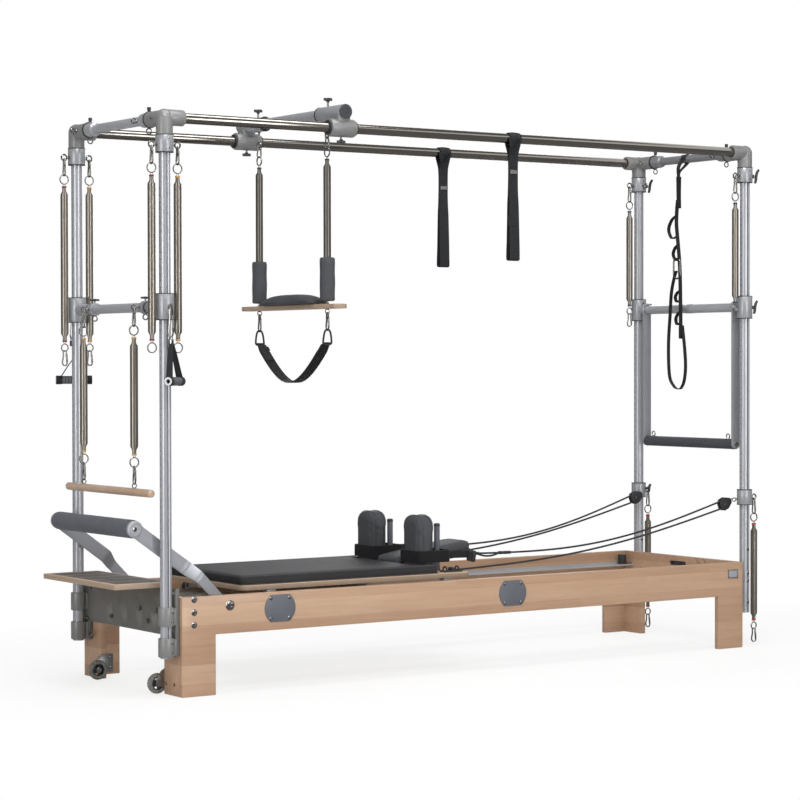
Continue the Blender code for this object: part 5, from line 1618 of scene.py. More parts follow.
@dataclass
class StandingPlatform:
    """The plywood standing board with its strips of grit tape."""

    reach: float = 0.222
    end: float = 0.012
    width: float = 0.588
    low: float = 0.3923
    thickness: float = 0.018
    corner: float = 0.015
    strips: int = 5

    def build(self) -> None:
        """Make the board and lay the strips on it."""
        x0, x1, half = PLACE.x(-self.reach), PLACE.x(self.end), self.width / 2
        top = self.low + self.thickness
        form = Form().plate(rounded_outline(x0, x1, half, self.corner, 6), Axis.Z, self.low, top,
                            PLY, 0.0018, 3)
        pitch = (self.width - 0.05) / self.strips
        for k in range(self.strips):
            y = -half + 0.025 + pitch * (k + 0.5)
            form.block((x0 + 0.022, y - pitch * 0.43, top - 0.0005),
                       (x1 - 0.012, y + pitch * 0.43, top + 0.0008), STRIP, 0.0003)
        for y in (-half + 0.02, half - 0.02):
            for x in (x0 + 0.16, x1 - 0.02):
                form.bar((x, y, top - 0.002), (x, y, top + 0.0006), 0.0055, ZINC, 0.0004, 20)
        form.make("standing_board", "frame", "standing_platform")


# The towers


class PostEnd(Enum):
    """The two ends of the machine."""

    FOOT = "foot"
    HEAD = "head"

    @property
    def x(self) -> float:
        """Where its posts stand."""
        return PLACE.foot_x if self is PostEnd.FOOT else PLACE.head_x

    @property
    def inward(self) -> int:
        """The way to the other end."""
        return 1 if self is PostEnd.FOOT else -1


def lined_collar(form: Form, x: float, y: float, low: float, top: float, radius: float,
                 finish: Finish) -> None:
    """A collar round a post, with a thin dark washer at each end.

    Args:
        form: Where it is added.
        x, y: The post's axis.
        low, top: The collar's ends.
        radius: Its outside.
        finish: Its finish.
    """
    bore = PLACE.post_radius + 0.0003
    form.sleeve((x, y, low + 0.0016), (x, y, top - 0.0016), radius, bore, finish, 0.0012, 48)
    for z in (low, top - 0.0028):
        form.sleeve((x, y, z), (x, y, z + 0.0028), radius + 0.0006, bore, RUBBER, 0.0006, 48)


def thumb_lever(form: Form, base: Point, out: Point, size: float = 1.0) -> None:
    """A dark moulded wing lever on a short boss.

    Args:
        form: Where it is added.
        base: Where it stands.
        out: The direction that it points away.
        size: Of the whole lever.
    """
    foot, way = Vector(base), Vector(out).normalized()
    boss = foot + way * 0.012 * size
    form.bar(foot, boss, 0.0062 * size, PLASTIC, 0.001, 20)
    tip = boss + way * 0.008 * size
    path = [tip + Vector((0, 0, z)) * size + way * w * size
            for z, w in ((-0.021, -0.004), (-0.012, -0.001), (0, 0), (0.012, 0.003), (0.022, 0.009))]
    form.pipe(smooth_path(path, 4), [0.0034 + 0.003 * math.sin(math.pi * (0.16 + 0.68 * i / 16))
                                     for i in range(17)], PLASTIC, 12)


def pull_pin(form: Form, x: float, y: float, low: float, top: float) -> None:
    """A spring plunger: a bright stem and a dark round knob.

    Args:
        form: Where it is added.
        x, y: Its axis.
        low, top: Foot of the stem, and top of the knob.
    """
    form.bar((x, y, low), (x, y, top - 0.008), 0.0034, ZINC, 0.0004, 16)
    form.lathe(
        (x, y, top - 0.016), (x, y, top),
        [(0, 0.0042), (0.002, 0.0066), (0.005, 0.0064), (0.009, 0.0078), (0.014, 0.0074), (0.016, 0.0052)],
        PLASTIC, 24,
    )


def tee_pin(form: Form, x: float, y: float, low: float, top: float) -> None:
    """A spring plunger with a dark cross handle.

    Args:
        form: Where it is added.
        x, y: Its axis.
        low, top: Foot of the stem, and top of the handle.
    """
    form.bar((x, y, low), (x, y, top - 0.003), 0.0034, ZINC, 0.0004, 16)
    form.bar((x, y, top - 0.009), (x, y, top), 0.0062, PLASTIC, 0.0014, 20)
    form.bar((x - 0.0185, y, top - 0.0045), (x + 0.0185, y, top - 0.0045), 0.0038, PLASTIC, 0.0016, 16)


@dataclass
class Posts:
    """The four tube posts, each grooved and scaled, with its lined collar and eyebolts."""

    foot_z: float = 0.142
    top_z: float = 2.0536
    wall: float = 0.003
    groove: float = 0.0042
    groove_depth: float = 0.0030
    collar_radius: float = 0.033
    collar_top: float = 2.0217
    collar_length: float = 0.065
    hole_pitch: float = 0.0508
    first_hole: float = 0.47
    last_hole: float = 1.93

    def build(self) -> None:
        """Make the posts of both ends."""
        for end in PostEnd:
            for side in Side:
                self.post(end, side)

    def section(self, side: Side, radius: float, grooved: bool) -> np.ndarray:
        """Points round the tube, with a groove on its outer side.

        Args:
            side: The side that the groove faces.
            radius: Of the tube.
            grooved: Whether the groove shows.

        Returns:
            X and Y from the axis, one row for each point.
        """
        angles, sizes = [], []
        facing = math.pi / 2 * side.value
        half = self.groove / radius
        rest = np.linspace(half * 1.25, math.tau - half * 1.25, 46)
        for turn, size in ((-half * 0.8, -self.groove_depth), (half * 0.8, -self.groove_depth)):
            angles.append(facing + turn)
            sizes.append(radius + (size if grooved else 0))
        for turn in rest:
            angles.append(facing + turn)
            sizes.append(radius)
        order = np.array(angles), np.array(sizes)
        return np.stack([order[1] * np.cos(order[0]), order[1] * np.sin(order[0])], axis=1)

    def post(self, end: PostEnd, side: Side) -> None:
        """One post.

        Args:
            end, side: Where it stands.
        """
        x, y = end.x, side.value * PLACE.post_y
        form = Form()
        rows = []
        for z, radius, grooved in (
            (self.foot_z, PLACE.post_radius - self.wall, False),
            (self.foot_z, PLACE.post_radius - 0.0006, True),
            (self.foot_z + 0.0006, PLACE.post_radius, True), (self.top_z, PLACE.post_radius, True),
            (self.top_z, PLACE.post_radius - self.wall, False),
        ):
            flat = self.section(side, radius, grooved)
            rows.append(np.column_stack([flat[:, 0] + x, flat[:, 1] + y, np.full(len(flat), z)]))
        form.loft(np.array(rows), SILVER_SCALED, True, False, 0.132)
        # A dark strip on the groove's floor: painted shade in the slot.
        groove_shade_y = sorted((y + side.value * (PLACE.post_radius - 0.0045),
                         y + side.value * (PLACE.post_radius - 0.0024)))
        form.block((x - 0.0019, groove_shade_y[0], self.foot_z + 0.001),
                   (x + 0.0019, groove_shade_y[1], self.top_z - 0.001), SLATE, 0.0003)
        plug = [(0, 0.0168), (0.004, 0.0178), (0.012, 0.0178)]
        form.lathe((x, y, self.foot_z + 0.002), (x, y, self.foot_z + 0.02), plug, PLASTIC, 32)
        surface = x - (PLACE.post_radius - 0.0002)
        # Each hole is a silver rim round a dark disc: painted shade inside the hole.
        for k in range(int((self.last_hole - self.first_hole) / self.hole_pitch)):
            z = self.first_hole + self.hole_pitch * k
            form.sleeve((surface + 0.0012, y, z), (surface - 0.0004, y, z), 0.0042, 0.0032, SILVER, 0.0002,
                        16)
            form.bar((surface + 0.0012, y, z), (surface + 0.0001, y, z), 0.0031, RUBBER, 0.0001, 14)
        lined_collar(form, x, y, self.collar_top - self.collar_length, self.collar_top, self.collar_radius,
                     COLLAR)
        ways = (-1, 1) if end is PostEnd.FOOT else (-1,)
        for step in ways:
            centre = (x + step * PLACE.eye_out, y, PLACE.eye_z)
            form.eyebolt(centre, (x + step * (self.collar_radius - 0.0015), y, PLACE.eye_z), (0, 1, 0))
        if end is PostEnd.HEAD:
            thumb_lever(form, (x + self.collar_radius - 0.002, y, PLACE.eye_z), (1, -0.35, 0), 1.35)
            inner = y - side.value * self.collar_radius
            form.eyebolt((x, inner - side.value * 0.016, PLACE.eye_z),
                         (x, inner + side.value * 0.0015, PLACE.eye_z), (1, 0, 0), 0.008)
            self.plate(form, x, y)
        for z in (2.006, 1.972):
            form.bar((x, y - self.collar_radius + 0.0015, z), (x, y - self.collar_radius - 0.0009, z),
                     0.0032, ZINC, 0.0006, 14)
        form.make(f"{end.value}_post_tube_{side.label}", "frame", f"{end.value}_post_{side.label}")

    def plate(self, form: Form, x: float, y: float) -> None:
        """The flat plate that bolts a head post to the frame's end.

        Args:
            form: Where it is added.
            x, y: The post's axis.
        """
        face = PLACE.x(2.69) + 0.0003
        form.block((face, y - 0.025, 0.15), (face + 0.006, y + 0.025, 0.352), ARM_GREY, 0.002)
        for z in (0.172, 0.228, 0.284, 0.336):
            form.block((face + 0.004, y - 0.009, z - 0.014), (x - 0.015, y + 0.009, z + 0.014), ARM_GREY,
                       0.002)
            for dy in (-0.017, 0.017):
                form.bar((face + 0.004, y + dy, z), (face + 0.0098, y + dy, z), 0.0048, ZINC, 0.0014, 20)
        for z in (0.187, 0.277, 0.310, 0.410):
            form.bar((x, y - PLACE.post_radius + 0.002, z), (x, y - PLACE.post_radius - 0.0036, z), 0.0062,
                     ZINC, 0.0022, 20)


@dataclass
class Headers:
    """The cast three-way elbows on the posts, with the cross tube, its sleeves, pins and eyes."""

    elbow: float = 0.0308
    drop: float = 0.063
    rail_reach: float = 0.076
    seam: float = 0.106
    sleeve_reach: float = 0.166
    tube: float = 0.0175
    pin: float = 0.115

    def build(self) -> None:
        """Make both headers."""
        for end in PostEnd:
            form = Form()
            z = PLACE.rail_z
            for side in Side:
                self.corner(form, end, side)
            reach = PLACE.post_y - self.sleeve_reach + 0.004
            # The head end's tube takes the darker copy of the silver, which paints shade on it.
            metal = SILVER if end is PostEnd.FOOT else HEAD_SHADE_SILVER
            form.bar((end.x, -reach, z), (end.x, reach, z), self.tube, metal, 0.001, 40)
            form.eyebolt((end.x - self.tube - 0.013, -0.172, z), (end.x - self.tube + 0.001, -0.172, z),
                         (0, 1, 0), 0.0090, 0.0025)
            eye_y = PLACE.post_y - 0.056
            form.eyebolt((end.x - self.elbow - 0.012, eye_y, z), (end.x - self.elbow + 0.003, eye_y, z),
                         (0, 1, 0), 0.0090, 0.0025)
            form.make(f"{end.value}_header_castings", "frame", f"{end.value}_header")

    def corner(self, form: Form, end: PostEnd, side: Side) -> None:
        """One elbow with its sleeve on the cross tube.

        Args:
            form: Where it is added.
            end, side: Which post it sits on.
        """
        x, y, z = end.x, side.value * PLACE.post_y, PLACE.rail_z
        r = self.elbow
        form.lathe(
            (x, y, z - self.drop), (x, y, z + 1),
            [(0.0, PLACE.post_radius + 0.0003), (0.0, r - 0.0012), (0.0012, r), (self.drop, r),
             *[(self.drop + r * math.sin(a), r * math.cos(a)) for a in (0.3, 0.6, 0.9, 1.15, 1.35, 1.5)]],
            FITTING, 48,
        )
        lip = x + end.inward * self.rail_reach
        form.sleeve((x + end.inward * 0.012, y, z), (lip, y, z), r - 0.0016, 0.0193, FITTING, 0.004, 48)
        way = -side.value
        near = y + way * 0.008
        form.lathe(
            (x, near, z), (x, near + way, z),
            [(0, r - 0.003), (self.seam - 0.010, r - 0.0022), (self.seam - 0.0085, r - 0.0034)], FITTING, 48,
        )
        form.sleeve((x, y + way * (self.seam - 0.001), z), (x, y + way * (self.seam + 0.0034), z),
                    r + 0.0002, 0.017, RUBBER, 0.0008, 48)
        # At the head end this sleeve takes the darker silver: painted shade.
        form.lathe(
            (x, y + way * (self.seam + 0.002), z), (x, y + way * 3, z),
            [(0, r - 0.0042), (0.040, r - 0.0042), (0.050, r - 0.0062), (0.055, self.tube)],
            SILVER if end is PostEnd.FOOT else HEAD_SHADE_SILVER, 48,
        )
        pull_pin(form, x, y + way * self.pin, z + 0.02, z + r + 0.0155)
        form.eyebolt((x, y + way * self.pin, z - r - 0.0105), (x, y + way * self.pin, z - r + 0.0035),
                     (0, 1, 0), 0.0102, 0.0026, False)
        if end is PostEnd.FOOT:
            form.bar((x - r * 0.92, y + way * 0.045, z), (x - r - 0.0008, y + way * 0.045, z), 0.0058, ZINC,
                     0.001, 20)
        else:
            for k in (0.030, 0.052):
                form.bar((x - 0.001, y + way * k, z), (x - r - 0.0005, y + way * k, z), 0.0036, ZINC,
                         0.0008, 18)


@dataclass
class TopRails:
    """The two overhead tubes, of brushed stainless steel."""

    radius: float = 0.019
    wall: float = 0.003
    inset: float = 0.0238

    def build(self) -> None:
        """Make a rail on each side."""
        for side in Side:
            y, z = side.value * PLACE.post_y, PLACE.rail_z
            start = (PLACE.foot_x + self.inset, y, z)
            end = (PLACE.head_x - self.inset, y, z)
            form = Form().sleeve(start, end, self.radius, self.radius - self.wall, STAINLESS, 0.0006, 56)
            form.make(f"overhead_rail_{side.label}", "frame", f"top_rail_{side.label}")


@dataclass
class CrossBars:
    """The two cross bars that slide on the posts, with their tee collars and fittings."""

    tee: float = 0.0325
    tee_length: float = 0.096
    foot_tube: float = 0.0175
    head_tube: float = 0.019
    socket: float = 0.022
    hang: float = 0.201
    hang_out: float = 0.048

    def build(self) -> None:
        """Make the foot and the head bar."""
        self.foot_bar()
        self.head_bar()

    def tee_collar(self, form: Form, x: float, y: float, z: float) -> None:
        """A lined collar and the boss that takes the cross tube."""
        half = self.tee_length / 2
        lined_collar(form, x, y, z - half, z + half, self.tee, COLLAR)

    def foot_bar(self) -> None:
        """The foot bar, which carries the roll-down springs and the hand grips."""
        x, z = PLACE.foot_x, PLACE.foot_bar_z
        form = Form()
        reach = self.hang - 0.01
        form.bar((x, -reach, z), (x, reach, z), self.foot_tube, SILVER, 0.001, 44)
        for side in Side:
            s, y = side.value, side.value * PLACE.post_y
            self.tee_collar(form, x, y, z)
            start = (x, y - s * (PLACE.post_radius + 0.004), z)
            form.lathe(start, (x, 0, z), [(0, self.socket), (0.095, self.socket),
                                          (0.0985, self.socket - 0.002), (0.1, self.foot_tube)], COLLAR, 44)
            form.sleeve((x, s * 0.232, z), (x, s * 0.2285, z), self.socket + 0.0018, self.foot_tube, RUBBER,
                        0.0012, 44)
            hang = s * self.hang
            form.sleeve((x, hang - 0.0125, z), (x, hang + 0.0125, z), self.socket + 0.002,
                        self.foot_tube + 0.0002, COLLAR, 0.002, 44)
            form.eyebolt((x - self.hang_out, hang, z), (x - self.socket + 0.0005, hang, z), (0, 1, 0),
                         0.0088, 0.0024)
            tee_pin(form, x, hang, z + 0.018, z + self.socket + 0.0180)
            form.eyebolt((x, hang, z - self.socket - 0.0122), (x, hang, z - self.socket), (0, 1, 0), 0.0100,
                         0.0026, False)
            out = y + s * (self.tee + 0.0112)
            form.eyebolt((x, out, z), (x, y + s * (self.tee - 0.001), z), (1, 0, 0), 0.0088, 0.0024)
        form.make("foot_bar_assembly", "foot_bar", "foot_cross_bar")

    def head_bar(self) -> None:
        """The head bar, which carries the push-through bar."""
        x, z = PLACE.head_x, PLACE.head_bar_z
        form = Form()
        reach = PLACE.post_y - PLACE.post_radius - 0.002
        form.bar((x, -reach, z), (x, reach, z), self.head_tube, SILVER, 0.001, 44)
        form.sleeve((x, -0.022, z), (x, 0.022, z), self.head_tube + 0.0012, self.head_tube - 0.001, COLLAR,
                    0.001, 44)
        for side in Side:
            s, y = side.value, side.value * PLACE.post_y
            self.tee_collar(form, x, y, z)
            thumb_lever(form, (x + self.tee - 0.002, y, z), (1, -0.15, 0), 1.25)
            for screw in (z + 0.03, z - 0.03):
                form.bar((x, y - s * (self.tee - 0.002), screw), (x, y - s * (self.tee + 0.0012), screw),
                         0.0036, ZINC, 0.0008, 16)
        form.make("head_bar_assembly", "head_bar", "head_cross_bar")


@dataclass
class PushBar:
    """The push-through bar: flat arms that swing on the head bar, and a foam-covered bar."""

    low: float = 0.852
    spacing: float = 0.584
    arm_width: float = 0.042
    arm_thickness: float = 0.010
    foam: float = 0.022
    hub: float = 0.029
    eye: float = 0.245

    def build(self) -> None:
        """Make the arms, their hubs and the bar."""
        x, top = PLACE.head_x, PLACE.head_bar_z
        form = Form()
        half = self.spacing / 2
        for side in Side:
            s = side.value
            y0, y1 = sorted((s * half - self.arm_thickness / 2, s * half + self.arm_thickness / 2))
            width = self.arm_width / 2
            outline = [(x - width, self.low), (x - width, top - 0.024), (x - 0.02, top - 0.019),
                       (x + 0.02, top - 0.019), (x + width, top - 0.024), (x + width, self.low)]
            for i in range(1, 12):
                angle = math.radians(-15 * i)
                outline.append((x + width * math.cos(angle), self.low + width * math.sin(angle)))
            form.plate(outline, Axis.Y, y0, y1, ARM_GREY, 0.0015)
            form.sleeve((x, y0 - 0.0022, top), (x, y1 + 0.0022, top), self.hub, 0.0199, COLLAR, 0.002, 48)
            form.bar((x, s * (half + 0.004), self.low), (x, s * (half + 0.0078), self.low), 0.011, ZINC,
                     0.002, 28)
            form.eyebolt((x, s * self.eye, self.low + self.foam + 0.0105),
                         (x, s * self.eye, self.low + self.foam - 0.001), (1, 0, 0), 0.0102, 0.0026)
        inner = half - self.arm_thickness / 2
        form.bar((x, -inner + 0.006, self.low), (x, inner - 0.006, self.low), self.foam, FOAM, 0.003, 44)
        for s in (-1, 1):
            form.sleeve((x, s * (inner - 0.0065), self.low), (x, s * inner, self.low), self.foam + 0.0006,
                        0.012, PLASTIC, 0.0016, 44)
        form.make("push_bar_assembly", "push_bar", "push_through_bar")


@dataclass
class PulleyRisers:
    """The collars on the head posts that carry the rope pulleys and the low springs."""

    radius: float = 0.0308
    length: float = 0.065
    pulley_in: float = 0.069
    pulley_across: float = 0.055
    pulley_drop: float = 0.030

    def pulley(self, side: Side) -> Vector:
        """Middle of a side's pulley.

        Args:
            side: Which side.

        Returns:
            Its middle.
        """
        return Vector((
            PLACE.head_x - self.pulley_in, side.value * (PLACE.post_y - self.pulley_across),
            PLACE.riser_z - self.pulley_drop,
        ))

    def build(self) -> None:
        """Make both collars with their blocks."""
        for side in Side:
            x, y, z = PLACE.head_x, side.value * PLACE.post_y, PLACE.riser_z
            form = Form()
            half = self.length / 2
            lined_collar(form, x, y, z - half, z + half, self.radius + 0.0012, COLLAR)
            form.eyebolt((x + PLACE.eye_out, y, z), (x + self.radius - 0.001, y, z), (0, 1, 0))
            thumb_lever(form, (x + 0.017, y - side.value * 0.0285, z + 0.008), (0.35, -side.value, 0), 0.85)
            self.block(form, side)
            form.make(f"pulley_collar_{side.label}", "frame", f"pulley_riser_{side.label}")

    def block(self, form: Form, side: Side) -> None:
        """A cheek block: two shaped cheeks, a sheave between them, a becket and a shackle.

        Args:
            form: Where it is added.
            side: Which pulley.
        """
        centre = self.pulley(side)
        post = Vector((PLACE.head_x, side.value * PLACE.post_y, PLACE.riser_z))
        pull = Vector((1, 0, 0.42)).normalized()
        rise = Vector((-pull.z, 0, pull.x))
        outline = []
        for a, b in (
            (-0.025, 0.010), (-0.014, 0.0255), (0.010, 0.0265), (0.034, 0.014), (0.041, 0.003),
            (0.036, -0.011),
            (0.013, -0.0255), (-0.012, -0.0260), (-0.0255, -0.010),
        ):
            place = centre + pull * a + rise * b
            outline.append((place.x, place.z))
        for s in (-1, 1):
            y0, y1 = sorted((centre.y + s * 0.0042, centre.y + s * 0.0118))
            form.plate(outline, Axis.Y, y0, y1, RUBBER, 0.0026, 3)
            form.bar(offset(centre, y=s * 0.0105), offset(centre, y=s * 0.0138), 0.0050, ZINC, 0.0014, 24)
        profile = [(0, 0.0130), (0.0008, 0.0145), (0.0026, 0.0123), (0.0042, 0.0119), (0.0058, 0.0123),
                   (0.0076, 0.0145), (0.0084, 0.0130)]
        form.lathe(offset(centre, y=-0.0042), offset(centre, y=0.0042), profile, PALE_PLASTIC, 40)
        head = centre + pull * 0.0335
        link_end = head.lerp(post, 0.42)
        way = (post - head).normalized()
        first = [head - way * 0.004, head + Vector((0, 0, 0.006)) + way * 0.006,
                 link_end + Vector((0, 0, 0.004)), link_end + way * 0.004, link_end - Vector((0, 0, 0.004)),
                 head - Vector((0, 0, 0.006)) + way * 0.006]
        form.pipe(smooth_path(first, 5, True), 0.0019, ZINC, 10, True)
        boss = post - way * (self.radius - 0.0005)
        form.eyebolt(boss - way * 0.0155, boss, (way.y, -way.x, 0.0), 0.0078, 0.0022)


# Springs and trapeze

WINDING_RADIUS = 0.0146
KEY_RING = 0.0176
SMALL_RING = 0.0140
RING_GAP = 0.0075
LOOP_REACH = 0.0085
LOOP_HOLD = 0.002
CAP_RADIUS = 0.0092
CAP_LENGTH = 0.0065
EYE_HOLD = 0.0058
RING_HOLD = 0.0030


def split_ring(form: Form, x: float, y: float, z: float, normal: Point, radius: float = KEY_RING) -> None:
    """A key ring of two close turns of wire.

    Args:
        form: Where it is added.
        x, y, z: Its middle.
        normal: The direction that it faces.
        radius: Of its middle line.
    """
    face = Vector(normal).normalized()
    for shift in (-0.0014, 0.0014):
        form.pipe(ring_path(Vector((x, y, z)) + face * shift, normal, radius, 0.0, 32), 0.0019, ZINC, 10,
                  True)


def hook_loop(form: Form, x: float, y: float, z: float, end: float, normal: Point) -> None:
    """The wire loop that ends a spring and holds its ring.

    Args:
        form: Where it is added.
        x, y: The spring's axis.
        z: Height of the loop's far side.
        end: Height of the spring's end.
        normal: The direction that the loop faces.
    """
    wide = Vector(normal).normalized().cross(Vector((0, 0, 1)))
    up = 1 if z > end else -1
    size = abs(z - end)
    path = [Vector((x, y, end - up * 0.004)) + wide * 0.0032,
            Vector((x, y, end + up * size * 0.25)) + wide * 0.0042,
            Vector((x, y, z - up * 0.002)) + wide * 0.003, Vector((x, y, z)),
            Vector((x, y, z - up * 0.002)) - wide * 0.003,
            Vector((x, y, end + up * size * 0.25)) - wide * 0.0042,
            Vector((x, y, end - up * 0.004)) - wide * 0.0032]
    form.pipe(smooth_path(path, 4), 0.0013, SPRING, 8)


@dataclass
class HungSpring:
    """A close-wound spring hung by a snap hook from an eyebolt, with a ring at each end."""

    name: str
    body: str
    node: str
    x: float
    y: float
    eye_z: float
    top: float
    low: float
    cap: Finish
    hooked: bool
    radius: float = WINDING_RADIUS
    ring: float = KEY_RING
    reach: float = 0.016
    hook: float = 0.062
    low_ring: float = KEY_RING
    low_eye: Optional[float] = None

    def build(self) -> None:
        """Make the winding, its caps, rings and hooks, down to a lower eyebolt where there is one."""
        form = Form()
        x, y = self.x, self.y
        form.winding(x, y, self.top - 0.004, self.low + 0.004, self.radius)
        for end, way in ((self.top, 1), (self.low, -1)):
            form.bar((x, y, end - way * CAP_LENGTH), (x, y, end), CAP_RADIUS, self.cap, 0.0016, 28)
        upper_ring = self.top + RING_GAP + self.ring
        hook_loop(form, x, y, self.top + LOOP_REACH, self.top - LOOP_HOLD, (0, 1, 0))
        split_ring(form, x, y, upper_ring, (0, 1, 0), self.ring)
        form.snap(x, y, self.eye_z - EYE_HOLD, upper_ring + self.ring - RING_HOLD, (1, 0, 0))
        lower_ring = self.low - RING_GAP - self.low_ring
        hook_loop(form, x, y, self.low - LOOP_REACH, self.low + LOOP_HOLD, (0, 1, 0))
        if self.hooked:
            small = self.low - RING_GAP - SMALL_RING
            split_ring(form, x, y, small, (0, 1, 0), SMALL_RING)
            bottom = self.low - self.reach - SMALL_RING - self.hook
            form.snap(x, y, small - 0.0115, bottom + RING_HOLD, (0.5, 1, 0))
        else:
            split_ring(form, x, y, lower_ring, (0, 1, 0), self.low_ring)
        if self.low_eye is not None:
            form.snap(x, y, lower_ring - self.low_ring + RING_HOLD, self.low_eye + EYE_HOLD, (1, 0, 0))
        form.make(self.name, self.body, self.node, sharp=50.0, slot="spring_steel")


@dataclass
class SpringSet:
    """The springs that hang beside the posts."""

    foot_top: float = 1.876
    foot_low: float = 1.283
    head_top: float = 1.872
    head_low: float = 1.449
    low_top: float = 0.518
    low_low: float = 0.104

    def build(self) -> None:
        """Make the springs of both ends."""
        for side in Side:
            y = side.value * PLACE.post_y
            far = side is Side.FAR
            for place, step, cap in (("outer", -1, MAROON), ("inner", 1, YELLOW)):
                name = f"foot_spring_{place}_{side.label}"
                HungSpring(
                    f"{name}_winding", name, name, PLACE.foot_x + step * PLACE.eye_out, y, PLACE.eye_z,
                    self.foot_top, self.foot_low, cap, far,
                ).build()
            name = f"head_spring_high_{side.label}"
            HungSpring(
                f"{name}_winding", name, name, PLACE.head_x - PLACE.eye_out, y, PLACE.eye_z, self.head_top,
                self.head_low, BLUE, far, low_ring=SMALL_RING,
            ).build()
            name = f"head_spring_low_{side.label}"
            HungSpring(
                f"{name}_winding", name, name, PLACE.head_x + PLACE.eye_out, y, PLACE.riser_z, self.low_top,
                self.low_low, RED, True,
            ).build()


@dataclass
class RollDown:
    """The roll-down bar of pale wood on its two springs."""

    out: float = 0.048
    spacing: float = 0.201
    top: float = 1.297
    low: float = 0.868
    bar_z: float = 0.735
    bar_radius: float = 0.0145
    bar_length: float = 0.668

    def build(self) -> None:
        """Make the springs and the bar."""
        x = PLACE.foot_x - self.out
        eye_z = self.bar_z + self.bar_radius + 0.009
        for side in Side:
            HungSpring(
                f"roll_down_winding_{side.label}", "roll_down", f"roll_down_spring_{side.label}", x,
                side.value * self.spacing, PLACE.foot_bar_z, self.top, self.low, YELLOW, False,
                low_eye=eye_z,
            ).build()
        half = self.bar_length / 2
        bar = Form()
        profile = [(0, 0.006), (0.0012, 0.0108), (0.0045, self.bar_radius - 0.0006),
                   (0.010, self.bar_radius), (self.bar_length - 0.010, self.bar_radius),
                   (self.bar_length - 0.0045, self.bar_radius - 0.0006), (self.bar_length - 0.0012, 0.0108),
                   (self.bar_length, 0.006)]
        bar.lathe((x, -half, self.bar_z), (x, half, self.bar_z), profile, DOWEL, 40)
        for side in Side:
            y = side.value * self.spacing
            bar.eyebolt((x, y, eye_z - 0.0004), (x, y, self.bar_z + self.bar_radius - 0.0006), (0, 1, 0),
                        0.0084, 0.0021, False)
            bar.sleeve((x, y, self.bar_z + self.bar_radius - 0.0008),
                       (x, y, self.bar_z + self.bar_radius + 0.0006), 0.0056, 0.0022, ZINC, 0.0003)
        bar.make("roll_down_dowel", "roll_down", "roll_down_bar", slot="beech")


def star_knob(form: Form, foot: Point, way: int, height: float) -> None:
    """A four-lobed hand knob on a threaded stem.

    Args:
        form: Where it is added.
        foot: Where the stem enters.
        way: 1 to stand up, -1 to hang down.
        height: From the foot to the knob's far side.
    """
    x, y, z = foot
    top = z + way * height
    form.bar(foot, (x, y, top - way * 0.006), 0.0040, ZINC, 0.0004, 16)
    form.lathe((x, y, top - way * 0.016), (x, y, top - way * 0.008),
               [(0, 0.0056), (0.004, 0.0062), (0.008, 0.009)], PLASTIC, 24)
    outline = []
    for i in range(48):
        angle = math.tau * i / 48
        size = 0.0150 + 0.0042 * math.cos(4 * angle)
        outline.append((x + size * math.cos(angle), y + size * math.sin(angle)))
    z0, z1 = sorted((top - way * 0.010, top))
    form.plate(outline, Axis.Z, z0, z1, PLASTIC, 0.002)


@dataclass
class Carrier:
    """The trapeze carrier: a slider on each rail, and a capped tube across above them."""

    half: float = 0.06
    radius: float = 0.034
    lift: float = 0.060
    tube: float = 0.022
    cap: float = 0.0285
    reach: float = 0.385
    hang: float = 0.25

    def build(self) -> None:
        """Make the sliders, the tube and its hangers."""
        x, z = PLACE.trapeze_x, PLACE.rail_z
        high = z + self.lift
        form = Form()
        form.bar((x, -self.reach + 0.02, high), (x, self.reach - 0.02, high), self.tube - 0.0012, COLLAR,
                 0.001, 44)
        for side in Side:
            s, y = side.value, side.value * PLACE.post_y
            form.sleeve((x - self.half + 0.004, y, z), (x + self.half - 0.004, y, z), self.radius, 0.0205,
                        FITTING, 0.006, 48)
            for end in (-1, 1):
                form.sleeve((x + end * (self.half - 0.006), y, z), (x + end * (self.half + 0.003), y, z),
                            0.0275, 0.0193, RUBBER, 0.002, 44)
            saddle = [(y - 0.024, z + 0.012), (y + 0.024, z + 0.012), (y + 0.025, high), (y - 0.025, high)]
            form.plate(saddle, Axis.X, x - 0.027, x + 0.027, FITTING, 0.004, 3)
            form.sleeve((x, s * 0.206, high), (x, s * (self.reach - 0.006), high), self.cap,
                        self.tube - 0.0012, COLLAR, 0.003, 48)
            form.sleeve((x, s * 0.2015, high), (x, s * 0.2065, high), self.cap + 0.0012, self.tube - 0.0012,
                        RUBBER, 0.0016, 48)
            face = s * (self.reach - 0.0065)
            form.lathe((x, face, high), (x, face + s, high),
                       [(0, self.cap - 0.001), (0.004, self.cap - 0.0008), (0.0066, self.cap - 0.003),
                        (0.0066, 0.012), (0.005, 0.0112), (0.005, 0.006), (0.0062, 0.005), (0.0062, 0.0015)],
                       PLASTIC, 44)
            star_knob(form, (x, s * 0.257, high + self.cap - 0.002), 1, 0.034)
            star_knob(form, (x, y, z - self.radius + 0.004), -1, 0.0265)
            hang = s * self.hang
            form.eyebolt((x, hang, PLACE.trapeze_ring_z + 0.0088), (x, hang, high - self.cap + 0.001),
                         (1, 0, 0))
        form.make("trapeze_carrier_castings", "carrier", "trapeze_carrier")


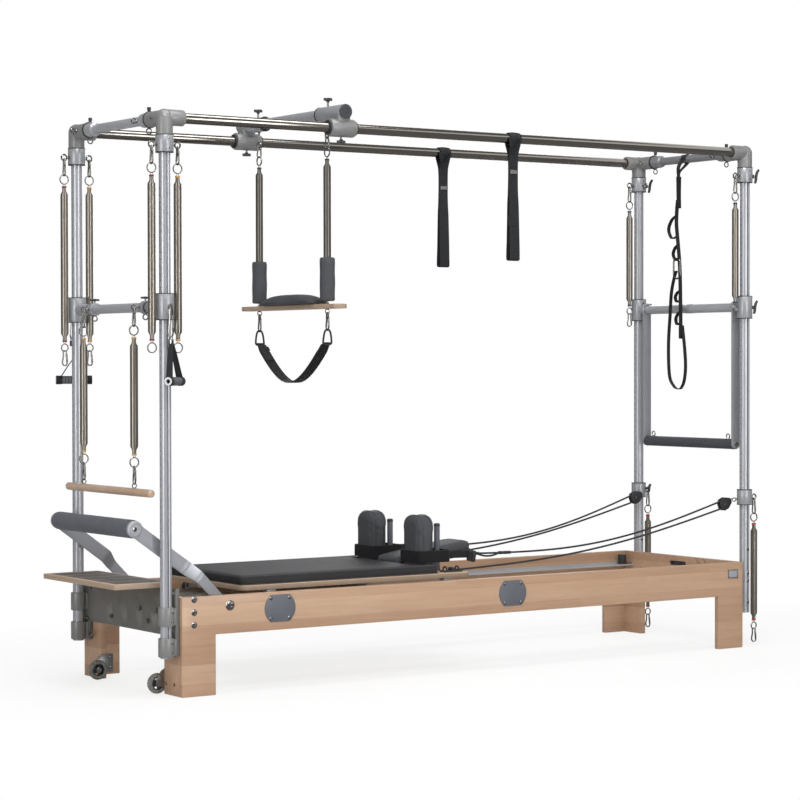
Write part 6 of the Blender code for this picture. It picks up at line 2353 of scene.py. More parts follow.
@dataclass
class Trapeze:
    """The trapeze: springs in padded sleeves, a plywood bar, an arched seat pad and a sling."""

    spring_top: float = 1.975
    sleeve_top: float = 1.602
    sleeve_low: float = 1.436
    bar_z: float = 1.416
    spacing: float = 0.25
    bar_half: float = 0.355
    bar_depth: float = 0.056
    bar_thickness: float = 0.018
    seat_half: float = 0.20
    seat_rise: float = 0.040
    seat_depth: float = 0.10
    sling_top: float = 1.277
    sling_low: float = 1.124
    sling_width: float = 0.040
    bend: float = 0.72
    body: str = "trapeze"

    def build(self) -> None:
        """Make the springs, the bar, the pad and the sling."""
        for side in Side:
            self.spring(side)
        self.wood()
        self.seat()
        self.sling()

    def spring(self, side: Side) -> None:
        """A spring whose lower half is in a padded sleeve.

        Args:
            side: Which one.
        """
        x, y = PLACE.trapeze_x, side.value * self.spacing
        form = Form()
        form.winding(x, y, self.spring_top - 0.003, self.sleeve_top - 0.03, WINDING_RADIUS, DARK_SPRING)
        form.bar((x, y, self.spring_top - CAP_LENGTH), (x, y, self.spring_top), 0.0088, PLASTIC, 0.0016, 28)
        ring_z = self.spring_top + RING_GAP + KEY_RING
        hook_loop(form, x, y, self.spring_top + LOOP_REACH, self.spring_top - LOOP_HOLD, (1, 0, 0))
        split_ring(form, x, y, ring_z, (1, 0, 0))
        form.snap(x, y, PLACE.trapeze_ring_z + 0.003, ring_z + 0.0146, (0, 1, 0))
        low = self.bar_z + self.bar_thickness / 2
        form.bar((x, y, low), (x, y, self.sleeve_low + 0.01), 0.0042, ZINC, 0.0006, 16)
        form.bar((x, y, low + 0.0003), (x, y, low + 0.0045), 0.0085, ZINC, 0.0008, 6)
        form.make(f"trapeze_winding_{side.label}", self.body, sharp=50.0, slot="spring_steel")
        sleeve = Form()
        length = self.sleeve_top - self.sleeve_low
        rows = []
        for d, r in self.sleeve_profile(length):
            angles = np.arange(44) * math.tau / 44
            ripple = 1 + 0.006 * np.sin(angles * 3 + d * 38) + 0.004 * np.sin(angles * 7 - d * 90)
            size = r * ripple
            rows.append(np.stack([x + size * np.cos(angles), y + size * np.sin(angles),
                                  np.full(44, self.sleeve_low + d)], axis=1))
        sleeve.loft(np.array(rows), VINYL, False, True, 0.18)
        seam = [(x - 0.0292 * math.cos(0.3), y - 0.0292 * math.sin(0.3), self.sleeve_low + d)
                for d in np.linspace(0.006, length - 0.006, 16)]
        sleeve.pipe(seam, 0.0007, THREAD, 6)
        piece = sleeve.make(f"trapeze_sleeve_{side.label}", self.body, f"trapeze_spring_{side.label}")

    def sleeve_profile(self, length: float) -> list[tuple[float, float]]:
        """Distance up a sleeve, and its radius there.

        Args:
            length: Of the sleeve.

        Returns:
            The pairs, from its foot up.
        """
        full = 0.0290
        ends = [(0.0, 0.0135), (0.0005, full - 0.0045), (0.003, full - 0.0015), (0.008, full)]
        body = [(d, full - 0.0005 * math.sin(d * 70)) for d in np.linspace(0.02, length - 0.02, 12)]
        return ends + body + [(length - d, r) for d, r in reversed(ends)]

    def wood(self) -> None:
        """The plywood bar with cut corners, and the eye screws under it."""
        x, half, depth = PLACE.trapeze_x, self.bar_half, self.bar_depth / 2
        low, top = self.bar_z - self.bar_thickness / 2, self.bar_z + self.bar_thickness / 2
        cut = 0.013
        outline = [
            (x - depth + cut, -half), (x + depth - cut, -half), (x + depth, -half + cut),
            (x + depth, half - cut),
            (x + depth - cut, half), (x - depth + cut, half), (x - depth, half - cut),
            (x - depth, -half + cut),
        ]
        form = Form().plate(outline, Axis.Z, low, top, PLY, 0.002, 3)
        for side in Side:
            y = side.value * self.spacing
            form.eyebolt((x, y, low - 0.009), (x, y, low + 0.0006), (0, 1, 0), 0.0088, 0.0023)
        form.make("trapeze_plywood_bar", self.body, "trapeze_bar")

    def seat(self) -> None:
        """The arched pad, swelled by a cloth simulation, with piping round its foot."""
        x = PLACE.trapeze_x
        low = self.bar_z + self.bar_thickness / 2 + 0.0006
        form = Form()
        rows, columns = 36, 22
        grid = []
        for i in range(rows + 1):
            t = 2 * i / rows - 1
            arch = (self.seat_rise - 0.004) * (1 - 0.55 * abs(t) ** 3)
            row = []
            for k in range(columns):
                angle = math.pi * k / (columns - 1)
                wide = -math.cos(angle) * (self.seat_depth / 2 - 0.003) * (1 - 0.25 * t ** 4)
                up = math.sin(angle) ** 0.6 * arch if 0 < k < columns - 1 else 0
                row.append((x + wide, t * (self.seat_half - 0.003), low + up))
            grid.append(row)
        form.loft(np.array(grid), VINYL)
        cover = swell(form, 0.004, 0.005, low - 0.0002)
        pad = cover.make("trapeze_arched_pad", self.body, "trapeze_seat_pad")
        piping = Form()
        edge = []
        for i in range(60):
            turn = math.tau * i / 60
            t = math.sin(turn)
            side = math.copysign(abs(math.cos(turn)) ** 0.28, math.cos(turn))
            edge.append((x + side * (self.seat_depth / 2 - 0.002) * (1 - 0.25 * t ** 4) * 0.985,
                         t * (self.seat_half - 0.002), low + 0.0026))
        piping.pipe(edge, 0.0018, VINYL, 8, True)
        piping.make("trapeze_pad_piping", self.body)

    def sling(self) -> None:
        """The folded webbing sling with its triangular rings and snap hooks."""
        x, half = PLACE.trapeze_x, self.spacing
        depth = self.sling_top - self.sling_low
        form = Form()
        path = []
        for i in range(61):
            t = 2 * i / 60 - 1
            rise = (math.hypot(t, self.bend) - self.bend) / (math.hypot(1, self.bend) - self.bend)
            path.append((x, t * half * 0.985, self.sling_low + 0.0022 + depth * rise))
        from_end = [1 - abs(2 * i / 60 - 1) for i in range(61)]
        spread = [self.sling_width * (0.80 + 0.40 * min(1.0, share * 7)) for share in from_end]
        form.band(path, (1, 0, 0.0), np.array(spread), 0.0036, LOOP_WEB)
        for s in (-1, 1):
            self.sling_end(form, [path[-1 - k] if s > 0 else path[k] for k in range(1, 12)], s)
        form.make("trapeze_webbing_sling", self.body, "trapeze_sling")

    def sling_end(self, form: Form, run: list[Point], s: int) -> None:
        """The turned-back end of the sling, its long black ring and its snap hook.

        Args:
            form: Where it is added.
            run: The sling's middle from its end on.
            s: Which end.
        """
        x, y = PLACE.trapeze_x, s * self.spacing
        lifted = [(p[0], p[1] - s * 0.0034, p[2] + 0.0016) for p in run[:9]]
        form.band(lifted, (1, 0, 0), self.sling_width * 0.98, 0.0022, WEB)
        tab = [(p[0] + 0.0185, p[1] - s * 0.0050, p[2] + 0.0026) for p in run[1:4]]
        form.band(tab, (1, 0, 0), 0.012, 0.0012, WEB)
        stitches(form, [Vector(lifted[k]) + Vector((0, -s * 0.0013, 0.0010)) for k in (3, 7)], (1, 0, 0),
                 0.028)
        low, high = self.sling_top - 0.006, self.bar_z - self.bar_thickness / 2 - 0.078
        tall = high - low
        triangle = [
            (x, y, high), (x + 0.0090, y, high - 0.004), (x + 0.0150, y, high - tall * 0.32),
            (x + 0.0185, y - s * 0.0010, low + tall * 0.24), (x + 0.0165, y - s * 0.002, low + 0.0035),
            (x, y - s * 0.002, low), (x - 0.0165, y - s * 0.002, low + 0.0035),
            (x - 0.0185, y - s * 0.0010, low + tall * 0.24), (x - 0.0150, y, high - tall * 0.32),
            (x - 0.0090, y, high - 0.004),
        ]
        form.pipe(smooth_path(triangle, 4, True), 0.0038, RUBBER, 12, True)
        form.snap(x, y, self.bar_z - self.bar_thickness / 2 - 0.0150, high - 0.0035, (1, 0, 0))


def stitches(form: Form, rows: Iterable[Point], way: Point, width: float, pitch: float = 0.0034) -> None:
    """Short raised stitches in rows across a strap.

    Args:
        form: Where they are added.
        rows: Middle of each row.
        way: The direction that a row runs.
        width: Length of a row.
        pitch: Distance from one stitch to the next.
    """
    run = Vector(way).normalized()
    for row in rows:
        count = int(width / pitch)
        for i in range(count):
            middle = Vector(row) + run * ((i + 0.5) / count - 0.5) * width
            form.bar(middle - run * pitch * 0.33, middle + run * pitch * 0.33, 0.00045, THREAD, 0.0002, 6)


def swell(
    form: Form, voxel: float, cap: float, floor: Optional[float] = None, pressure: float = 4.0,
    frames: int = 20
) -> Form:
    """Puff a padded shape up with a cloth simulation.

    Args:
        form: The shape, a little smaller than it should end.
        voxel: Size of the cloth's faces.
        cap: The most that a point may move.
        floor: Height of what it rests on, which it doesn't go through.
        pressure: Of the filling.
        frames: Steps of the simulation.

    Returns:
        A form with the swelled skin.
    """
    mesh = bpy.data.meshes.new("cloth_start")
    mesh.from_pydata(form.points, [], form.faces)
    shape = bmesh.new()
    shape.from_mesh(mesh)
    bmesh.ops.remove_doubles(shape, verts=shape.verts, dist=0.00001)
    bmesh.ops.recalc_face_normals(shape, faces=shape.faces)
    shape.to_mesh(mesh)
    shape.free()
    cloth = bpy.data.objects.new("cloth_start", mesh)
    bpy.context.collection.objects.link(cloth)
    remesh = cloth.modifiers.new("even", "REMESH")
    remesh.mode = "VOXEL"
    remesh.voxel_size = voxel
    graph = bpy.context.evaluated_depsgraph_get()
    even = bpy.data.meshes.new_from_object(cloth.evaluated_get(graph))
    cloth.modifiers.clear()
    cloth.data = even
    count = len(even.vertices)
    start = np.empty(count * 3)
    even.vertices.foreach_get("co", start)
    start = start.reshape(-1, 3)
    modifier = cloth.modifiers.new("pressure", "CLOTH")
    settings = modifier.settings
    settings.use_pressure = True
    settings.uniform_pressure_force = pressure
    settings.effector_weights.gravity = 0
    settings.quality = 4
    settings.mass = 0.4
    settings.tension_stiffness = 12
    settings.bending_stiffness = 0.4
    modifier.collision_settings.use_self_collision = False
    scene = bpy.context.scene
    for step in range(1, frames + 1):
        scene.frame_set(step)
    graph = bpy.context.evaluated_depsgraph_get()
    swollen = bpy.data.meshes.new_from_object(cloth.evaluated_get(graph))
    end = np.empty(count * 3)
    swollen.vertices.foreach_get("co", end)
    end = end.reshape(-1, 3)
    scene.frame_set(1)
    move = end - start
    size = np.linalg.norm(move, axis=1)
    move *= np.minimum(1.0, cap / np.maximum(size, 1e-9))[:, None]
    place = start + move
    if floor is not None:
        place[:, 2] = np.maximum(place[:, 2], floor)
    even.vertices.foreach_set("co", place.ravel())
    cloth.modifiers.clear()
    soft = cloth.modifiers.new("finer", "SUBSURF")
    soft.levels = 1
    soft.render_levels = 1
    graph = bpy.context.evaluated_depsgraph_get()
    final = bpy.data.meshes.new_from_object(cloth.evaluated_get(graph))
    made = Form()
    kind = made.kind(form.finishes[0])
    made.points = [tuple(v.co) for v in final.vertices]
    made.faces = [tuple(p.vertices) for p in final.polygons]
    made.kinds = [kind] * len(made.faces)
    made.lay = [(0.0, 0.0)] * sum(len(face) for face in made.faces)
    bpy.data.objects.remove(cloth, do_unlink=True)
    return made


def cushion(
    x0: float, x1: float, width: float, low: float, thickness: float, corner: float, crown: float,
    finish: Finish, roll: float = 0.009,
) -> Form:
    """A cushion with a crowned top, rounded corners and drawn-in sides.

    Args:
        x0, x1: Its two ends.
        width: Across it.
        low: Height of its foot.
        thickness: From foot to crown.
        corner: Radius of its corners.
        crown: How much higher its middle is than its edge.
        finish: Its cover.
        roll: How far its side bulges.

    Returns:
        The form.
    """
    half_x, half_y, middle = (x1 - x0) / 2, width / 2, (x0 + x1) / 2
    fine = filled(rounded_outline(-half_x, half_x, half_y, corner, 9), 0.03)
    levels = []
    for i in range(11):
        angle = math.radians(15 * i - 60)
        levels.append((roll * (1 - math.cos(angle)), (math.sin(angle) + 0.866) / 1.866))
    levels += [(half_y * share, 1.0) for share in (0.12, 0.25, 0.4, 0.55, 0.7, 0.85, 0.96)]
    rows = []
    for inset, rise in levels:
        row = []
        for px, py in fine:
            qx, qy = px * (half_x - inset) / half_x, py * (half_y - inset) / half_y
            lift = crown * (1 - (qx / half_x) ** 2) * (1 - (qy / half_y) ** 2) if rise == 1 else 0.0
            row.append((middle + qx, qy, low + (thickness - crown) * rise + lift))
        rows.append(row)
    return Form().loft(np.array(rows), finish)


# The carriage


@dataclass
class Carriage:
    """The carriage: board, rollers, pad, headrest, shoulder rests, their bands, and the rope cleats."""

    start: float = -0.98925
    end: float = 0.05375
    half: float = 0.3035
    low: float = 0.362
    top: float = 0.380
    corner: float = 0.03
    roller_z: float = 0.3248
    roller_radius: float = 0.0195
    roller_x: tuple[float, float] = (-0.86925, -0.06625)
    cleat_x: float = -0.00425
    cleat_y: float = 0.25
    pad_start: float = -0.98705
    pad_end: float = -0.15925
    pad_width: float = 0.582
    pad_low: float = 0.3803
    pad_thickness: float = 0.040
    ear_end: float = -0.0930
    ear_width: float = 0.0520
    anchor: float = -0.3634
    body: str = "carriage"

    def build(self) -> None:
        """Make the board, its running gear and its pad."""
        self.board()
        self.pad()
        HeadRest().build()
        for side in Side:
            ShoulderRest(side).build()

    def board(self) -> None:
        """Plywood, with rollers on brackets below and cleats on top."""
        form = Form()
        form.plate(rounded_outline(self.start, self.end, self.half, self.corner), Axis.Z, self.low,
                   self.top, PLY, 0.002, 3)
        for side in Side:
            s = side.value
            for x in self.roller_x:
                self.roller(form, x, s)
            self.cleat(form, s * self.cleat_y)
        x = self.anchor
        form.plate([(x - 0.0004, self.low), (x + 0.0126, self.low), (x + 0.0126, 0.315), (x - 0.0004, 0.315)],
                   Axis.Y, -0.18, 0.18, FITTING, 0.0016)
        for y in (-0.15, -0.09, 0.0, 0.09, 0.15):
            form.bar((x + 0.0124, y, 0.349), (x + 0.0158, y, 0.349), 0.0048, ZINC, 0.0007, 6)
        form.make("carriage_plywood_board", self.body, "carriage_board", slot="plywood")

    def roller(self, form: Form, x: float, s: int) -> None:
        """A roller with its bearing, on a folded bracket.

        Args:
            form: Where it is added.
            x: Of its axle.
            s: -1 on the near side, 1 on the far one.
        """
        z, r = self.roller_z, self.roller_radius
        form.lathe(
            (x, s * 0.3180, z), (x, s * 0.3396, z),
            [(0.0, 0.0075), (0.0, r - 0.002), (0.0016, r - 0.0003), (0.006, r), (0.0156, r),
             (0.020, r - 0.0003),
             (0.0216, r - 0.002), (0.0216, 0.0075), (0.0206, 0.0070), (0.001, 0.0070)], RUBBER, 44, True,
        )
        form.bar((x, s * 0.3125, z), (x, s * 0.3394, z), 0.0069, ZINC, 0.0006, 24)
        form.bar((x, s * 0.3165, z), (x, s * 0.3398, z), 0.0040, ZINC, 0.0006, 6)
        outside, inside = 0.3122, 0.2790
        y0, y1 = sorted((s * outside, s * inside))
        form.block((x - r + 0.001, y0, z - 0.0095), (x + r - 0.001, y1, z + 0.0005), FITTING, 0.0012)
        for outer, inner in ((outside, 0.3082), (0.2830, inside)):
            y0, y1 = sorted((s * outer, s * inner))
            form.block((x - r + 0.001, y0, z - 0.0095), (x + r - 0.001, y1, self.low - 0.0002), FITTING,
                       0.001)

    def cleat(self, form: Form, y: float) -> None:
        """A jam cleat: a black base with a fairlead and two toothed cams under bright screws.

        Args:
            form: Where it is added.
            y: Its middle.
        """
        x, top = self.cleat_x, self.top
        form.block((x - 0.046, y - 0.0190, top - 0.001), (x + 0.040, y + 0.0190, top + 0.0060), RUBBER,
                   0.0022, 3)
        for s in (-1, 1):
            outline = [(x - 0.014, y + s * 0.0042), (x - 0.004, y + s * 0.0030), (x + 0.010, y + s * 0.0048),
                       (x + 0.013, y + s * 0.0120), (x + 0.004, y + s * 0.0168), (x - 0.009, y + s * 0.0150)]
            form.plate(outline, Axis.Z, top + 0.0056, top + 0.0172, RUBBER, 0.0016)
            for k in range(5):
                tooth = x - 0.010 + 0.0042 * k
                form.bar((tooth, y + s * 0.0040, top + 0.0060), (tooth, y + s * 0.0040, top + 0.0144), 0.0010,
                         RUBBER, 0.0002, 6)
            screw = (x + 0.001, y + s * 0.0098)
            form.bar((*screw, top + 0.0166), (*screw, top + 0.0192), 0.0046, ZINC, 0.0010, 20)
        for shift in (-0.033, 0.024):
            arch = [(x + shift, y + 0.0135 * math.cos(a), top + 0.0050 + 0.0160 * math.sin(a))
                    for a in np.linspace(0, math.pi, 17)]
            form.pipe(arch, 0.0032, RUBBER, 12)
        for end in (-0.0410, 0.034):
            form.bar((x + end, y, top + 0.0050), (x + end, y, top + 0.0066), 0.0036, ZINC, 0.0007, 18)

    def pad(self) -> None:
        """The upholstered pad, swelled by a cloth simulation, with piping at its foot and head."""
        form = cushion(self.pad_start + 0.0015, self.pad_end - 0.0015, self.pad_width - 0.003,
                       self.pad_low + 0.0006, self.pad_thickness - 0.003, self.corner, 0.006, PAD_VINYL,
                       0.005)
        for side in Side:
            ear = cushion(self.pad_end - 0.036, self.ear_end, self.ear_width, self.pad_low + 0.0006,
                          self.pad_thickness - 0.009, 0.010, 0.0, PAD_VINYL, 0.005)
            middle = side.value * (self.pad_width / 2 - 0.0015 - self.ear_width / 2)
            form.graft(ear, lambda point: (point[0], point[1] + middle, point[2]))
        cover = swell(form, 0.006, 0.004, self.pad_low + 0.0002)
        piece = cover.make("carriage_upholstery", self.body, "carriage_pad")
        piping = Form()
        for z, inset in ((self.pad_low + 0.0026, 0.0026), (self.pad_low + self.pad_thickness * 0.80, 0.0016)):
            half, notch = self.pad_width / 2 - inset, self.pad_width / 2 - self.ear_width
            edge = [(self.ear_end - inset, -notch - inset), (self.ear_end - inset, -half),
                    (self.pad_start + inset, -half), (self.pad_start + inset, half),
                    (self.ear_end - inset, half), (self.ear_end - inset, notch + inset)]
            fine = filled([(*corner, z) for corner in edge], 0.04, 2, False)
            piping.pipe(smooth_path(fine, 2), 0.0015, VINYL, 8)
        piping.make("carriage_pad_piping", self.body)


@dataclass
class HeadRest:
    """The tilting headrest: a long cushion with a crease, on a dark board with a hinge."""

    hinge: Point = (-0.13925, 0.0, 0.3838)
    length: float = 0.385
    width: float = 0.17
    thickness: float = 0.049
    tilt: float = 9.0
    board: float = 0.011

    def build(self) -> None:
        """Make the board, the swelled cushion and the hinge."""
        hinge = Vector(self.hinge)
        tilt = Matrix.Rotation(-math.radians(self.tilt), 4, "Y")
        turn = Matrix.Translation(hinge) @ tilt @ Matrix.Translation(-hinge)
        low = hinge.z + self.board
        form = cushion(hinge.x - 0.007, hinge.x + self.length - 0.020, self.width - 0.003, low,
                       self.thickness - self.board - 0.003, 0.028, 0.003, VINYL, 0.007)
        form.points = [tuple(turn @ Vector(p)) for p in form.points]
        cover = swell(form, 0.005, 0.004)
        piece = cover.make("headrest_upholstery", "headrest", "headrest")
        wood = Form()
        x0, x1, half, corner = hinge.x + 0.004, hinge.x + self.length - 0.022, self.width / 2 - 0.003, 0.026
        wood.plate(rounded_outline(x0, x1, half, corner), Axis.Z, hinge.z + 0.0006, low + 0.0012, RUBBER,
                   0.0016)
        seam = [(x, s * (self.width / 2 - 0.0035), low + 0.0015) for s in (-1, 1) for x in
                np.linspace(x0 + 0.02, x1 - 0.02, 20)[::-s]]
        wood.pipe(seam, 0.0016, VINYL, 8, True)
        wood.points = [tuple(turn @ Vector(p)) for p in wood.points]
        wood.bar((hinge.x, -0.055, hinge.z), (hinge.x, 0.055, hinge.z), 0.0034, ZINC, 0.0005, 20)
        for y in (-0.0365, -0.012, 0.012, 0.0365):
            wood.bar((hinge.x, y - 0.0003, hinge.z), (hinge.x, y + 0.0003, hinge.z), 0.0035, RUBBER, 0.0001,
                     20)
        wood.make("headrest_board", "headrest")


@dataclass
class ShoulderRest:
    """A shoulder rest: a round-topped cushion on its post, with a padded strap loop about it."""

    side: Side
    x: float = -0.10625
    y: float = 0.166
    depth: float = 0.074
    width: float = 0.131
    low: float = 0.3803
    height: float = 0.226
    post_x: float = -0.01725
    post: float = 0.012
    post_height: float = 0.187
    band_z: float = 0.442
    band_height: float = 0.048
    band: float = 0.008
    tail: float = 0.1500
    tail_out: float = 0.040

    def build(self) -> None:
        """Make the cushion, the post and the loop."""
        y = self.side.value * self.y
        self.cushion(y)
        self.stand(y)
        self.loop(y)

    def outline(self, half: float, low: float, top: float) -> list[tuple[float, float]]:
        """A front view: square foot and domed head.

        Args:
            half: Half its width.
            low, top: Its foot and its head.

        Returns:
            The corners, from the foot's left end round.
        """
        points = [(-half, low), (-half * 0.4, low), (half * 0.4, low), (half, low)]
        shoulder = top - half
        points += [(half, low + (shoulder - low) * k / 6) for k in range(1, 6)]
        for i in range(17):
            angle = math.pi * i / 16
            points.append((half * math.copysign(abs(math.cos(angle)) ** 0.72, math.cos(angle)),
                           shoulder + half * math.sin(angle) ** 0.8))
        points += [(-half, low + (shoulder - low) * k / 6) for k in range(5, 0, -1)]
        return points

    def cushion(self, y: float) -> None:
        """The padded block, swelled by a cloth simulation, with piping round both faces.

        Args:
            y: Its middle.
        """
        levels = [(-1.0, 0.0165), (-0.985, 0.0100), (-0.93, 0.0048), (-0.80, 0.0014), (-0.5, 0.0002),
                  (0.0, 0.0), (0.5, 0.0002), (0.80, 0.0014), (0.93, 0.0048), (0.985, 0.0100), (1.0, 0.0165)]
        rows = []
        for share, inset in levels:
            x = self.x + share * (self.depth / 2 - 0.0015)
            outline = self.outline(self.width / 2 - 0.0015 - inset, self.low + 0.001 + inset * 0.4,
                                   self.low + self.height - 0.002 - inset)
            rows.append([(x, y + a, b) for a, b in outline])
        cover = swell(Form().loft(np.array(rows), VINYL), 0.0045, 0.004, self.low + 0.0004)
        piece = cover.make(f"shoulder_cushion_{self.side.label}", "carriage",
                           f"shoulder_rest_{self.side.label}")
        seam = Form()
        outline = self.outline(self.width / 2 - 0.0016, self.low + 0.003, self.low + self.height - 0.0022)
        for end in (-1, 1):
            x = self.x + end * self.depth * 0.27
            seam.pipe([(x, y + a, b) for a, b in outline], 0.0009, VINYL, 6, True)
        seam.make(f"shoulder_seam_{self.side.label}", "carriage")

    def stand(self, y: float) -> None:
        """The dark post behind the cushion, its foot plate and its pin.

        Args:
            y: Its middle.
        """
        form = Form()
        x, top = self.post_x, self.low + self.post_height
        form.bar((x, y, self.low), (x, y, top - 0.012), self.post - 0.0004, SLATE, 0.001, 32)
        form.lathe((x, y, top - 0.0125), (x, y, top), [(0, self.post + 0.0004), (0.008, self.post + 0.0004),
                   (0.0112, self.post - 0.002), (0.0125, self.post - 0.005)], PLASTIC, 32)
        form.sleeve((x, y, self.low), (x, y, self.low + 0.012), self.post + 0.0012, self.post - 0.0006,
                    SLATE, 0.002)
        form.block((self.x + self.depth / 2 - 0.004, y - 0.0115, self.low + 0.0005),
                   (x + 0.002, y + 0.0115, self.low + 0.0045), SLATE, 0.001)
        for z in (self.low + 0.030, self.low + 0.058):
            form.block((self.x + self.depth / 2 - 0.006, y - 0.008, z - 0.006),
                       (x - 0.004, y + 0.008, z + 0.006), SLATE, 0.0012)
        for k in range(5):
            z = self.low + 0.088 + 0.018 * k
            form.bar((x + self.post - 0.002, y, z), (x + self.post - 0.0002, y, z), 0.0026, RUBBER, 0.0002,
                     16)
        form.bar((x - 0.020, y, self.low + 0.0043), (x - 0.020, y, self.low + 0.0068), 0.005, ZINC, 0.0007, 6)
        form.make(f"shoulder_post_{self.side.label}", "carriage")

    def loop(self, y: float) -> None:
        """The padded band round the rest and its webbing tail with an adjuster.

        Args:
            y: The rest's middle.
        """
        z, form = self.band_z, Form()
        x0, x1 = -0.14755, -0.00095
        half, corner = 0.0700, 0.016
        path = []
        for cx, cy, start in ((x1 - corner, half - corner, 0), (x0 + corner, half - corner, 90),
                              (x0 + corner, corner - half, 180), (x1 - corner, corner - half, 270)):
            for i in range(7):
                angle = math.radians(start + 15 * i)
                path.append((cx + corner * math.cos(angle), y + cy + corner * math.sin(angle), z))
        fine = filled(path, 0.012)
        form.band(fine, (0, 0, 1), self.band_height - 0.001, self.band - 0.0012, PADDED_WEB, True)
        for edge in (-1, 1):
            run = [(p[0], p[1], z + edge * (self.band_height / 2 - 0.0022)) for p in fine]
            form.pipe(run, 0.0021, WEB, 8, True)
        form.band([(p[0] + (0.0044 if p[0] > x1 - 0.002 else 0), p[1], z) for p in fine if p[0] > x1 - 0.002],
                  (0, 0, 1), 0.024, 0.0016, WEB)
        end = self.tail
        y += self.side.value * self.tail_out
        tail = [(x1 - 0.001, y, z), (x1 + 0.02, y, z), (x1 + 0.045, y, z + 0.0015), (end - 0.040, y, z)]
        form.band(smooth_path(tail, 6), (0, 0, 1), 0.0300, 0.0032, WEB)
        lap = [(x1 + 0.004, y - 0.0036, z), (x1 + 0.034, y - 0.0036, z + 0.0004)]
        form.band(smooth_path(lap, 6), (0, 0, 1), 0.0270, 0.0026, WEB)
        for x in (x1 + 0.0085, x1 + 0.0290):
            stitches(form, [(x, y - 0.0050, z)], (0, 0, 1), 0.021)
        centre, lean = Vector((end - 0.0265, 0, z - 0.009)), math.radians(-14)
        ahead = Vector((math.cos(lean), 0, math.sin(lean)))
        upward = Vector((-math.sin(lean), 0, math.cos(lean)))
        corners = [centre + ahead * a + upward * b for a, b in (
            (-0.0195, -0.0170), (-0.0150, -0.0225), (0.0150, -0.0225), (0.0190, -0.0170), (0.0175, 0.0185),
            (0.0130, 0.0230),
            (-0.0150, 0.0230), (-0.0195, 0.0170))]
        form.plate([(corner.x, corner.z) for corner in corners], Axis.Y, y - 0.0062, y + 0.0062, RUBBER,
                   0.0028, 3)
        for share in (-0.010, 0.006):
            first, last = (centre + ahead * share + upward * reach for reach in (-0.0165, 0.0165))
            form.bar((first.x, y - 0.0060, first.z), (last.x, y - 0.0060, last.z), 0.0030, PLASTIC, 0.0012,
                     14)
        fold = [centre + ahead * a + Vector((0, y - 0.0072 - b, 0))
                for a, b in ((-0.0225, 0.0), (-0.010, 0.0030), (-0.002, 0.0005))]
        form.band(smooth_path(fold, 6), tuple(upward), 0.0290, 0.0024, WEB)
        form.bar((end - 0.0085, y, z), (end - 0.0004, y, z), 0.0034, PLASTIC, 0.0010, 14)
        form.make(f"strap_band_{self.side.label}", "carriage", f"strap_loop_{self.side.label}",
                  slot="black_webbing")


# The foot end


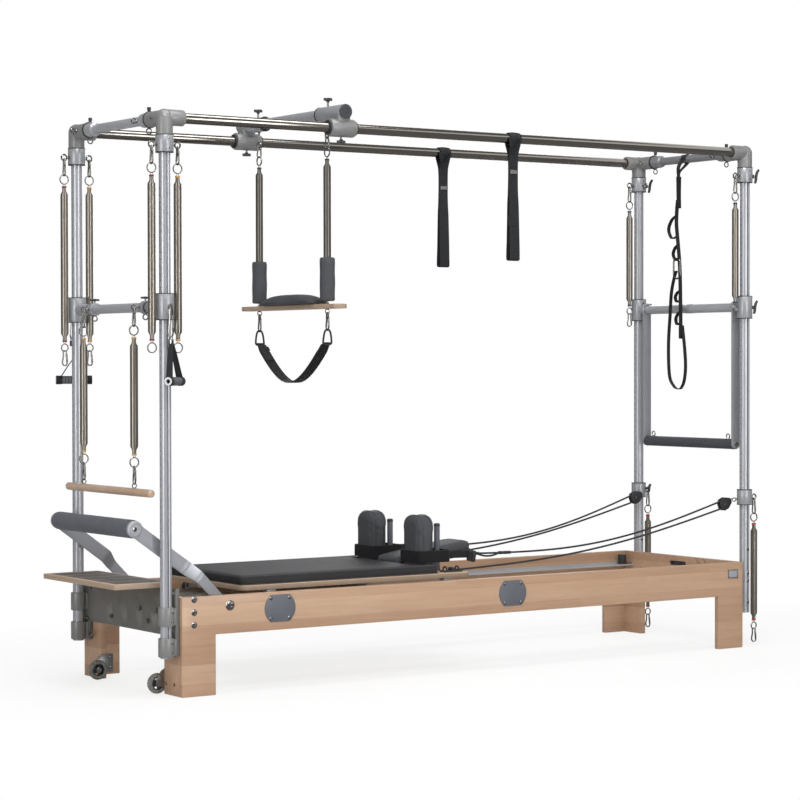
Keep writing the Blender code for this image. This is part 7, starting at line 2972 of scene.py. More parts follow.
@dataclass
class FootBar:
    """The folding footbar: two arms with sideways bends, a cross tube and its foam roller."""

    pivot: Point = (-1.09025, 0.0, 0.322)
    bar: Point = (-1.43725, 0.0, 0.608)
    bar_y: float = 0.3043
    pivot_y: float = 0.345
    foam: float = 0.0335
    foam_half: float = 0.30
    tube: float = 0.014
    width: float = 0.054
    thick: float = 0.008
    body: str = "footbar"

    def centre_line(self, s: int) -> np.ndarray:
        """The middle of an arm, from the bar to the pivot: straight runs with a tight sideways jog.

        Args:
            s: -1 for the near arm, 1 for the far one.

        Returns:
            One row for each point.
        """
        corners = ((0.0, self.bar_y, 0.0), (0.59, 0.3100, 0.022), (0.70, self.pivot_y, 0.020),
                   (1.0, self.pivot_y, 0.0))
        bar, pivot = np.array(self.bar), np.array(self.pivot)
        points = [tuple(bar + (pivot - bar) * share + np.array([0, s * y, lift]))
                  for share, y, lift in corners]
        line = [np.array(points[0])]
        for before, here, after in zip(points, points[1:], points[2:]):
            first, middle, last = (np.array(p) for p in (before, here, after))
            back, on = first - middle, last - middle
            back, on = back / np.linalg.norm(back), on / np.linalg.norm(on)
            for t in np.linspace(0, 1, 7):
                line.append(middle + back * 0.012 * (1 - t) ** 2 + on * 0.012 * t ** 2)
        line.append(np.array(points[-1]))
        return np.array(line)

    def build(self) -> None:
        """Make the arms, the tube and the roller."""
        form, bar = Form(), Vector(self.bar)
        form.bar((bar.x, -0.304, bar.z), (bar.x, 0.304, bar.z), self.tube, ARM_GREY, 0.001)
        for side in Side:
            self.arm(form, side.value)
        form.make("footbar_arms", self.body, "footbar_frame", slot="silver_paint")
        half, r = self.foam_half, self.foam
        roller = Form()
        profile = [(0.0, self.tube + 0.0006), (0.0, r - 0.0045), (0.0015, r - 0.0016), (0.005, r - 0.0002),
                   (0.012, r)]
        rows = profile + [(d, r + 0.00025 * math.sin(d * 61) * math.sin(d * 23))
                          for d in np.linspace(0.03, 2 * half - 0.03, 50)]
        rows += [(2 * half - d, radius) for d, radius in reversed(profile)]
        # A lighter foam on the roller: painted sheen from above.
        roller.lathe((bar.x, -half, bar.z), (bar.x, half, bar.z), rows, ROLLER_SHEEN_FOAM, 64, True)
        roller.make("footbar_foam", self.body, "footbar_roller")

    def arm(self, form: Form, s: int) -> None:
        """One arm with its end disc, screw, pivot and knob.

        Args:
            form: Where it is added.
            s: -1 for the near arm, 1 for the far one.
        """
        line = self.centre_line(s)
        along = steady(line, False)[0]
        flat = along * np.array([1, 0, 1])
        flat /= np.linalg.norm(flat, axis=1)[:, None]
        normal = np.stack([-flat[:, 2], np.zeros(len(flat)), flat[:, 0]], axis=1)
        ends = np.interp(line[:, 0], [self.pivot[0] - 0.130, self.pivot[0] - 0.090], [1.0, 0.74])
        half, t = self.width / 2 - 0.0002, self.thick / 2 - 0.0001
        across = np.array([-1, -1, -0.6, 0, 0.6, 1, 1, 1, 0.6, 0, -0.6, -1.0])
        inset = np.array([0.0, 1, 0, 0, 0, 1, 0, 1, 0, 0, 0, 1]) * 0.0016
        push = np.array([0.0, 0.72, 1, 1, 1, 0.72, 0, -0.72, -1, -1, -1, -0.72]) * t
        reach = across[None, :] * half * ends[:, None] - np.sign(across)[None, :] * inset[None, :]
        rows = (line[:, None, :] + normal[:, None, :] * reach[:, :, None]
                + np.array([0, 1.0, 0])[None, None, :] * push[None, :, None])
        form.loft(rows, ARM_GREY)
        bar, pivot = Vector(self.bar), Vector(self.pivot)
        face, inner = self.bar_y + self.thick / 2, self.pivot_y - self.thick / 2
        form.lathe((bar.x, s * 0.3004, bar.z), (bar.x, s * (face + 0.002), bar.z),
                   [(0, 0.0290), (0.0008, 0.0308), (0.0070, 0.0312), (0.0090, 0.0306), (0.0099, 0.0288),
                    (0.0099, 0.0210), (0.0090, 0.0200)], COLLAR, 48)
        form.bar((bar.x, s * face, bar.z), (bar.x, s * (face + 0.0022), bar.z), 0.0084, ZINC, 0.0006, 28)
        form.bar((bar.x, s * (face + 0.001), bar.z), (bar.x, s * (face + 0.0023), bar.z), 0.0042, RUBBER,
                 0.0002, 6)
        form.bar((pivot.x, s * (inner - 0.0022), pivot.z), (pivot.x, s * 0.3605, pivot.z), 0.0205, COLLAR,
                 0.0012, 44)
        form.bar((pivot.x, s * (inner - 0.0052), pivot.z), (pivot.x, s * 0.342, pivot.z), 0.0085, ZINC,
                 0.0008, 6)


@dataclass
class Drive:
    """The spring bar with its hooks, and the four carriage springs."""

    x: float = -1.18925
    z: float = 0.325
    first: float = -1.17625
    last: float = -0.3636
    spacing: float = 0.09
    radius: float = 0.012
    bar_half: float = 0.3606
    anchor_half: float = 0.1798

    def build(self) -> None:
        """Make the bar and the springs."""
        bar = Form()
        bar.block((self.x - 0.0129, -self.bar_half, self.z - 0.0129),
                  (self.x + 0.0125, self.bar_half, self.z + 0.0129), STAINLESS, 0.0022, 3)
        springs = Form()
        for k, cap in enumerate((RED, BLUE, RED, YELLOW)):
            y = (k - 1.5) * self.spacing
            bar.bar((self.x, y, self.z + 0.0125), (self.x, y, self.z + 0.0142), 0.0062, ZINC, 0.0008, 6)
            self.coil(springs, y)
            for x in (self.first + 0.018, self.last - 0.032):
                springs.bar((x, y, self.z), (x + 0.007, y, self.z), 0.0090, cap, 0.0014, 24)
            for x0, x1 in ((self.first + 0.0004, self.first + 0.020), (self.last - 0.028, self.last - 0.012)):
                springs.bar((x0, y, self.z), (x1, y, self.z), 0.0030, ZINC, 0.0005, 12)
        springs.block((self.last - 0.0128, -self.anchor_half, self.z - 0.0084),
                      (self.last - 0.0002, self.anchor_half, self.z + 0.0084), STAINLESS, 0.0016)
        bar.make("spring_bar_steel", "frame", "spring_bar")
        springs.make("drive_spring_windings", "frame", "carriage_springs", sharp=50.0, slot="spring_steel")

    def coil(self, form: Form, y: float) -> None:
        """One close-wound spring, laid level.

        Args:
            form: Where it is added.
            y: Its axis.
        """
        made = Form()
        made.winding(0.0, 0.0, self.last - 0.026, self.first + 0.018, self.radius, DARK_SPRING, steps=12,
                     neck=0.0066, taper=0.026, throat=0.008)
        form.graft(made, lambda point: (point[2], y + point[0], self.z + point[1]))


@dataclass
class Transport:
    """The two small wheels that the machine is tipped onto, on flat alloy brackets."""

    x: float = -1.30925
    z: float = 0.0383
    radius: float = 0.038
    inner: float = 0.2221
    outer: float = 0.2461

    def build(self) -> None:
        """Make the brackets and the wheels."""
        for side in Side:
            self.bracket(side)
            self.wheel(side)

    def bracket(self, side: Side) -> None:
        """A plate with two bolts and the axle.

        Args:
            side: Which one.
        """
        s, form = side.value, Form()
        y0, y1 = sorted((s * 0.2465, s * 0.2503))
        x0, x1, z0, z1 = self.x - 0.0127, -1.2373, 0.0257, 0.0952
        outline = [(x0 + 0.010, z0), (x1, z0), (x1, z1), (x0 + 0.040, z1), (x0 + 0.022, z1 - 0.010),
                   (x0 + 0.003, z0 + 0.030), (x0, z0 + 0.012), (x0 + 0.003, z0 + 0.004)]
        form.plate(outline, Axis.Y, y0, y1, ALLOY, 0.0009)
        for bx, bz in ((-1.250, 0.043), (-1.250, 0.080)):
            form.bar((bx, s * 0.2466, bz), (bx, s * 0.2438, bz), 0.0058, ZINC, 0.0008, 6)
        form.bar((self.x, s * 0.2485, self.z), (self.x, s * 0.2202, self.z), 0.0043, ZINC, 0.0004, 20)
        form.bar((self.x, s * 0.2218, self.z), (self.x, s * 0.2200, self.z), 0.0043, ZINC, 0.0006, 6)
        form.make(f"wheel_bracket_plate_{side.label}", "frame", f"wheel_bracket_{side.label}",
                  slot="aluminium")

    def wheel(self, side: Side) -> None:
        """A clear tyre on a dark five-spoke hub with its bearings.

        Args:
            side: Which one.
        """
        s, x, z, r = side.value, self.x, self.z, self.radius
        width = self.outer - self.inner
        start, end = (x, s * self.inner, z), (x, s * self.outer, z)
        form = Form()
        tyre = [(width * 0.16, 0.0235), (width * 0.08, 0.0265), (width * 0.02, 0.0300),
                (width * 0.10, 0.0338)]
        for i in range(9):
            angle = math.pi * (i + 1) / 10
            tyre.append((width / 2 - width * 0.46 * math.cos(angle), r - 0.0052 + 0.0050 * math.sin(angle)))
        tyre += [(width * 0.90, 0.0338), (width * 0.98, 0.0300), (width * 0.92, 0.0265),
                 (width * 0.84, 0.0235)]
        form.lathe(start, end, tyre, WHEEL, 60, True)
        rim = [(width * 0.15, 0.0205), (width * 0.14, 0.0238), (width * 0.5, 0.0250), (width * 0.86, 0.0238),
               (width * 0.85, 0.0205), (width * 0.5, 0.0195)]
        form.lathe(start, end, rim, PLASTIC, 48, True)
        hub = [(width * 0.10, 0.0114), (width * 0.12, 0.0128), (width * 0.88, 0.0128), (width * 0.90, 0.0114),
               (width * 0.90, 0.0106), (width * 0.10, 0.0106)]
        form.lathe(start, end, hub, PLASTIC, 40, True)
        for k in range(5):
            angle = math.tau * k / 5
            spoke = [(0.0118, -0.0022), (0.0212, -0.0032), (0.0212, 0.0032), (0.0118, 0.0022)]
            outline = [(x + a * math.cos(angle) - b * math.sin(angle),
                        z + a * math.sin(angle) + b * math.cos(angle)) for a, b in spoke]
            y0, y1 = sorted((s * (self.inner + width * 0.24), s * (self.inner + width * 0.76)))
            form.plate(outline, Axis.Y, y0, y1, PLASTIC, 0.0006)
        for a, b in ((0.06, 0.32), (0.68, 0.94)):
            form.sleeve((x, s * (self.inner + width * a), z), (x, s * (self.inner + width * b), z), 0.0107,
                        0.00480, ZINC, 0.0005, 36)
        form.sleeve((x, s * (self.inner + width * 0.30), z), (x, s * (self.inner + width * 0.70), z),
                    0.0068, 0.00480, ZINC)
        form.make(f"transport_tyre_{side.label}", f"wheel_{side.label}", f"transport_wheel_{side.label}")


# Straps, grips, ropes


@dataclass
class Straps:
    """The webbing: a doubled strap on each rail, and the long looped strap at the head end."""

    width: float = 0.045
    thick: float = 0.0022
    near_x: float = 0.22375
    far_x: float = 0.37775
    bottom: float = 1.600
    spread: float = 0.010
    hang: float = 1.4050
    hang_y: float = 0.03
    loop_low: float = 1.083

    def build(self) -> None:
        """Make the straps."""
        for side, x in ((Side.NEAR, self.near_x), (Side.FAR, self.far_x)):
            self.rail_strap(side, x)
        self.long_strap()

    def rail_strap(self, side: Side, x: float) -> None:
        """A loop choked round the rail, stitched below it, that opens into a flat eye.

        Args:
            side: Which rail.
            x: Where it hangs.
        """
        y, z = side.value * PLACE.post_y, PLACE.rail_z
        hold = 0.0214
        path = [(x, y + hold * math.cos(math.radians(a)), z + hold * math.sin(math.radians(a)))
                for a in np.linspace(-22, 202, 25)]
        neck, low = z - 0.058, self.bottom + 0.0125
        down = [(neck, 0.0066), (neck - 0.04, 0.0030), (neck - 0.09, 0.0026), (neck - 0.13, 0.0032),
                (1.84, 0.0056), (1.76, 0.0078), (1.68, 0.0098), (1.64, 0.0116)]
        under = [(x, y - 0.0122 * math.cos(math.radians(a)), low - 0.0095 * math.sin(math.radians(a)))
                 for a in np.linspace(8, 172, 11)]
        path += [(x, y - d, h) for h, d in down] + under + [(x, y + d, h) for h, d in reversed(down)]
        fine = smooth_path(path, 4, True)
        heights = fine[:, 2]
        width = np.interp(heights, [1.60, 1.70, 1.83, 1.86, 1.95, 2.02, 2.05, 2.11],
                          [0.0485, 0.0485, 0.0475, 0.0445, 0.0440, 0.0445, 0.0520, 0.0580])
        width = width + 0.0006 * np.sin(np.arange(len(width)) * 0.37)
        form = Form()
        form.band(fine, (1, 0, 0), width, self.thick, WEB, True)
        self.choke(form, x, y, z)
        near_cuffs = ((1.862, 0.016, 0.0058), (1.760, 0.040, 0.0090))
        cuffs = near_cuffs if side is Side.NEAR else ((1.850, 0.014, 0.0062),)
        for height, tall, gap in cuffs:
            form.band(self.cuff(x, y, height, gap), (0, 0, 1), tall, 0.0018, WEB, True)
            for level in (height - tall * 0.36, height + tall * 0.36):
                stitches(form, [(x, y - gap - 0.0015, level)], (1, 0, 0), 0.034)
        front = y - 0.0048 if side is Side.NEAR else y - 0.0046
        label = 1.952 if side is Side.NEAR else 1.936
        form.block((x - 0.0165, front - 0.0012, label - 0.0075),
                   (x + 0.0165, front + 0.0006, label + 0.0075), PATCH, 0.0004)
        stitches(form, [(x, front - 0.0013, label - 0.0058), (x, front - 0.0013, label + 0.0058)],
                 (1, 0, 0), 0.030)
        for level in (1.982, 2.010):
            stitches(form, [(x, front - 0.0004, level)], (1, 0, 0), 0.032)
        form.make(f"rail_strap_webbing_{side.label}", "frame", f"rail_strap_{side.label}")

    def choke(self, form: Form, x: float, y: float, z: float) -> None:
        """The bunched webbing where the strap is drawn through its own loop.

        Args:
            form: Where it is added.
            x, y, z: The rail's middle there.
        """
        for shift, hold, width, lean in ((-0.013, 0.0232, 0.022, 0.10), (0.016, 0.0230, 0.020, -0.07)):
            turn = [(x + shift + lean * 0.02 * math.sin(math.radians(a)),
                     y + hold * math.cos(math.radians(a)), z + hold * math.sin(math.radians(a)))
                    for a in range(0, 360, 12)]
            form.band(turn, (1, 0, lean), width, self.thick * 1.1, WEB, True)
        fold = [(x - 0.026, y - 0.0225, z + 0.004), (x - 0.024, y - 0.0212, z - 0.012),
                (x - 0.013, y - 0.0150, z - 0.034), (x - 0.005, y - 0.0080, z - 0.058)]
        form.band(smooth_path(fold, 5), (1, 0, 0.55), np.linspace(0.024, 0.018, 16), self.thick, WEB)
        cross = [(x + 0.024, y - 0.0226, z - 0.006), (x + 0.010, y - 0.0206, z - 0.022),
                 (x - 0.004, y - 0.0145, z - 0.042), (x - 0.010, y - 0.0088, z - 0.056)]
        form.band(smooth_path(cross, 5), (0.7, 0, 0.7), np.linspace(0.020, 0.014, 16), self.thick, WEB)

    def cuff(self, x: float, y: float, z: float, gap: float) -> list[Point]:
        """A flat sleeve of webbing round both runs of a strap.

        Args:
            x, y, z: Its middle.
            gap: How far it stands off from the strap's middle.

        Returns:
            Points round it.
        """
        half = self.width / 2 - 0.0012
        points = []
        for cx, cy in ((1, 1), (-1, 1), (-1, -1), (1, -1)):
            points.append((x + cx * half, y + cy * gap * 0.45, z))
            points.append((x + cx * (half - 0.004), y + cy * gap, z))
        return filled([points[i] for i in (0, 1, 3, 2, 4, 5, 7, 6)], 0.006)

    def long_strap(self) -> None:
        """The strap on the head tube: its wrap, its tail of small loops, and the long open loop."""
        x, y, z = PLACE.head_x, self.hang_y, PLACE.rail_z
        width, hold, hang = self.width, 0.0192, self.hang
        form = Form()
        wrap = [(x + hold * math.cos(math.radians(a)), y, z + hold * math.sin(math.radians(a)))
                for a in np.linspace(-60, 190, 25)]
        wrap += [(hang - 0.0020, y, z - 0.040), (hang - 0.0018, y, z - 0.090), (hang, y, z - 0.094),
                 (hang + 0.0022, y, z - 0.090), (hang + 0.0028, y, z - 0.060), (x - 0.004, y, z - 0.030)]
        path = smooth_path(wrap, 4, True)
        slim = np.interp(path[:, 2], [z - 0.094, z - 0.06, z - 0.02], [0.020, 0.026, width - 0.004])
        form.band(path, (0.25, 1, 0), slim, self.thick, LOOP_WEB, True)
        edge = np.array([0.98, 0.199, 0.0])
        flat = np.array([0.199, -0.98, 0.0])
        lead = smooth_path([(hang, y, z - 0.078), (hang, y, 1.975), (hang, y, 1.925),
                            (hang + 0.002, y, 1.868)], 6)
        form.band(lead, (0.94, -0.34, 0), np.linspace(0.024, 0.020, len(lead)), self.thick * 1.5, LOOP_WEB)
        heights = np.array([1.905, 1.86, 1.80, 1.72, 1.64, 1.56, 1.45, 1.302])
        drift = np.array([-0.005, -0.010, -0.012, -0.004, 0.004, 0.008, 0.010, 0.012])
        tail = [tuple(np.array([hang, y, h]) + flat * d) for h, d in zip(heights, drift)]
        form.band(smooth_path(tail, 8), tuple(edge), 0.024, self.thick * 1.6, LOOP_WEB)
        for top, low, reach in ((1.838, 1.742, 0.044), (1.710, 1.645, 0.027), (1.512, 1.464, 0.027),
                                (1.420, 1.366, 0.026)):
            start, stop = (np.array([hang, y, 0]) + flat * np.interp(-h, -heights, drift)
                           for h in (top, low))
            out = [(*start[:2], top), (*(start - flat * reach * 0.60)[:2], top * 0.80 + low * 0.20),
                   (*(start - flat * reach)[:2], top * 0.38 + low * 0.62),
                   (*(stop - flat * reach * 0.7)[:2], low - 0.003), (*stop[:2], low + 0.006)]
            form.band(smooth_path(out, 6), tuple(edge), 0.022, self.thick * 1.5, LOOP_WEB)
        high, low = 1.585, self.loop_low
        left, right = -0.044, 0.030
        side_path = [(-0.010, high + 0.012), (-0.020, high - 0.02), (-0.032, 1.50), (-0.038, 1.40),
                     (left, 1.30), (left, 1.20), (left + 0.006, 1.13), (-0.020, low + 0.012),
                     (-0.006, low + 0.002), (0.010, low + 0.004), (right - 0.006, 1.12), (right, 1.18),
                     (right - 0.004, 1.26), (0.016, 1.36)]
        loop = [tuple(np.array([hang, y, h]) + flat * d * 1.25) for d, h in side_path]
        form.band(smooth_path(loop, 8), tuple(edge), 0.0210, self.thick * 1.5, LOOP_WEB)
        join = np.array([hang, y, 0]) + flat * 0.014
        form.band([(join[0] + 0.0112 * math.sin(a), join[1] + 0.0090 * math.cos(a), 1.330) for a in
                   np.linspace(0, math.tau, 24, endpoint=False)], (0, 0, 1), 0.052, 0.0018, LOOP_WEB, True)
        link = np.array([hang, y, 1.607]) + flat * -0.010
        form.pipe(ring_path(tuple(link), tuple(edge), 0.0175, 0.052, 36), 0.0040, ZINC, 12, True)
        form.make("long_strap_webbing", "frame", "long_strap")


@dataclass
class HandGrip:
    """A hand grip: a tube on a narrow triangle of dark webbing, hung from the cross bar's collar."""

    side: Side
    radius: float = 0.0158
    half: float = 0.069
    turn: float = 37.0
    out: float = 0.414
    height: float = 1.138
    apex_out: float = 0.3917
    apex: float = 1.290
    shift: float = 0.016
    splay: float = 1.286
    lean: float = 0.0

    def build(self) -> None:
        """Make the tube, its webbing and its hook."""
        s, form = self.side.value, Form()
        angle = math.radians(self.turn)
        along = Vector((math.cos(angle), -s * math.sin(angle), 0))
        centre = Vector((PLACE.foot_x, s * self.out, self.height)) + along * self.shift
        wide = Vector((-along.y, along.x, 0))
        low, high = centre - along * self.half, centre + along * self.half
        reach = self.half - 0.011
        form.sleeve(low + along * 0.004, high - along * 0.004, self.radius - 0.0004, 0.0085, GRIP_TUBE,
                    0.0018, 40)
        for end, way in ((low, 1), (high, -1)):
            form.sleeve(end, end + along * way * 0.0075, self.radius, 0.0080, PALE_PLASTIC, 0.0016, 40)
        for k in range(9):
            ring = centre + along * (-0.044 + 0.011 * k)
            form.sleeve(ring - along * 0.0012, ring + along * 0.0012, self.radius - 0.00005,
                        self.radius - 0.0018, RUBBER, 0.0005, 36)
        apex = Vector((PLACE.foot_x, s * self.apex_out, self.apex))
        top = Vector((apex.x, apex.y, self.splay)) + along * self.lean
        if self.apex - self.splay > 0.010:
            neck = smooth_path([top - Vector((0, 0, 0.004)), top.lerp(apex, 0.5), apex], 4)
            form.band(neck, tuple(wide), 0.0170, 0.0060, WEB)
        for way in (-1, 1):
            foot = centre + along * reach * way
            middle = foot.lerp(top, 0.5) + along * 0.0012 * way
            path = smooth_path([foot + Vector((0, 0, self.radius * 0.2)), foot.lerp(top, 0.2), middle,
                                foot.lerp(top, 0.85), top], 6)
            width = np.interp(np.linspace(0, 1, len(path)), [0, 0.12, 0.6, 1], [0.026, 0.0270, 0.022, 0.0120])
            form.band(path, tuple(wide), width, 0.0030, WEB)
            form.sleeve(foot - along * 0.011, foot + along * 0.011, self.radius + 0.0011,
                        self.radius - 0.0005, WEB, 0.0006)
        form.pipe(ring_path(apex + Vector((0, 0, 0.0028)), (0, 1, 0), 0.0066, 0.0, 20), 0.0018, ZINC, 8, True)
        clasp = apex - Vector((0, 0, 0.012))
        form.block(clasp - Vector((0.0085, 0.0060, 0.0105)), clasp + Vector((0.0085, 0.0060, 0.0105)), ZINC,
                   0.0016)
        form.snap(apex.x, apex.y, PLACE.foot_bar_z - EYE_HOLD, self.apex + 0.0072, (0, 1, 0))
        form.make(f"grip_{self.side.label}_tube", f"grip_{self.side.label}", f"hand_grip_{self.side.label}",
                  slot="black_webbing")


@dataclass
class Ropes:
    """The two carriage ropes, from each strap loop over its pulley and back to the cleats."""

    radius: float = 0.0039
    start_x: float = 0.1503
    start_y: float = 0.206
    start_z: float = 0.442
    pulley_x: float = 1.37575
    pulley_y: float = 0.293
    pulley_z: float = 0.600
    hold: float = 0.0160
    slope: float = 0.13
    splice: float = 0.10
    end_x: float = 0.02205
    end_y: float = 0.25
    end_z: float = 0.3865
    travel: float = 0.95
    lead: float = 0.09

    def build(self) -> None:
        """Make each rope as a fixed wrap and two strands."""
        for side in Side:
            s = side.value
            pulley = Vector((self.pulley_x, s * self.pulley_y, self.pulley_z))
            pull = Vector((-1, 0, -self.slope)).normalized()
            up = Vector((-self.slope, 0, 1)).normalized()
            over, under = pulley + up * self.hold, pulley - up * self.hold
            start = Vector((self.start_x, s * self.start_y, self.start_z))
            end = Vector((self.end_x, s * self.end_y, self.end_z))
            self.strand(side, "upper", start, over, ("rope_" + side.label,))
            self.strand(side, "lower", end, under, ())
            arc = [pulley + up * (self.hold * math.cos(a)) - pull * (self.hold * math.sin(a))
                   for a in np.linspace(-0.06, math.pi + 0.06, 40)]
            Form().pipe(arc, self.radius, ROPE, 12).make(f"rope_{side.label}_wrap", "frame")

    def strand(self, side: Side, name: str, low: Vector, high: Vector, nodes: tuple[str, ...]) -> None:
        """One run of rope, with the clamp or knot where it leaves the carriage.

        Args:
            side: Which rope.
            name: Which run of it.
            low: Its carriage end.
            high: Its pulley end.
            nodes: CAD nodes that it stands for.
        """
        sag = 0.062 if name == "upper" else 0.044

        def place(t: float) -> Vector:
            """Where the strand is at a share of its length."""
            return low.lerp(high, t) - Vector((0, 0, sag * math.sin(math.pi * t)))

        form, part = Form(), 1 - self.lead / (high.x - low.x)
        form.pipe([place(float(t)) for t in np.linspace(0, part, 61)], self.radius, ROPE, 12)
        Form().pipe([place(float(t)) for t in np.linspace(part - 0.001, 1, 11)], self.radius, ROPE, 12).make(
            f"rope_{side.label}_{name}_lead", "frame")
        if name == "upper":
            end = self.splice / (high.x - low.x)
            under = [place(end * t) - Vector((0, 0, 0.0115 * math.sin(math.pi * t) ** 0.7))
                     for t in np.linspace(0, 1, 21)]
            form.pipe(under, self.radius, ROPE, 12)
            knot = [place(end * share) for share in (0.96, 1.0, 1.1, 1.2, 1.32, 1.44, 1.54, 1.6)]
            form.pipe(knot, [0.0040, 0.0062, 0.0070, 0.0060, 0.0068, 0.0060, 0.0066, 0.0042], ROPE, 14)
        piece = form.make(f"rope_{side.label}_{name}", "carriage", *nodes)
        length = (high.x - low.x) * part
        tuple(low)
        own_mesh(piece)
        fitting = Form()
        if name == "upper":
            fitting.bar(low - Vector((0.0062, 0, 0)), low + Vector((0.0085, 0, 0)), 0.0064, ROPE, 0.0030, 16)
        else:
            fitting.bar(low - Vector((0.006, 0, 0)), low + Vector((0.004, 0, 0)), 0.0040, ROPE, 0.0018, 16)
        fitting.make(f"rope_{side.label}_{name}_end", "carriage", slot="black_rope")


# The studio


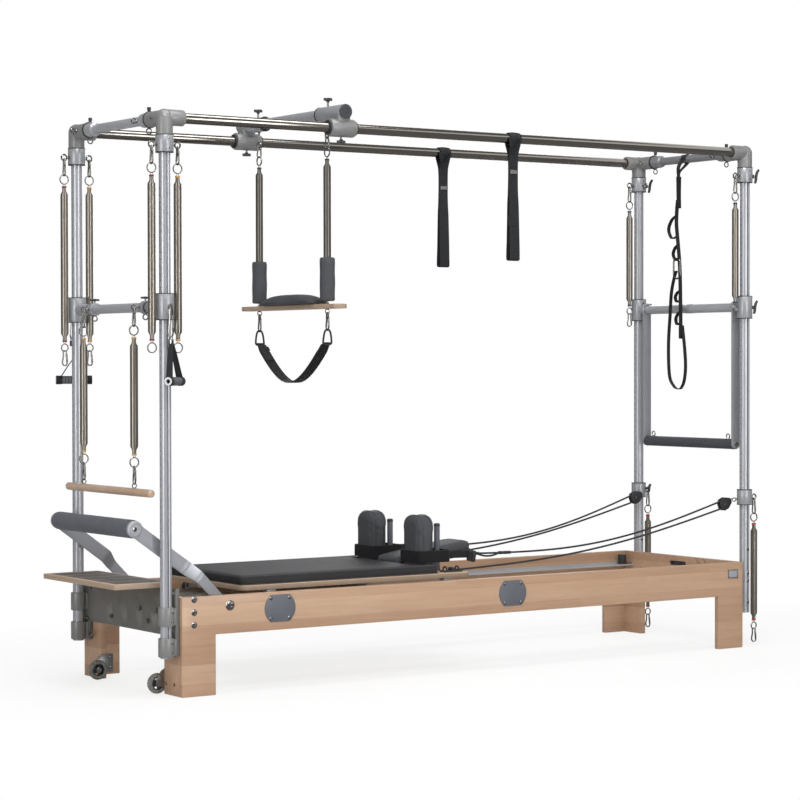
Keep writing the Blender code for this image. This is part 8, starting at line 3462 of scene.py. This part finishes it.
@dataclass
class Studio:
    """The photograph's view, a white room and soft light."""

    place: Point = (-5.53318, -8.03363, 1.21696)
    lens: float = 109.403
    floor_size: float = 60.0
    world: float = 0.44
    shadow_veil: float = 0.78
    reflected: float = 0.20

    def build(self) -> None:
        """Set up the camera, the floor, the surroundings and the lamps."""
        self.camera()
        self.floor()
        self.surroundings()
        self.lamps()

    def camera(self) -> None:
        """A camera where the photograph was taken from."""
        camera = bpy.data.cameras.new("view")
        camera.lens = self.lens
        camera.sensor_width = 36.0
        camera.clip_end = 200.0
        holder = bpy.data.objects.new("view", camera)
        turn = Matrix((
            (0.8273562, 0.0109282, -0.5615713), (-0.561675, 0.0130574, -0.8272549),
            (-0.0017078, 0.999855, 0.0169412),
        ))
        holder.matrix_world = Matrix.Translation(self.place) @ turn.to_4x4()
        bpy.context.collection.objects.link(holder)
        scene = bpy.context.scene
        scene.camera = holder
        scene.render.resolution_x = 800
        scene.render.resolution_y = 800
        scene.view_settings.view_transform = "Standard"

    def floor(self) -> None:
        """A wide pale floor that shows as plain white with the object's soft shadow."""
        form = bpy.data.meshes.new("studio_floor")
        half = self.floor_size
        form.from_pydata([(-half, -half, 0), (half, -half, 0), (half, half, 0), (-half, half, 0)],
                         [], [(0, 1, 2, 3)])
        floor = bpy.data.objects.new("studio_floor", form)
        bpy.context.collection.objects.link(floor)
        bench = Bench("studio_white")
        cloud = bench.noise(bench.places(), 3.0, 3.0)
        material = bench.dress(Base_Color=bench.blend(cloud * 0.4, (0.94, 0.94, 0.94), (0.90, 0.90, 0.90)),
                               Roughness=0.75)
        x, y, _ = bench.axes()
        away = ((x / 2.3) ** 2.0 + (y / 1.5) ** 2.0) ** 0.5
        seen = Signal(bench, bench.add("ShaderNodeLightPath").outputs["Is Camera Ray"])
        share = seen * (self.shadow_veil + (1 - self.shadow_veil) * away.ramp(0.75, 1.5))
        glow = bench.add("ShaderNodeEmission", None, {"Color": (1.0, 1.0, 1.0), "Strength": 1.0})
        mixed = bench.add("ShaderNodeMixShader", None, {0: share, 1: bench.shader.outputs[0],
                                                        2: glow.outputs[0]})
        shiny = bench.add("ShaderNodeLightPath").outputs["Is Glossy Ray"]
        dusk = bench.add("ShaderNodeEmission", None, {"Color": (1.0, 1.0, 1.0), "Strength": self.reflected})
        final = bench.add("ShaderNodeMixShader", None, {0: shiny, 1: mixed.outputs[0], 2: dusk.outputs[0]})
        bench.put(bench.output.inputs["Surface"], final.outputs[0])
        form.materials.append(material)

    def surroundings(self) -> None:
        """A white surround to the eye, and a softer one to the lighting."""
        world = bpy.data.worlds.new("studio_white")
        world.use_nodes = True
        bpy.context.scene.world = world
        tree = world.node_tree
        tree.nodes.clear()
        output = tree.nodes.new("ShaderNodeOutputWorld")
        new, join = tree.nodes.new, tree.links.new
        path, places = new("ShaderNodeLightPath"), new("ShaderNodeTexCoord")
        parts = new("ShaderNodeSeparateXYZ")
        join(places.outputs["Generated"], parts.inputs[0])
        bands = new("ShaderNodeValToRGB")
        join(parts.outputs["Z"], bands.inputs[0])
        stops = ((0.0, 0.12), (0.20, 0.14), (0.30, 0.95), (0.58, 0.95), (0.66, 0.16), (1.0, 0.22))
        for place, level in stops[2:]:
            bands.color_ramp.elements.new(place)
        for stop, (place, level) in zip(bands.color_ramp.elements, stops):
            stop.position, stop.color = place, (level, level, level, 1)
        side, dim = new("ShaderNodeMapRange"), new("ShaderNodeMix")
        side.inputs["From Min"].default_value, side.inputs["From Max"].default_value = 0.25, 0.45
        join(parts.outputs["X"], side.inputs["Value"])
        dim.data_type = "RGBA"
        dim.inputs[6].default_value = (0.17, 0.17, 0.17, 1)
        join(side.outputs[0], dim.inputs[0])
        join(bands.outputs["Color"], dim.inputs[7])
        soft, shine, white = (new("ShaderNodeBackground") for _ in range(3))
        soft.inputs[0].default_value = (1, 1, 1, 1)
        soft.inputs[1].default_value = self.world
        join(dim.outputs[2], shine.inputs[0])
        white.inputs[0].default_value = (1, 1, 1, 1)
        first, second = new("ShaderNodeMixShader"), new("ShaderNodeMixShader")
        join(path.outputs["Is Glossy Ray"], first.inputs[0])
        join(soft.outputs[0], first.inputs[1])
        join(shine.outputs[0], first.inputs[2])
        join(path.outputs["Is Camera Ray"], second.inputs[0])
        join(first.outputs[0], second.inputs[1])
        join(white.outputs[0], second.inputs[2])
        join(second.outputs[0], output.inputs["Surface"])

    def lamps(self) -> None:
        """Soft boxes: a long one overhead in front, upright strips left and right, and a rim from behind."""
        for name, place, width, height, power in (
            ("key", (-2.6, -4.6, 5.4), 3.4, 1.6, 175.0), ("left_box", (-7.3, -2.35, 1.4), 1.7, 4.2, 95.0),
            ("right_box", (0.5, -7.6, 1.5), 1.7, 4.2, 115.0), ("rim", (3.5, 5.0, 2.6), 2.4, 2.0, 60.0),
            ("top", (-0.6, -1.2, 6.0), 4.6, 1.6, 130.0),
        ):
            lamp = bpy.data.lights.new(name, "AREA")
            lamp.shape = "RECTANGLE"
            lamp.size = width
            lamp.size_y = height
            lamp.energy = power
            holder = bpy.data.objects.new(name, lamp)
            holder.location = place
            aim = Vector((0, 0, 0.9)) - Vector(place)
            holder.rotation_euler = aim.to_track_quat("-Z", "Y").to_euler()
            bpy.context.collection.objects.link(holder)


def dress_tracks() -> None:
    """Give the two kept tracks their drawn aluminium."""
    for side in Side:
        node = bpy.data.objects[f"track_{side.label}"]
        node.data.materials.clear()
        node.data.materials.append(TRACK.material())
        log.info("%s keeps its own shape", node.name)


def main() -> None:
    """Build every piece in order, then the studio, and note the visual model's size."""
    logging.basicConfig(level=logging.INFO, format="%(message)s")
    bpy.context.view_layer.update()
    for maker in (
        WoodFrame(), EndCasting(), StandingPlatform(), Posts(), Headers(), TopRails(), CrossBars(), PushBar(),
        PulleyRisers(), Carrier(), SpringSet(), RollDown(), Trapeze(), Carriage(), FootBar(), Drive(),
        Transport(), Straps(), HandGrip(Side.NEAR, half=0.059, shift=0.005),
        HandGrip(Side.FAR, turn=22.0, splay=1.232, lean=0.012), Ropes(),
    ):
        log.info("-- %s", type(maker).__name__)
        maker.build()
    dress_tracks()
    Studio().build()


if __name__ == "__main__":
    main()
